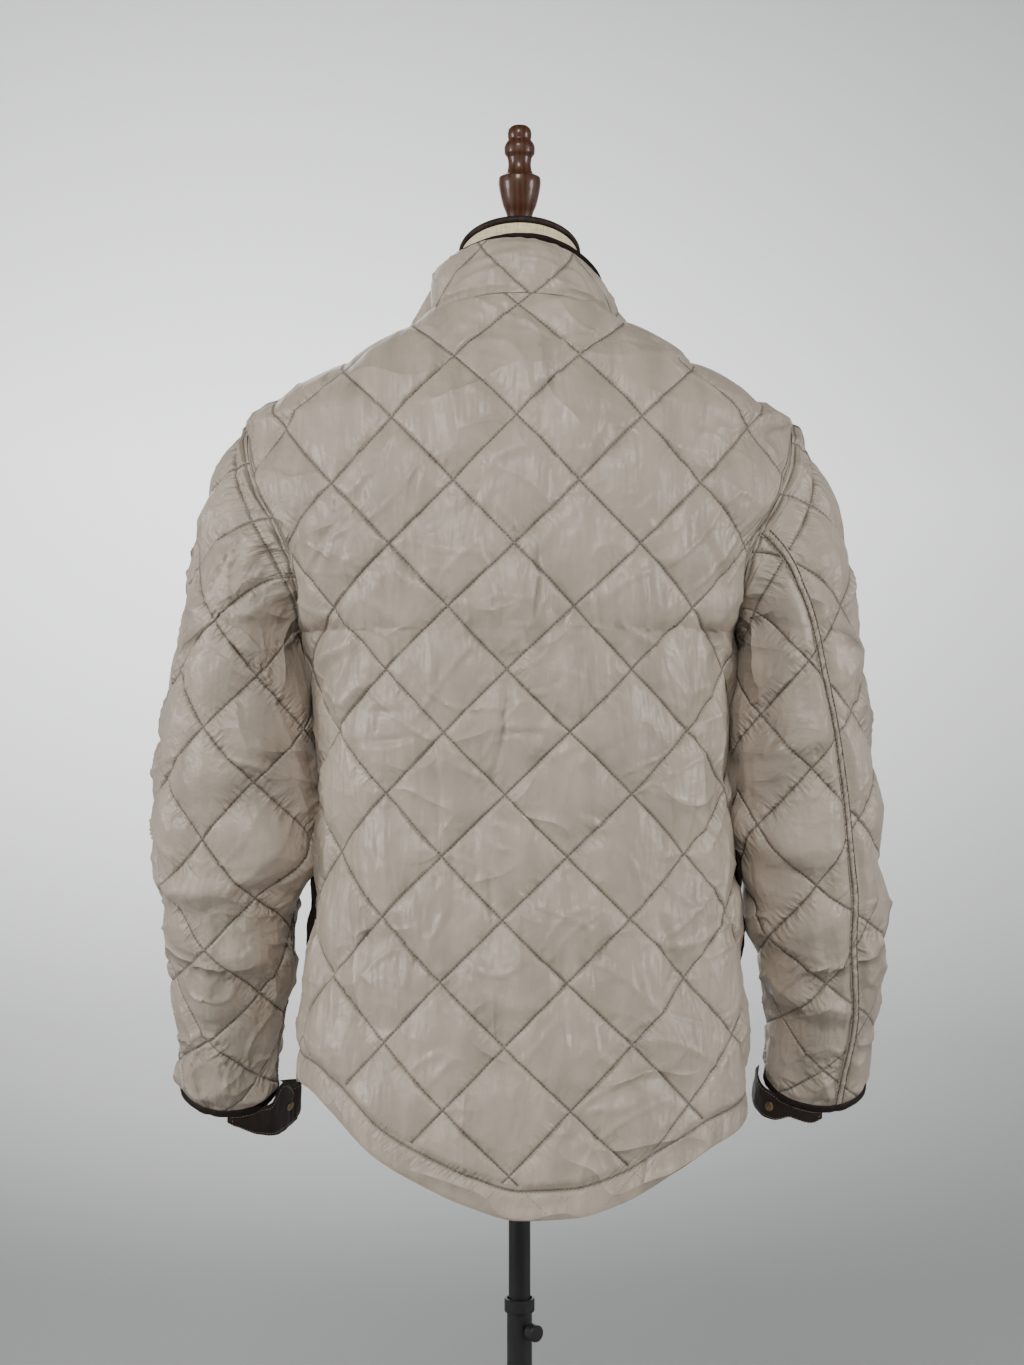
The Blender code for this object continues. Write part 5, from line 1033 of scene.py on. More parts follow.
def quads(index, closed, backwards=False):
    """Faces between the neighbouring rows and columns of a grid of point numbers."""
    left, right = index[:, :-1], index[:, 1:]
    if closed:
        left, right = index, np.roll(index, -1, axis=1)
    if backwards:
        order = (left[:-1], left[1:], right[1:], right[:-1])
    else:
        order = (left[:-1], right[:-1], right[1:], left[1:])
    return np.stack(order, axis=-1).reshape(-1, 4).tolist()


def shell(name, outer, inner, material, uv, marks, closed=False, flip=False):
    """A closed wall: a fine outer grid, a coarse inner grid and a rim between them.

    closed joins the first column to the last.
    """
    rows, columns = outer.shape[:2]
    index = np.arange(rows * columns).reshape(rows, columns)
    kept = np.ix_(np.arange(0, rows, INNER_STEP), np.arange(0, columns, INNER_STEP))
    low = inner[kept]
    inner_index = index.size + np.arange(low[..., 0].size).reshape(low.shape[:2])
    faces = quads(index, closed) + quads(inner_index, closed, backwards=True)

    def rim(outer_line, inner_line, turn):
        for k in range(len(inner_line) - 1):
            piece = list(outer_line[k * INNER_STEP:(k + 1) * INNER_STEP + 1])
            face = piece[::-1] + [inner_line[k], inner_line[k + 1]]
            faces.append(face if turn else face[::-1])

    for row, turn in ((0, True), (-1, False)):
        edge, in_edge = list(index[row]), list(inner_index[row])
        if closed:
            edge, in_edge = edge + edge[:1], in_edge + in_edge[:1]
        rim(edge, in_edge, turn)
    if not closed:
        rim(list(index[:, 0]), list(inner_index[:, 0]), False)
        rim(list(index[:, -1]), list(inner_index[:, -1]), True)
    if flip:
        faces = [face[::-1] for face in faces]
    points = np.concatenate([outer.reshape(-1, 3), low.reshape(-1, 3)])
    flat = np.stack(uv, axis=-1)
    flat = np.concatenate([flat.reshape(-1, 2), flat[kept].reshape(-1, 2)])
    blank = np.zeros(inner_index.size)
    marks = {key: np.concatenate([value.ravel(), blank]) for key, value in marks.items()}
    return mesh_object(name, points, faces, material, flat, marks)


def sweep(name, sections, material, closed_way=False):
    """A closed body through rings of equally many points.

    closed_way joins the last ring to the first; otherwise the ends are capped.
    """
    rings = np.array(sections)
    count, around = rings.shape[:2]
    index = np.arange(count * around).reshape(count, around)
    faces = quads(np.concatenate([index, index[:1]]) if closed_way else index, True)
    if not closed_way:
        faces.append(list(index[0][::-1]))
        faces.append(list(index[-1]))
    points = rings.reshape(-1, 3)
    volume = 0.0
    for face in faces:
        a = points[face[0]]
        for k in range(1, len(face) - 1):
            volume += float(np.dot(a, np.cross(points[face[k]], points[face[k + 1]])))
    if volume < 0:
        faces = [face[::-1] for face in faces]
    way = np.linspace(0, 1, count)[:, None] + np.zeros((1, around))
    turn = np.linspace(0, 1, around)[None, :] + np.zeros((count, 1))
    uv = np.stack([turn.ravel(), way.ravel()], axis=-1)
    return mesh_object(name, points, faces, material, uv)


def finish_piece(thing, nodes=()):
    """Ride with the form, and stand for its CAD nodes."""
    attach(thing, "form")
    if nodes:
        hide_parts(*nodes)


# ---------------------------------------------------------------- materials
class Paint:
    """Small helper that builds one node material."""

    def __init__(self, name):
        self.material = bpy.data.materials.new(name)
        self.material.use_nodes = True
        self.tree = self.material.node_tree
        self.shader = self.tree.nodes["Principled BSDF"]

    def node(self, kind, **values):
        node = self.tree.nodes.new(kind)
        for key, value in values.items():
            setattr(node, key, value)
        return node

    def link(self, out, into):
        self.tree.links.new(out, into)

    def feed(self, socket, value):
        """Give a socket a number, a colour or another node's output."""
        if isinstance(value, bpy.types.NodeSocket):
            self.link(value, socket)
        else:
            socket.default_value = (*value, 1.0) if isinstance(value, tuple) else value

    def into(self, name, value):
        """The same for one of the shader's own inputs."""
        self.feed(self.shader.inputs[name], value)

    def set(self, **values):
        for key, value in values.items():
            self.into(key.replace("_", " "), value)

    def coords(self, scale, kind="Object"):
        """Texture coordinates, stretched by scale."""
        source = self.node("ShaderNodeTexCoord")
        mapping = self.node("ShaderNodeMapping")
        mapping.inputs["Scale"].default_value = scale
        self.link(source.outputs[kind], mapping.inputs["Vector"])
        return mapping.outputs["Vector"]

    def noise(self, scale, detail=3.0, vector=None, roughness=0.55):
        node = self.node("ShaderNodeTexNoise")
        node.inputs["Scale"].default_value = scale
        node.inputs["Detail"].default_value = detail
        node.inputs["Roughness"].default_value = roughness
        self.link(vector if vector is not None else self.coords((1, 1, 1)), node.inputs["Vector"])
        return node.outputs["Fac"]

    def wave(self, direction, scale, vector, **inputs):
        node = self.node("ShaderNodeTexWave", wave_type="BANDS", bands_direction=direction)
        for key, number in {"Scale": scale, **inputs}.items():
            node.inputs[key].default_value = number
        self.link(vector, node.inputs["Vector"])
        return node.outputs["Fac"]

    def tones(self, value, colour, *stops):
        """Shades of one colour, from (position, share) stops."""
        return self.ramp(value, [(at, shade(colour, share)) for at, share in stops])

    def ramp(self, value, stops):
        """Colour ramp of (position, colour) stops."""
        node = self.node("ShaderNodeValToRGB")
        while len(node.color_ramp.elements) < len(stops):
            node.color_ramp.elements.new(0.5)
        for element, (position, colour) in zip(node.color_ramp.elements, stops):
            element.position = position
            element.color = (*colour, 1.0)
        self.link(value, node.inputs["Fac"])
        return node.outputs["Color"]

    def span(self, value, low, high, out_low, out_high, kind="LINEAR"):
        node = self.node("ShaderNodeMapRange", interpolation_type=kind)
        for key, number in zip(("From Min", "From Max", "To Min", "To Max"),
                               (low, high, out_low, out_high)):
            node.inputs[key].default_value = number
        self.link(value, node.inputs["Value"])
        return node.outputs["Result"]

    def smooth(self, value, low, high):
        """0 at low and 1 at high, with a smooth step between them."""
        ends = (low, high, 0.0, 1.0) if low < high else (high, low, 1.0, 0.0)
        return self.span(value, *ends, kind="SMOOTHSTEP")

    def mix(self, share, first, second):
        """Mix two colours; share is a number or a socket."""
        node = self.node("ShaderNodeMix", data_type="RGBA", blend_type="MIX")
        for number, value in ((0, share), (6, first), (7, second)):
            self.feed(node.inputs[number], value)
        return node.outputs[2]

    def maths(self, kind, first, second=0.0, clamp=False):
        node = self.node("ShaderNodeMath", operation=kind, use_clamp=clamp)
        self.feed(node.inputs[0], first)
        self.feed(node.inputs[1], second)
        return node.outputs[0]

    def times(self, first, second):
        return self.maths("MULTIPLY", first, second)

    def join(self, kind, values):
        """Work out one value from several, pair by pair."""
        total = values[0]
        for value in values[1:]:
            total = self.maths(kind, total, value)
        return total

    def bump(self, height, strength, distance, onto=None):
        node = self.node("ShaderNodeBump")
        node.inputs["Strength"].default_value = strength
        node.inputs["Distance"].default_value = distance
        self.link(height, node.inputs["Height"])
        if onto is not None:
            self.link(onto, node.inputs["Normal"])
        return node.outputs["Normal"]

    def attribute(self, name):
        node = self.node("ShaderNodeAttribute", attribute_name=name)
        return node.outputs["Fac"]


def shade(colour, share):
    return tuple(c * share for c in colour)


def needle_line(paint, away, way, seed):
    """Dark share of painted shade in the pinched groove, valley and pucker beside one stitched
    line, from the distance away in metres.
    """
    step = paint.maths("PINGPONG", paint.maths("DIVIDE", way, STITCH_PITCH), 0.5)
    width = paint.span(step, 0.0, 0.5, 0.0005, 0.0015)
    # Painted shade: dark is the share by which the pinched groove along the line is darkened in the
    # cloth's colour.
    dark = paint.maths("SUBTRACT", 1.0, paint.maths("DIVIDE", away, width), True)
    valley = paint.smooth(away, 0.0, 0.0024)
    spot = paint.node("ShaderNodeCombineXYZ")
    for axis, value in (("X", paint.maths("DIVIDE", way, 0.0048)), ("Y", seed),
                        ("Z", paint.maths("DIVIDE", away, 0.016))):
        paint.feed(spot.inputs[axis], value)
    wave = paint.maths("SUBTRACT", paint.noise(1.0, 1.5, spot.outputs["Vector"]), 0.5)
    return dark, valley, paint.times(wave, paint.smooth(away, 0.017, 0.0004))


def fold_marks(paint, vector, scale, shown_scale, wide):
    """Long pinched folds of thin cloth: the places where a smooth noise passes its middle value."""
    value = paint.noise(scale, 1.0, vector, 0.4)
    away = paint.maths("ABSOLUTE", paint.maths("SUBTRACT", value, 0.5))
    ridge = paint.maths("SUBTRACT", 1.0, paint.maths("DIVIDE", away, wide), True)
    shown = paint.smooth(paint.noise(shown_scale, 1.0, vector), 0.48, 0.60)
    return paint.times(paint.maths("POWER", ridge, 2.2), shown)


def nylon_material():
    """Satin woven nylon: dark crisp needle lines of painted groove shade, painted shade and puckers
    beside them, painted sheen streaks, sharp long folds.
    """
    paint = Paint("stone_satin_nylon")
    colour = tuple(settings().cloth_colour)
    uv = paint.coords((1, 1, 1), "UV")
    parts = paint.node("ShaderNodeSeparateXYZ")
    paint.link(uv, parts.inputs["Vector"])
    run = paint.maths("ADD", parts.outputs["X"], parts.outputs["Y"])
    side = paint.attribute("line_side")
    hidden = paint.maths("SUBTRACT", 1.0, paint.attribute("line_shown"))
    found = []
    for name, other in (("line_a", "line_b"), ("line_b", "line_a")):
        line = paint.attribute(name)
        number = paint.maths("ROUND", line)
        away = paint.maths("ABSOLUTE", paint.maths("SUBTRACT", line, number))
        away = paint.maths("ADD", paint.times(away, side), hidden)
        way = paint.times(paint.attribute(other), side)
        found.append(needle_line(paint, away, way, paint.times(number, 13.7)))
    for name in ("row_1", "row_2", "row_3"):
        away = paint.maths("ABSOLUTE", paint.maths("SUBTRACT", paint.attribute(name), 1.0))
        found.append(needle_line(paint, away, run, 50.0))
    dark, valley, pucker = (
        paint.join(kind, values)
        for kind, values in zip(("MAXIMUM", "MINIMUM", "ADD"), zip(*found)))
    tone = paint.tones(paint.noise(7.0, 4.0), colour, (0.30, 0.94), (0.55, 1), (0.75, 1.05))
    # Painted sheen: streaks of a brighter tone of the cloth's colour stand in for its satin
    # highlights.
    satin = paint.noise(1.0, 1.0, paint.coords((40, 9, 1), "UV"), 0.5)
    # Painted light mixed into the cloth's colour: sheen streaks, then shade beside the needle lines
    # and in their grooves.
    for share, painted_level in ((paint.smooth(satin, 0.35, 0.68), 1.14),
                            # painted shade beside each needle line, standing in for the shade of
                            # the valley there
                            (paint.times(paint.smooth(valley, 0.8, 0.0), 0.22), 0.50),
                            # painted shade in the groove of each needle line
                            (paint.times(dark, 0.85), 0.10)):
        tone = paint.mix(share, tone, shade(colour, painted_level))
    paint.into("Base Color", tone)
    paint.into("Roughness", paint.span(paint.noise(55.0, 3.0), 0.3, 0.7, 0.37, 0.50))
    upright = fold_marks(paint, paint.coords((1, 0.42, 1), "UV"), 13.0, 8.0, 0.11)
    level = fold_marks(paint, paint.coords((0.5, 1, 1), "UV"), 17.0, 9.0, 0.12)
    crumple = paint.noise(75.0, 5.0, uv, 0.58)
    patches = paint.smooth(paint.noise(16.0, 1.0, uv), 0.38, 0.62)
    wrinkle = paint.times(paint.attribute("wrinkle"), paint.span(patches, 0.0, 1.0, 0.35, 1.2))
    streak = paint.noise(1.0, 2.0, paint.coords((62, 17, 1), "UV"), 0.5)
    slack = paint.span(paint.attribute("wrinkle"), 0.3, 1.0, 1.0, 2.0)
    folds = paint.join("ADD", [paint.times(upright, 2.6), paint.times(level, 2.4), crumple])
    height = paint.join("ADD", [
        paint.times(valley, 1.2), paint.times(paint.times(pucker, wrinkle), 5.0),
        paint.times(folds, slack), paint.times(streak, 5.0)])
    normal = paint.bump(height, 1.0, 0.001)
    paint.into("Normal", paint.bump(paint.wave("DIAGONAL", 260.0, uv), 0.05, 0.0002, normal))
    paint.set(Sheen_Weight=0.10, Sheen_Roughness=0.35, Specular_IOR_Level=0.55,
              Sheen_Tint=(1.0, 0.96, 0.92))
    return paint.material


def tape_material():
    """Dark brown binding tape with a fine cross weave."""
    paint = Paint("dark_brown_tape")
    grain = paint.noise(420.0, 4.0)
    colour = tuple(settings().binding_colour)
    paint.into("Base Color", paint.tones(grain, colour, (0.30, 0.6), (0.70, 1.4)))
    weave = paint.wave("DIAGONAL", 300.0, paint.coords((1, 1, 1)))
    normal = paint.bump(weave, 0.25, 0.0003)
    paint.into("Normal", paint.bump(paint.noise(120.0, 4.0), 0.25, 0.0012, normal))
    paint.set(Roughness=0.6, Specular_IOR_Level=0.2)
    return paint.material


def leather_material():
    """Very dark brown leather, pebbled, glossier on its high places."""
    paint = Paint("dark_brown_leather")
    cells = paint.node("ShaderNodeTexVoronoi")
    cells.inputs["Scale"].default_value = 900.0
    paint.link(paint.coords((1, 1, 1)), cells.inputs["Vector"])
    patches = paint.noise(60.0, 5.0)
    colour = tuple(settings().leather_colour)
    paint.into("Base Color",
               paint.tones(patches, colour, (0.30, 0.55), (0.62, 1), (0.80, 1.5)))
    paint.into("Roughness", paint.span(patches, 0.3, 0.7, 0.30, 0.52))
    normal = paint.bump(cells.outputs["Distance"], 0.35, 0.0004)
    paint.into("Normal", paint.bump(paint.noise(90.0, 4.0), 0.35, 0.0015, normal))
    paint.set(Coat_Weight=0.10, Coat_Roughness=0.25, Specular_IOR_Level=0.3)
    return paint.material


def linen_material():
    """Cream linen with slubs in both directions."""
    paint = Paint("cream_linen_cover")
    height = paint.join("ADD", [
        paint.noise(70.0, 3.0, paint.coords(stretch)) for stretch in ((1, 1, 14), (14, 14, 1))])
    tone = paint.tones(paint.span(height, 0.7, 1.3, 0.0, 1.0), tuple(settings().linen_colour),
                       (0.15, 0.72), (0.5, 1), (0.9, 1.10))
    paint.into("Base Color", tone)
    fine = paint.wave("Z", 220.0, paint.coords((1, 1, 1)))
    paint.into("Normal", paint.bump(fine, 0.2, 0.0003, paint.bump(height, 0.4, 0.0007)))
    paint.set(Roughness=0.85, Sheen_Weight=0.2)
    return paint.material


def walnut_material():
    """Turned dark walnut under gloss varnish; the grain runs up the finial."""
    paint = Paint("varnished_walnut")
    long_grain = paint.noise(260.0, 6.0, paint.coords((1, 1, 0.09)), 0.65)
    rings = paint.wave("X", 62.0, paint.coords((1, 1, 0.12)), Distortion=5.0, Detail=3.0)
    mixed = paint.times(long_grain, paint.maths("ADD", rings, 0.5))
    colour = tuple(settings().wood_colour)
    paint.into("Base Color", paint.tones(mixed, colour, (0.15, 0.6), (0.45, 1), (0.80, 1.3)))
    paint.into("Normal", paint.bump(long_grain, 0.18, 0.0006))
    paint.set(Roughness=0.42, Coat_Weight=0.35, Coat_Roughness=0.15, Specular_IOR_Level=0.3)
    return paint.material


def black_metal_material():
    """Black lacquered steel tube, a little scuffed."""
    paint = Paint("black_lacquered_steel")
    scuffs = paint.noise(45.0, 8.0, paint.coords((1, 1, 0.25)), 0.7)
    colour = tuple(settings().metal_colour)
    paint.into("Base Color", paint.tones(scuffs, colour, (0.35, 1), (0.72, 2.2)))
    paint.into("Roughness", paint.span(scuffs, 0.35, 0.75, 0.40, 0.62))
    paint.into("Normal", paint.bump(paint.noise(380.0, 3.0), 0.08, 0.0003))
    paint.set(Metallic=0.1, Specular_IOR_Level=0.35, Coat_Weight=0.08, Coat_Roughness=0.4)
    return paint.material


def grained_material(name, colour, grain, stops, relief, **values):
    """A finish whose one noise gives both its tones and its relief.

    grain is the noise's scale, detail and stretch; relief is the bump's strength and distance.
    """
    paint = Paint(name)
    scale, detail, stretch = grain
    value = paint.noise(scale, detail, paint.coords(stretch))
    paint.into("Base Color", paint.tones(value, tuple(colour), *stops))
    paint.into("Normal", paint.bump(value, *relief))
    if "Roughness" not in values:
        paint.into("Roughness", paint.span(value, 0.3, 0.7, 0.45, 0.25))
    paint.set(**values)
    return paint.material


def cap_material():
    """Dark stained rim of the neck cap."""
    return grained_material(
        "dark_stained_cap", settings().cap_colour, (120.0, 5.0, (1, 1, 0.3)),
        ((0.35, 0.7), (0.7, 1.9)), (0.15, 0.0006), Roughness=0.6, Specular_IOR_Level=0.25)


def brass_material():
    """Aged brass, darker and duller in its hollows."""
    return grained_material(
        "aged_brass_snap", settings().brass_colour, (300.0, 5.0, (1, 1, 1)),
        ((0.32, 0.45), (0.7, 1.3)), (0.15, 0.0004), Metallic=1.0)


def thread_material(name, colour):
    """Twisted polyester thread."""
    return grained_material(
        name, colour, (900.0, 2.0, (1, 1, 1)), ((0.3, 0.75), (0.7, 1.2)), (0.4, 0.0002),
        Roughness=0.55, Sheen_Weight=0.2)


MATERIALS = {}


def finish_of(name):
    """One of the jacket's finishes, made when it is first asked for."""
    if name not in MATERIALS:
        makers = {
            "nylon": nylon_material, "tape": tape_material, "leather": leather_material,
            "linen": linen_material, "walnut": walnut_material, "metal": black_metal_material,
            "cap": cap_material, "brass": brass_material,
            "thread": lambda: thread_material("stone_thread", settings().thread_colour),
            "dark_thread": lambda: thread_material("dark_thread", (0.05, 0.035, 0.028)),
            "pale_thread": lambda: thread_material("pale_thread", (0.42, 0.34, 0.26)),
        }
        MATERIALS[name] = makers[name]()
    return MATERIALS[name]


# ---------------------------------------------------------------- stitches by geometry nodes
STITCH_PITCH = 0.0034
STITCH_SIZES = ("Pitch", "Stitch length", "Thread width", "Thread height")
LENGTH_SPREAD = 0.15
STITCH_NODES = {         # kind, properties, and the values of inputs by name or number
    "come": ("NodeGroupInput", {}, {}),
    "leave": ("NodeGroupOutput", {}, {}),
    "curve": ("GeometryNodeMeshToCurve", {}, {}),
    "steps": ("GeometryNodeResampleCurve", {"mode": "LENGTH"}, {}),
    "spindle": ("GeometryNodeMeshUVSphere", {}, {"Segments": 4, "Rings": 3, "Radius": 0.5}),
    "lay": ("GeometryNodeTransform", {}, {"Rotation": (0.0, math.pi / 2, 0.0)}),
    "tangent": ("GeometryNodeInputTangent", {}, {}),
    "up": ("GeometryNodeInputNamedAttribute", {"data_type": "FLOAT_VECTOR"}, {"Name": "up"}),
    "along": ("FunctionNodeAlignRotationToVector", {"axis": "X"}, {}),
    "stand": ("FunctionNodeAlignRotationToVector", {"axis": "Z", "pivot_axis": "X"}, {}),
    "spread": ("FunctionNodeRandomValue", {"data_type": "FLOAT"}, {"Seed": 5, 3: 1.0}),
    "lowest": ("ShaderNodeMath", {"operation": "SUBTRACT"}, {0: 1.0}),
    "length": ("ShaderNodeMath", {"operation": "MULTIPLY"}, {}),
    "size": ("ShaderNodeCombineXYZ", {}, {}),
    "place": ("GeometryNodeInstanceOnPoints", {}, {}),
    "real": ("GeometryNodeRealizeInstances", {}, {}),
    "soft": ("GeometryNodeSetShadeSmooth", {}, {}),
    "paint": ("GeometryNodeSetMaterial", {}, {}),
}
STITCH_LINKS = (         # node, its output, node, its input
    ("come", "Lines", "curve", "Mesh"), ("curve", "Curve", "steps", "Curve"),
    ("come", "Pitch", "steps", "Length"), ("spindle", "Mesh", "lay", "Geometry"),
    ("tangent", "Tangent", "along", "Vector"), ("along", "Rotation", "stand", "Rotation"),
    ("up", "Attribute", "stand", "Vector"), ("come", "Length spread", "lowest", 1),
    ("lowest", 0, "spread", 2), ("come", "Stitch length", "length", 0),
    ("spread", 1, "length", 1), ("length", 0, "size", "X"), ("come", "Thread width", "size", "Y"),
    ("come", "Thread height", "size", "Z"), ("steps", "Curve", "place", "Points"),
    ("lay", "Geometry", "place", "Instance"), ("stand", "Rotation", "place", "Rotation"),
    ("size", "Vector", "place", "Scale"), ("place", "Instances", "real", "Geometry"),
    ("real", "Geometry", "soft", "Geometry"), ("soft", "Geometry", "paint", "Geometry"),
    ("paint", "Geometry", "leave", "Stitches"),
)


def stitch_tree(material):
    """Node tree that sets one small thread spindle at each step along the input's lines."""
    tree = bpy.data.node_groups.new("running_stitch", "GeometryNodeTree")
    tree.is_modifier = True
    tree.interface.new_socket("Lines", in_out="INPUT", socket_type="NodeSocketGeometry")
    tree.interface.new_socket("Stitches", in_out="OUTPUT", socket_type="NodeSocketGeometry")
    for label in STITCH_SIZES + ("Length spread",):
        tree.interface.new_socket(label, in_out="INPUT", socket_type="NodeSocketFloat")
    nodes = {}
    for label, (kind, properties, inputs) in STITCH_NODES.items():
        node = nodes[label] = tree.nodes.new(kind)
        for key, value in properties.items():
            setattr(node, key, value)
        for key, value in inputs.items():
            node.inputs[key].default_value = value
    for source, out, target, into in STITCH_LINKS:
        tree.links.new(nodes[source].outputs[out], nodes[target].inputs[into])
    nodes["paint"].inputs["Material"].default_value = material
    return tree


def sew(name, lines, thread, sizes=(0.0032, 0.0025, 0.0006, 0.0005)):
    """Stitches along lines of (points, normals), as one plain mesh that rides with the form.

    sizes are the pitch and a stitch's length, width and height.
    """
    points = np.concatenate([line[0] for line in lines])
    ups = np.concatenate([line[1] for line in lines])
    edges = []
    start = 0
    for line, _ in lines:
        edges += [(k, k + 1) for k in range(start, start + len(line) - 1)]
        start += len(line)
    mesh = bpy.data.meshes.new(name + "_lines")
    mesh.from_pydata(points.tolist(), edges, [])
    attribute = mesh.attributes.new("up", "FLOAT_VECTOR", "POINT")
    attribute.data.foreach_set("vector", ups.astype(np.float32).ravel())
    path = bpy.data.objects.new(name + "_lines", mesh)
    bpy.context.scene.collection.objects.link(path)
    tree = stitch_tree(finish_of(thread))
    modifier = path.modifiers.new("stitches", "NODES")
    modifier.node_group = tree
    values = dict(zip(STITCH_SIZES, sizes)) | {"Length spread": LENGTH_SPREAD}
    for item in tree.interface.items_tree:
        if item.name in values:
            modifier[item.identifier] = values[item.name]
    graph = bpy.context.evaluated_depsgraph_get()
    made = bpy.data.meshes.new_from_object(path.evaluated_get(graph))
    made.name = name
    bpy.data.objects.remove(path, do_unlink=True)
    if "up" in made.attributes:
        made.attributes.remove(made.attributes["up"])
    thing = bpy.data.objects.new(name, made)
    bpy.context.scene.collection.objects.link(thing)
    if len(made.polygons) == 0:
        raise RuntimeError(f"{name}: the stitch tree made nothing")
    finish_piece(thing)


# ---------------------------------------------------------------- properties
def colour_property(name, about, value):
    return FloatVectorProperty(name=name, description=about, default=value, size=3, min=0, max=1,
                               subtype="COLOR")


class JacketSettings(bpy.types.PropertyGroup):
    """Sizes and colours of the jacket and its stand."""

    puff: FloatProperty(
        name="Quilting height", description="How far a diamond's middle stands above its edges",
        default=0.0078, min=0.0, max=0.012, unit="LENGTH")
    pucker: FloatProperty(
        name="Puckers", description="Strength of the small puckers beside the needle lines",
        default=1.0, min=0.0, max=3.0)
    crease: FloatProperty(
        name="Creases", description="Strength of the small creases in the cloth",
        default=1.0, min=0.0, max=3.0)
    stitch_pitch: FloatProperty(
        name="Stitch pitch", description="Distance from one quilting stitch to the next",
        default=STITCH_PITCH, min=0.002, max=0.01, unit="LENGTH")
    cloth_colour: colour_property(
        "Cloth", "Colour of the quilted nylon", (0.400, 0.338, 0.272))
    binding_colour: colour_property(
        "Bindings", "Colour of the bound edges", (0.016, 0.010, 0.009))
    leather_colour: colour_property(
        "Leather", "Colour of the cuff tabs", (0.020, 0.011, 0.008))
    linen_colour: colour_property(
        "Linen", "Colour of the form's cover", (0.80, 0.68, 0.44))
    wood_colour: colour_property(
        "Finial wood", "Colour of the finial", (0.070, 0.026, 0.012))
    metal_colour: colour_property(
        "Stand", "Colour of the poles and the base", (0.010, 0.010, 0.011))
    cap_colour: colour_property(
        "Neck cap", "Colour of the neck cap's rim", (0.020, 0.013, 0.010))
    brass_colour: colour_property(
        "Snaps", "Colour of the snap caps", (0.30, 0.22, 0.12))
    thread_colour: colour_property(
        "Thread", "Colour of the quilting thread", (0.30, 0.265, 0.235))


# ---------------------------------------------------------------- pieces of the jacket
def raised(points, normals, high):
    """Points moved out along their normals."""
    return points + normals * high[..., None]


def across_rings(lengthwise):
    """The rings of a sweep, from lines that run its whole length."""
    return np.array(lengthwise).transpose(1, 0, 2)


def build_panel(panel, columns, rows, flat, area, wide=1.0, **how):
    s, q = panel.grid(columns, rows)
    points, normals = panel.lay(s, q)
    outer, inner = panel.height(s, q)
    thing = shell("jacket_" + panel.name, raised(points, normals, outer),
                  raised(points, normals, inner), finish_of("nylon"), (s * wide, q),
                  panel.marks(s, q), **how)
    finish_piece(thing, (panel.name,))


def flat_area(panel):
    """Area of the flat cut, from a coarse grid of its own distances."""
    s, q = panel.grid(81, 81)
    wide = (s[:, 1:] - s[:, :-1]) * np.sign(s[0, -1] - s[0, 0])
    tall = q[1:] - q[:-1]
    wide = (wide[1:] + wide[:-1]) / 2
    tall = (tall[:, 1:] + tall[:, :-1]) / 2
    return float((wide * tall).sum())


class JACKET_OT_back(bpy.types.Operator):
    """Make the quilted back with its shirt-tail hem"""

    bl_idname = "jacket.back"
    bl_label = "Back"

    def execute(self, context):
        panel = BodyPanel("back")
        build_panel(panel, 241, 321, (0.62, 0.79), flat_area(panel), flip=True)
        return {"FINISHED"}


class JACKET_OT_fronts(bpy.types.Operator):
    """Make the two quilted fronts"""

    bl_idname = "jacket.fronts"
    bl_label = "Fronts"

    def execute(self, context):
        for name in ("front_left", "front_right"):
            panel = BodyPanel(name)
            build_panel(panel, 113, 281, (0.32, 0.74), flat_area(panel), flip=panel.sign < 0)
        return {"FINISHED"}


class JACKET_OT_sleeves(bpy.types.Operator):
    """Make the two quilted sleeves"""

    bl_idname = "jacket.sleeves"
    bl_label = "Sleeves"

    def execute(self, context):
        for hand in ("left", "right"):
            build_panel(SleevePanel(hand), 176, 281, (0.42, 0.62), 0.205, SLEEVE_RADIUS,
                        closed=True, flip=hand == "right")
        return {"FINISHED"}


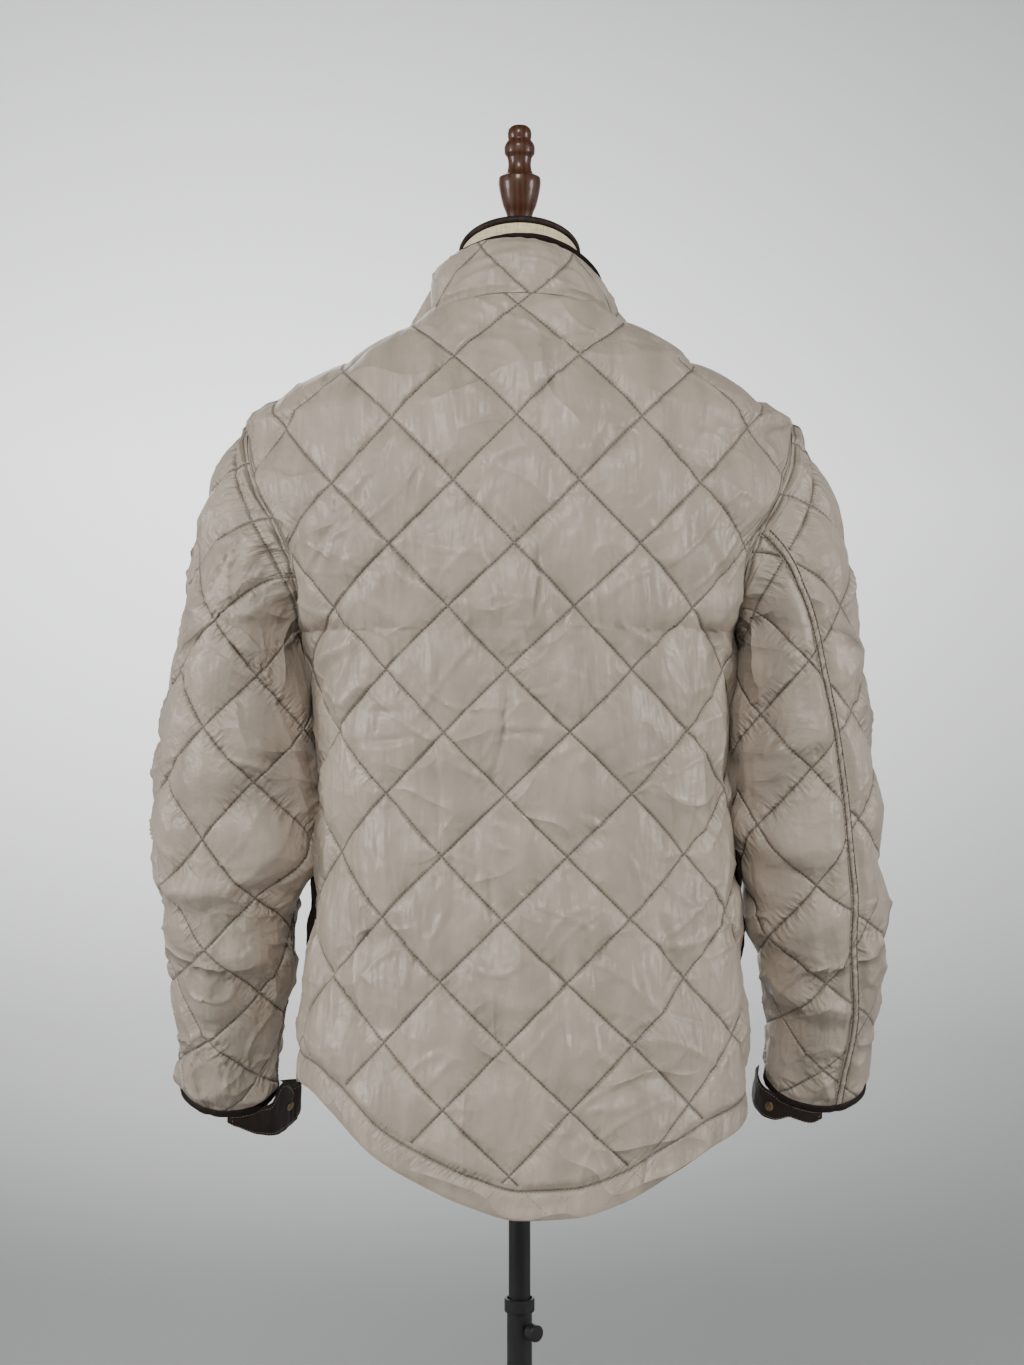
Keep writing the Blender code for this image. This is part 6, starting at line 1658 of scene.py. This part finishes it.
class JACKET_OT_collar(bpy.types.Operator):
    """Make the stand collar and its dark facing"""

    bl_idname = "jacket.collar"
    bl_label = "Collar"

    def execute(self, context):
        collar = Collar()
        quilt = Quilt(COLLAR_DIAGONAL, -0.002, lambda q: 0 * q - 0.011, 15)
        end = 1 - 0.002 / collar.half_length
        part, up = paired(np.linspace(-end, end, 321)[None, :], np.linspace(0.016, 1, 41)[:, None])
        points = collar.place(part, up)
        normals = collar.normal(part, up)
        tall = collar.height(part)
        s = part * collar.half_length
        q = up * tall
        calm = 0.05 + 0.95 * smooth_step(np.minimum(up, 1 - up) * tall / 0.009)
        rise = quilt.relief(s, q, calm)
        small = creases(s, q + 1.0, 77, 1.6) * np.sqrt(calm)
        small = small + fold_lift(COLLAR_FOLDS, s, q) * calm
        seam = drift(s / 0.007, 0 * s, 33) * np.exp(-q / 0.010)
        edge = drift(s / 0.008, 0 * s, 34) * np.exp(-(1 - up) * tall / 0.008)
        rise = rise * 0.55 + small + 0.0006 * (seam + edge)
        outer = WALL + np.maximum(rise, DEEPEST)
        thing = shell("jacket_collar", raised(points, normals, outer), points,
                      finish_of("nylon"), (s, q), quilt.marks(s, q, 1.0, 0.3), flip=True)
        finish_piece(thing, ("collar",))
        self.facing(collar, end)
        return {"FINISHED"}

    def facing(self, collar, end):
        """A facing strip inside the collar, rolled over its top edge as a thin dark piping."""
        way = np.linspace(-end, end, 241)
        section = (
            (0.00, -0.0026), (0.30, -0.0027), (0.60, -0.0028), (0.86, -0.0030), (0.97, -0.0032),
            (1.030, -0.0028), (1.060, -0.0010), (1.066, 0.0006), (1.056, 0.0020), (1.030, 0.0026),
            (1.008, 0.0024), (1.003, 0.0008), (1.000, -0.0004), (0.96, -0.0008), (0.60, -0.0008),
            (0.00, -0.0008),
        )
        rings = []
        thick = 0.55 + 1.15 * smooth_step((-way + 0.22) / 0.34) * smooth_step((way + 0.62) / 0.3)
        thick = thick + 0.05 * drift(way * 40, 0 * way, 21)
        for up, out in section:
            above = max(up - 1.0, 0.0) * thick
            level = np.minimum(up, 1.0) + above
            normals = collar.normal(way, np.minimum(level, 1.0))
            high = out * np.where(up > 0.99, thick, 1.0)
            rings.append(raised(collar.place(way, level), normals, high))
        thing = sweep("jacket_collar_facing", across_rings(rings), finish_of("tape"))
        finish_piece(thing, ("collar_facing",))


class JACKET_OT_seam_strips(bpy.types.Operator):
    """Make the felled strip along each sleeve's long seam"""

    bl_idname = "jacket.seam_strips"
    bl_label = "Sleeve seam strips"

    def execute(self, context):
        for hand in ("left", "right"):
            sleeve = Sleeve(hand)
            start = float(sleeve.cap_start(math.radians(SLEEVE_SEAM[hand][0].turn))) + 0.004
            end = sleeve.cloth_end
            along = np.linspace(start, end, 321)[:, None]
            across = np.linspace(-0.5, 0.5, 13)[None, :]
            turn = self.turn(sleeve, along, across)
            along, across = paired(along, across)
            points, normals = sleeve.lay(turn, along)
            ladder = drift(along / 0.0042, across * 2, 44)
            away = np.abs(across)
            dome = np.sqrt(np.clip(1 - (away * 2)**4, 0, 1))
            rows = np.exp(-((away - STRIP_ROW) / 0.07)**2)
            high = 0.0022 + 0.0012 * dome + 0.0008 * ladder * (away < STRIP_ROW) - 0.0006 * rows
            marks = {"row_1": 1 + (across - STRIP_ROW) * SEAM_STRIP_WIDTH,
                     "row_2": 1 + (across + STRIP_ROW) * SEAM_STRIP_WIDTH,
                     "wrinkle": 1 + 0 * across}
            thing = shell(f"jacket_sleeve_seam_{hand}", raised(points, normals, high),
                          points + normals * 0.0017, finish_of("nylon"), (across * 0.01, along),
                          marks, flip=hand == "right")
            finish_piece(thing, (f"sleeve_seam_{hand}",))
            lines = []
            for side in (-STRIP_ROW, STRIP_ROW):
                way = np.arange(start + 0.001, end - 0.001, LINE_STEP)
                points, normals = sleeve.lay(self.turn(sleeve, way, side), way)
                lines.append((points + normals * 0.0030, normals))
            sew(f"sleeve_seam_stitches_{hand}", lines, "dark_thread",
                (0.0036, 0.0028, 0.0010, 0.0006))
        return {"FINISHED"}

    def turn(self, sleeve, along, across):
        """Turn at a part of the strip's width beside the seam."""
        return sleeve.seam_turn(along) + TURN * across * SEAM_STRIP_WIDTH / sleeve.girth(along)


class JACKET_OT_quilt_stitches(bpy.types.Operator):
    """Sew the quilting, the topstitching at the armholes and the hem's row"""

    bl_idname = "jacket.quilt_stitches"
    bl_label = "Stitching"

    def execute(self, context):
        pitch = settings().stitch_pitch
        sizes = (pitch, pitch * 0.78, 0.0006, 0.0005)
        for name in ("back", "front_left", "front_right"):
            panel = BodyPanel(name)
            lines = [panel.surface(s, q, THREAD_LIFT) for s, q in panel.stitched_lines()]
            lines += self.edge_lines(panel)
            sew(f"quilting_{name}", lines, "thread", sizes)
        for hand in ("left", "right"):
            panel = SleevePanel(hand)
            lines = [panel.surface(t, a, THREAD_LIFT) for t, a in panel.stitched_lines()]
            turn = np.linspace(0, TURN, 200)
            along = panel.sleeve.cap_start(turn) + ARMHOLE_ROWS[0]
            lines.append(panel.surface(turn, along, THREAD_LIFT))
            sew(f"quilting_sleeve_{hand}", lines, "thread", sizes)
        return {"FINISHED"}

    def edge_lines(self, panel):
        """Topstitching beside the armhole and along the hem."""
        lines = []
        signs = (1, -1) if panel.sign == 0 else (panel.sign,)
        for sign in signs:
            for beside in ARMHOLE_ROWS:
                q = np.linspace(UNDERARM + 0.002, SHOULDER_TIP - 0.004, 90)
                s = sign * (panel.side.half_width(q) - beside)
                lines.append(panel.surface(s, q, THREAD_LIFT))
        wide = float(panel.side.half_width(0.79)) - 0.003
        low = PLACKET_WIDTH / 2 if panel.sign else -wide
        s = np.linspace(low, wide, 240) * (panel.sign or 1)
        q = panel.hem(s) + HEM_BAND * panel.hem_slant(s)
        lines.append(panel.surface(s, q, 0.0002))
        return lines


class JACKET_OT_placket(bpy.types.Operator):
    """Make the front placket with its rows of stitching and domed snap caps"""

    bl_idname = "jacket.placket"
    bl_label = "Placket and snaps"

    def execute(self, context):
        low = float(read_table(FRONT_HEM, 0.0)) - 0.001
        level = np.linspace(low, FRONT_NECK - 0.004, 241)[:, None]
        across = np.linspace(-0.5, 0.5, 25)[None, :]
        s, level = paired(across * PLACKET_WIDTH, level)
        points, normals = FRONT.lay(s, level)
        edge = PLACKET_WIDTH / 2 - np.abs(s)
        round_edge = np.sqrt(np.clip(edge / 0.0016, 0, 1))
        rows = np.exp(-((edge - PLACKET_ROW) / 0.0012)**2)
        wave = drift(level / 0.012, np.sign(s), 51) * np.exp(-edge / 0.006)
        soft = drift(s / 0.03, level / 0.05, 52)
        high = 0.0024 + 0.0020 * round_edge - 0.0006 * rows + 0.0005 * wave + 0.0005 * soft
        thing = shell("jacket_placket", raised(points, normals, high),
                      points + normals * 0.0022, finish_of("nylon"), (s, level),
                      {"row_1": 1 + edge - PLACKET_ROW, "wrinkle": 0.5 + 0 * edge})
        finish_piece(thing, ("placket",))
        lines = []
        for sign in (-1, 1):
            q = np.linspace(low + 0.002, FRONT_NECK - 0.006, 200)
            s = np.full_like(q, sign * (PLACKET_WIDTH / 2 - PLACKET_ROW))
            points, normals = FRONT.lay(s, q)
            lines.append((points + normals * 0.0042, normals))
        sew("placket_stitches", lines, "thread")
        for number, level in enumerate(SNAP_LEVELS, 1):
            points, normals = FRONT.lay(np.zeros(1), np.full(1, level))
            snap(f"jacket_snap_{number}", points[0] + normals[0] * 0.0043, normals[0],
                 SNAP_SIZE, f"snap_{number}")
        return {"FINISHED"}


def snap(name, point, normal, size, node):
    """A domed cap with a rolled rim and a dished middle."""
    section = ((1.0, 0.00), (1.0, 0.22), (0.97, 0.42), (0.88, 0.55), (0.80, 0.50), (0.74, 0.55),
               (0.60, 0.78), (0.40, 0.93), (0.20, 1.0), (0.0, 1.02))
    radius, height = size
    turn = np.array(Vector(normal).to_track_quat("Z", "Y").to_matrix())
    rings = [circle(r * radius, h * height, 32) @ turn.T + point for r, h in section]
    finish_piece(sweep(name, rings, finish_of("brass")), (node,))


class JACKET_OT_pockets(bpy.types.Operator):
    """Make the bound, gaping lips of the two side pockets"""

    bl_idname = "jacket.pockets"
    bl_label = "Pockets"

    def execute(self, context):
        for hand, sign in (("left", 1), ("right", -1)):
            for lip, away in (("rear", -1), ("front", 1)):
                self.lip(hand, sign, lip, away)
        return {"FINISHED"}

    def beside_seam(self, ahead, level, sign):
        """Points and normals of the body at distances ahead of a side seam."""
        found = []
        for side, inward in ((FRONT, ahead), (BACK, -ahead)):
            s = sign * (side.half_width(level) - np.maximum(inward, 0))
            found.append(side.lay(s, level))
        in_front = (ahead > 0)[:, None]
        return tuple(np.where(in_front, front, back) for front, back in zip(*found))

    def lip(self, hand, sign, lip, away):
        t = np.linspace(0, 1, 81)
        level = POCKET_TOP.level + t * (POCKET_LOW.level - POCKET_TOP.level)
        slit = POCKET_TOP.ahead + t * (POCKET_LOW.ahead - POCKET_TOP.ahead)
        slit = slit - POCKET_BOW * np.sin(math.pi * t)
        apart = LIP_APART / 2 + POCKET_GAPE / 2 * np.sin(math.pi * t)
        wobble = 0.0007 * drift(t * 14, 0 * t, 61 + away) * np.sin(math.pi * t)
        swell = 0.5 + 0.5 * np.sin(math.pi * t)
        sections = []
        for angle in angles(16):
            across = 0.5 + 0.5 * math.cos(angle)
            up = 0.5 + 0.5 * math.sin(angle)
            ahead = slit + away * (apart + wobble + across * LIP_WIDTH)
            points, normals = self.beside_seam(ahead, level, sign)
            wave = 0.0004 * drift(t * 30, angle + 0 * t, 66)
            foot = WALL + 0.0062 * smooth_step(np.abs(ahead) / SEAM_FLAT) + 0.0008
            high = foot - 0.002 + up * (LIP_HEIGHT * swell + 0.003) + wave
            sections.append(raised(points, normals, high))
        thing = sweep(f"jacket_pocket_{hand}_{lip}", across_rings(sections), finish_of("tape"))
        finish_piece(thing, (f"pocket_{hand}_{lip}",))


class JACKET_OT_cuffs(bpy.types.Operator):
    """Make the cuff bindings, the leather tabs and their snaps"""

    bl_idname = "jacket.cuffs"
    bl_label = "Cuffs"

    def execute(self, context):
        for hand in ("left", "right"):
            sleeve = Sleeve(hand)
            self.binding(hand, sleeve)
            self.tab(hand, sleeve)
        return {"FINISHED"}

    def binding(self, hand, sleeve):
        """Tape folded round the cuff's edge."""
        section = (
            (-7.0, 2.6), (-6.6, 3.3), (-5.0, 3.8), (-3.0, 3.9), (-1.0, 3.6), (0.6, 2.8),
            (1.3, 1.6), (1.5, 0.4), (1.0, -0.9), (-0.4, -1.6), (-3.0, -1.7), (-5.2, -1.5),
            (-5.4, -0.6), (-3.0, -0.4), (-0.8, -0.3), (0.1, 0.4), (0.1, 1.4), (-0.6, 2.0),
            (-3.0, 2.1), (-6.4, 2.1),
        )
        turn = angles(144)
        rings = []
        foot, outward = sleeve.lay(turn, sleeve.length)
        above, _ = sleeve.lay(turn, sleeve.length - 0.012)
        down = unit(foot - above)
        wobble = 0.00035 * drift(turn * 9, 0 * turn, 71)
        for along, high in section:
            reach = along / 1000 + wobble * (along > -2)
            rings.append(foot + down * reach[:, None] + outward * (high / 1000 + wobble)[:, None])
        thing = sweep(f"jacket_cuff_binding_{hand}", across_rings(rings), finish_of("tape"),
                      closed_way=True)
        finish_piece(thing, (f"cuff_binding_{hand}",))

    def tab(self, hand, sleeve):
        """Leather tab that hangs from the binding and flares away from the wrist."""
        rows = CUFF_TABS[hand]
        fine = np.linspace(0, len(rows) - 1, 97)
        table = TabRow(*spline(np.arange(len(rows)), np.array(rows), fine).T)
        turn = np.radians(table.turn)
        cuff, outward = sleeve.lay(turn, sleeve.length)
        above, _ = sleeve.lay(turn, sleeve.length - 0.03)
        down = unit(cuff - above)
        free = smooth_step(-table.upper / 0.008)
        side = np.minimum(fine, len(rows) - 1 - fine) * 0.012
        share = np.linspace(0, 1, 25)
        outer, inner = [], []
        for t in share:
            beyond = table.upper + t * (table.lower - table.upper)
            out = table.out * (free + (1 - free) * t**0.7)
            point = cuff + down * beyond[:, None] + outward * out[:, None]
            wave = 0.0006 * drift(fine * 2.2, t * 3 + 0 * fine, 72)
            edge = np.minimum(min(t, 1 - t) * np.abs(table.lower - table.upper), side)
            round_edge = np.sqrt(np.clip(edge / 0.0010, 0, 1))
            sewn = np.exp(-((edge - 0.0022) / 0.0007)**2)
            thick = TAB_WALL * 0.5 * (0.35 + 0.65 * round_edge) - 0.0003 * sewn
            middle = point + outward * (TAB_WALL * 0.5 + wave)[:, None]
            outer.append(middle + outward * thick[:, None])
            inner.append(middle - outward * thick[:, None])
        outer, inner = np.array(outer), np.array(inner)
        uv = paired(fine[None, :] * 0.01, share[:, None] * 0.03)
        thing = shell(f"jacket_cuff_tab_{hand}", outer, inner, finish_of("leather"), uv, {},
                      flip=hand == "left")
        finish_piece(thing, (f"cuff_tab_{hand}",))
        stitched = [(outer[row] + outward * THREAD_LIFT, outward) for row in (2, -3)]
        for column in (4, -5):
            ups = np.repeat(outward[column][None], len(share) - 4, axis=0)
            stitched.append((outer[2:-2, column] + ups * THREAD_LIFT, ups))
        sew(f"tab_stitches_{hand}", stitched, "pale_thread",
            (0.0030, 0.0020, 0.0006, 0.0005))
        at = int(np.argmin(np.abs(table.turn - TAB_SNAP_TURN[hand])))
        across = outer[12, at + 2] - outer[12, at - 2]
        facing = unit(np.cross(across, outer[16, at] - outer[8, at]))
        if facing @ outward[at] < 0:
            facing = -facing
        snap(f"jacket_tab_snap_{hand}", outer[12, at] + facing * 0.0002, facing, TAB_SNAP_SIZE,
             f"tab_snap_{hand}")


# ---------------------------------------------------------------- dress form and stand
def torso_ring(level, count):
    """One closed ring of the form, inside the cloth at this level."""
    inside_by = float(read_table(TORSO_CLEARANCE, level))
    parts = np.linspace(0, TORSO_SHARE, count)
    neck_share = max(0.0, (level - SHOULDER_TIP) / (NECK_LEVEL - SHOULDER_TIP))
    drop = neck_share * (NECK_LEVEL - FRONT_NECK) * (1 - parts**2)**0.45
    ring = []
    for side, order, levels in ((BACK, parts, np.full_like(parts, level)),
                                (FRONT, parts[::-1], (level - drop)[::-1])):
        points = side.place(order, levels)
        ring.append(points - side.bare_normal(order, levels) * inside_by)
    back, front = ring
    gap = front[0] - back[-1]
    bulge = np.array([0.004 * min(1.0, abs(gap[1]) / 0.05), 0, 0])
    arm = [back[-1] + gap * t + bulge * math.sin(math.pi * t) for t in (0.2, 0.4, 0.6, 0.8)]
    half = np.concatenate([back, arm, front])
    shift = body_shift(level)
    half[:, 0] -= shift
    mirrored = half[1:-1][::-1] * np.array([-1, 1, 1])
    ring = np.concatenate([half, mirrored])
    ring[:, 0] += shift
    return ring


class JACKET_OT_form(bpy.types.Operator):
    """Make the linen torso, the neck cap and the turned finial"""

    bl_idname = "jacket.form"
    bl_label = "Dress form"

    def execute(self, context):
        knots = np.array((0.83, 0.91, 0.99, 1.07, 1.14, 1.195, 1.23, 1.265, 1.30, 1.33, 1.357, 1.38,
                          1.405, 1.43, 1.455, 1.475))
        rings = [torso_ring(level, 22) for level in knots]
        rings[0][:, 2] = TORSO_BOTTOM
        spokes = rings[-1] - rings[-1].mean(axis=0)
        turn = np.arctan2(spokes[:, 0], spokes[:, 1])
        c, n = math.cos(NECK_TILT), math.sin(NECK_TILT)
        for row in NECK_RINGS:
            x, y = row.across * np.sin(turn), row.depth * np.cos(turn)
            rings.append(np.stack([x, row.y + y * c, row.z + y * n], axis=1))
        rings = np.array(rings)
        heights = np.linspace(0, len(rings) - 1, 5 * len(rings))
        table = rings.reshape(len(rings), -1)
        fine = spline(np.arange(len(rings)), table, heights).reshape(len(heights), -1, 3)
        middle = fine[0].mean(axis=0)
        inset = [middle + (fine[0] - middle) * share for share in (0.03, 0.985)]
        fine = np.concatenate([inset, fine])
        thing = sweep("linen_form", fine, finish_of("linen"))
        finish_piece(thing, ("form_torso",))
        half = CAP_THICK / 2
        edge = 0.0022
        profile = [(0, half), (CAP_RADIUS * 0.6, half), (CAP_RADIUS - edge, half)]
        for k in range(1, 8):
            a = math.pi / 2 * k / 4
            profile.append((CAP_RADIUS - edge + edge * math.sin(a), half * math.cos(a)))
        profile += [(CAP_RADIUS - edge, -half), (CAP_RADIUS * 0.6, -half), (0, -half)]
        rings = []
        for radius, z in profile:
            x, y, z = circle(radius, z, 96).T
            rings.append(np.stack([x, y * c - z * n, y * n + z * c + CAP_MIDDLE_Z], axis=-1))
        cap = sweep("neck_cap_rim", rings, finish_of("cap"))
        finish_piece(cap, ("neck_cap",))
        self.finial()
        return {"FINISHED"}

    def finial(self):
        """Turned finial, with its foot cut to the slope of the cap."""
        table = np.array(FINIAL_PROFILE)
        way = travelled(table)
        fine = spline(way, table, np.linspace(0, way[-1], 150))
        floor_z = CAP_MIDDLE_Z + (CAP_THICK / 2 + 0.0003) / math.cos(NECK_TILT)
        rings = []
        for radius, z in fine:
            ring = circle(radius, z, 72)
            ring[:, 2] = np.maximum(z, floor_z + ring[:, 1] * math.tan(NECK_TILT))
            rings.append(ring)
        last = rings[-1]
        rings.append(last.mean(axis=0) + (last - last.mean(axis=0)) * 0.01)
        rings = [r for k, r in enumerate(rings) if k == 0 or np.abs(r - rings[k - 1]).max() > 1e-6]
        thing = sweep("walnut_finial", rings, finish_of("walnut"))
        finish_piece(thing, ("finial",))


class JACKET_OT_stand(bpy.types.Operator):
    """Give the poles, ring, knob, socket and base their lacquer"""

    bl_idname = "jacket.stand"
    bl_label = "Stand"

    def execute(self, context):
        for node in ("pole_flange", "pole_upper", "pole_lower", "pole_ring", "lock_knob", "base",
                     "base_socket"):
            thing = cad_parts[node]
            thing.data.materials.clear()
            thing.data.materials.append(finish_of("metal"))
        return {"FINISHED"}


# ---------------------------------------------------------------- studio
SENSOR = 36.0            # mm
FOCAL_PIXELS = 2160
FRAME_PIXELS = 1365      # the frame's height


class JACKET_OT_stage(bpy.types.Operator):
    """Set up the pale studio sweep, its soft lights and the camera"""

    bl_idname = "jacket.stage"
    bl_label = "Studio"

    def execute(self, context):
        self.sweep()
        for name, at, aim, size, spread, power, colour in (
                # name, place, aim, size, spread in degrees, power and colour
                ("key", (0.4, 2.8, 2.9), (0, 0, 1.15), 1.0, 180, 62, (1.0, 0.985, 0.96)),
                ("left", (2.9, 1.1, 1.6), (0, 0, 1.15), 1.0, 180, 50, (1.0, 0.985, 0.97)),
                ("right", (-2.9, 1.1, 1.6), (0, 0, 1.15), 1.0, 180, 46, (1.0, 0.985, 0.97)),
                ("front", (0.6, -2.8, 2.4), (0, 0, 1.1), 2.0, 180, 28, (1.0, 0.99, 0.98)),
                ("backdrop", (0.9, -1.8, 2.6), (0.35, -5.4, 1.6), 2.0, 115, 110,
                 (1.0, 0.995, 0.99))):
            light = bpy.data.lights.new(name, "AREA")
            light.shape = "DISK"
            light.size = size
            light.spread = math.radians(spread)
            light.energy = power
            light.color = colour
            lamp = bpy.data.objects.new(name, light)
            lamp.location = at
            lamp.rotation_euler = (Vector(aim) - Vector(at)).to_track_quat("-Z", "Y").to_euler()
            lamp.visible_camera = False
            bpy.context.scene.collection.objects.link(lamp)
        world = bpy.data.worlds.new("studio_air")
        world.use_nodes = True
        air = world.node_tree.nodes["Background"]
        air.inputs["Color"].default_value = (0.86, 0.89, 0.92, 1)
        air.inputs["Strength"].default_value = 0.07
        bpy.context.scene.world = world
        camera = bpy.data.cameras.new("camera")
        camera.sensor_width = SENSOR
        camera.lens = FOCAL_PIXELS * SENSOR / FRAME_PIXELS
        eye = bpy.data.objects.new("camera", camera)
        eye.location = (0.0067, 1.93, 1.15)
        eye.rotation_euler = (math.pi / 2, 0, math.pi)
        bpy.context.scene.collection.objects.link(eye)
        bpy.context.scene.camera = eye
        return {"FINISHED"}

    def sweep(self):
        """Round floor that bends up into a wall, in greys that change with the distance: painted
        light and shade, darker across the near floor and at the top of the wall, brightest low on
        the wall, and shifted a little from side to side.
        """
        paint = Paint("studio_paper")
        where = paint.node("ShaderNodeSeparateXYZ")
        spot = paint.coords((1, 1, 1))
        paint.link(spot, where.inputs["Vector"])
        far = paint.node("ShaderNodeVectorMath", operation="LENGTH")
        paint.link(spot, far.inputs[0])
        reach = paint.maths("ADD", far.outputs["Value"], paint.times(where.outputs["X"], -0.04))
        # Painted light and shade on the paper: the greys darken the near floor and the top of the
        # wall and brighten the wall's low part like a pool of light.
        greys = ((0.0, 0.42), (0.36, 0.44), (0.70, 0.86), (1.0, 0.50))
        tone = paint.ramp(paint.span(reach, 1.6, 7.0, 0.0, 1.0),
                          [(at, (0.985 * grey, grey, 1.01 * grey)) for at, grey in greys])
        paint.into("Base Color", tone)
        paint.set(Roughness=0.9)
        flat, bend, wall, floor_z = 2.2, 3.2, 7.0, -0.0002
        profile = [(1e-4, floor_z)] + [(flat * k / 6, floor_z) for k in range(1, 7)]
        for k in range(1, 33):
            a = math.pi / 2 * k / 32
            profile.append((flat + bend * math.sin(a), bend - bend * math.cos(a) + floor_z))
        profile.append((flat + bend, wall))
        around = 96
        rings = np.concatenate([circle(radius, z, around) for radius, z in profile])
        index = np.arange(len(rings)).reshape(-1, around)
        return mesh_object("studio_sweep", rings, quads(index, True), paint.material, sharp=180)


PIECES = (
    JACKET_OT_back, JACKET_OT_fronts, JACKET_OT_sleeves, JACKET_OT_collar,
    JACKET_OT_seam_strips, JACKET_OT_quilt_stitches, JACKET_OT_placket, JACKET_OT_pockets,
    JACKET_OT_cuffs, JACKET_OT_form, JACKET_OT_stand, JACKET_OT_stage,
)


class JACKET_PT_panel(bpy.types.Panel):
    """Lists the jacket's pieces and settings."""

    bl_idname = "JACKET_PT_panel"
    bl_label = "Quilted jacket"
    bl_space_type = "VIEW_3D"
    bl_region_type = "UI"
    bl_category = "Jacket"

    def draw(self, context):
        column = self.layout.column()
        for key in JacketSettings.__annotations__:
            column.prop(context.scene.quilted_jacket, key)
        for piece in PIECES:
            column.operator(piece.bl_idname)


CLASSES = (JacketSettings,) + PIECES + (JACKET_PT_panel,)


def register():
    for item in CLASSES:
        bpy.utils.register_class(item)
    bpy.types.Scene.quilted_jacket = PointerProperty(type=JacketSettings)


def unregister():
    del bpy.types.Scene.quilted_jacket
    for item in reversed(CLASSES):
        bpy.utils.unregister_class(item)


def main():
    register()
    for piece in PIECES:
        group, name = piece.bl_idname.split(".")
        getattr(getattr(bpy.ops, group), name)()


if __name__ == "__main__":
    main()
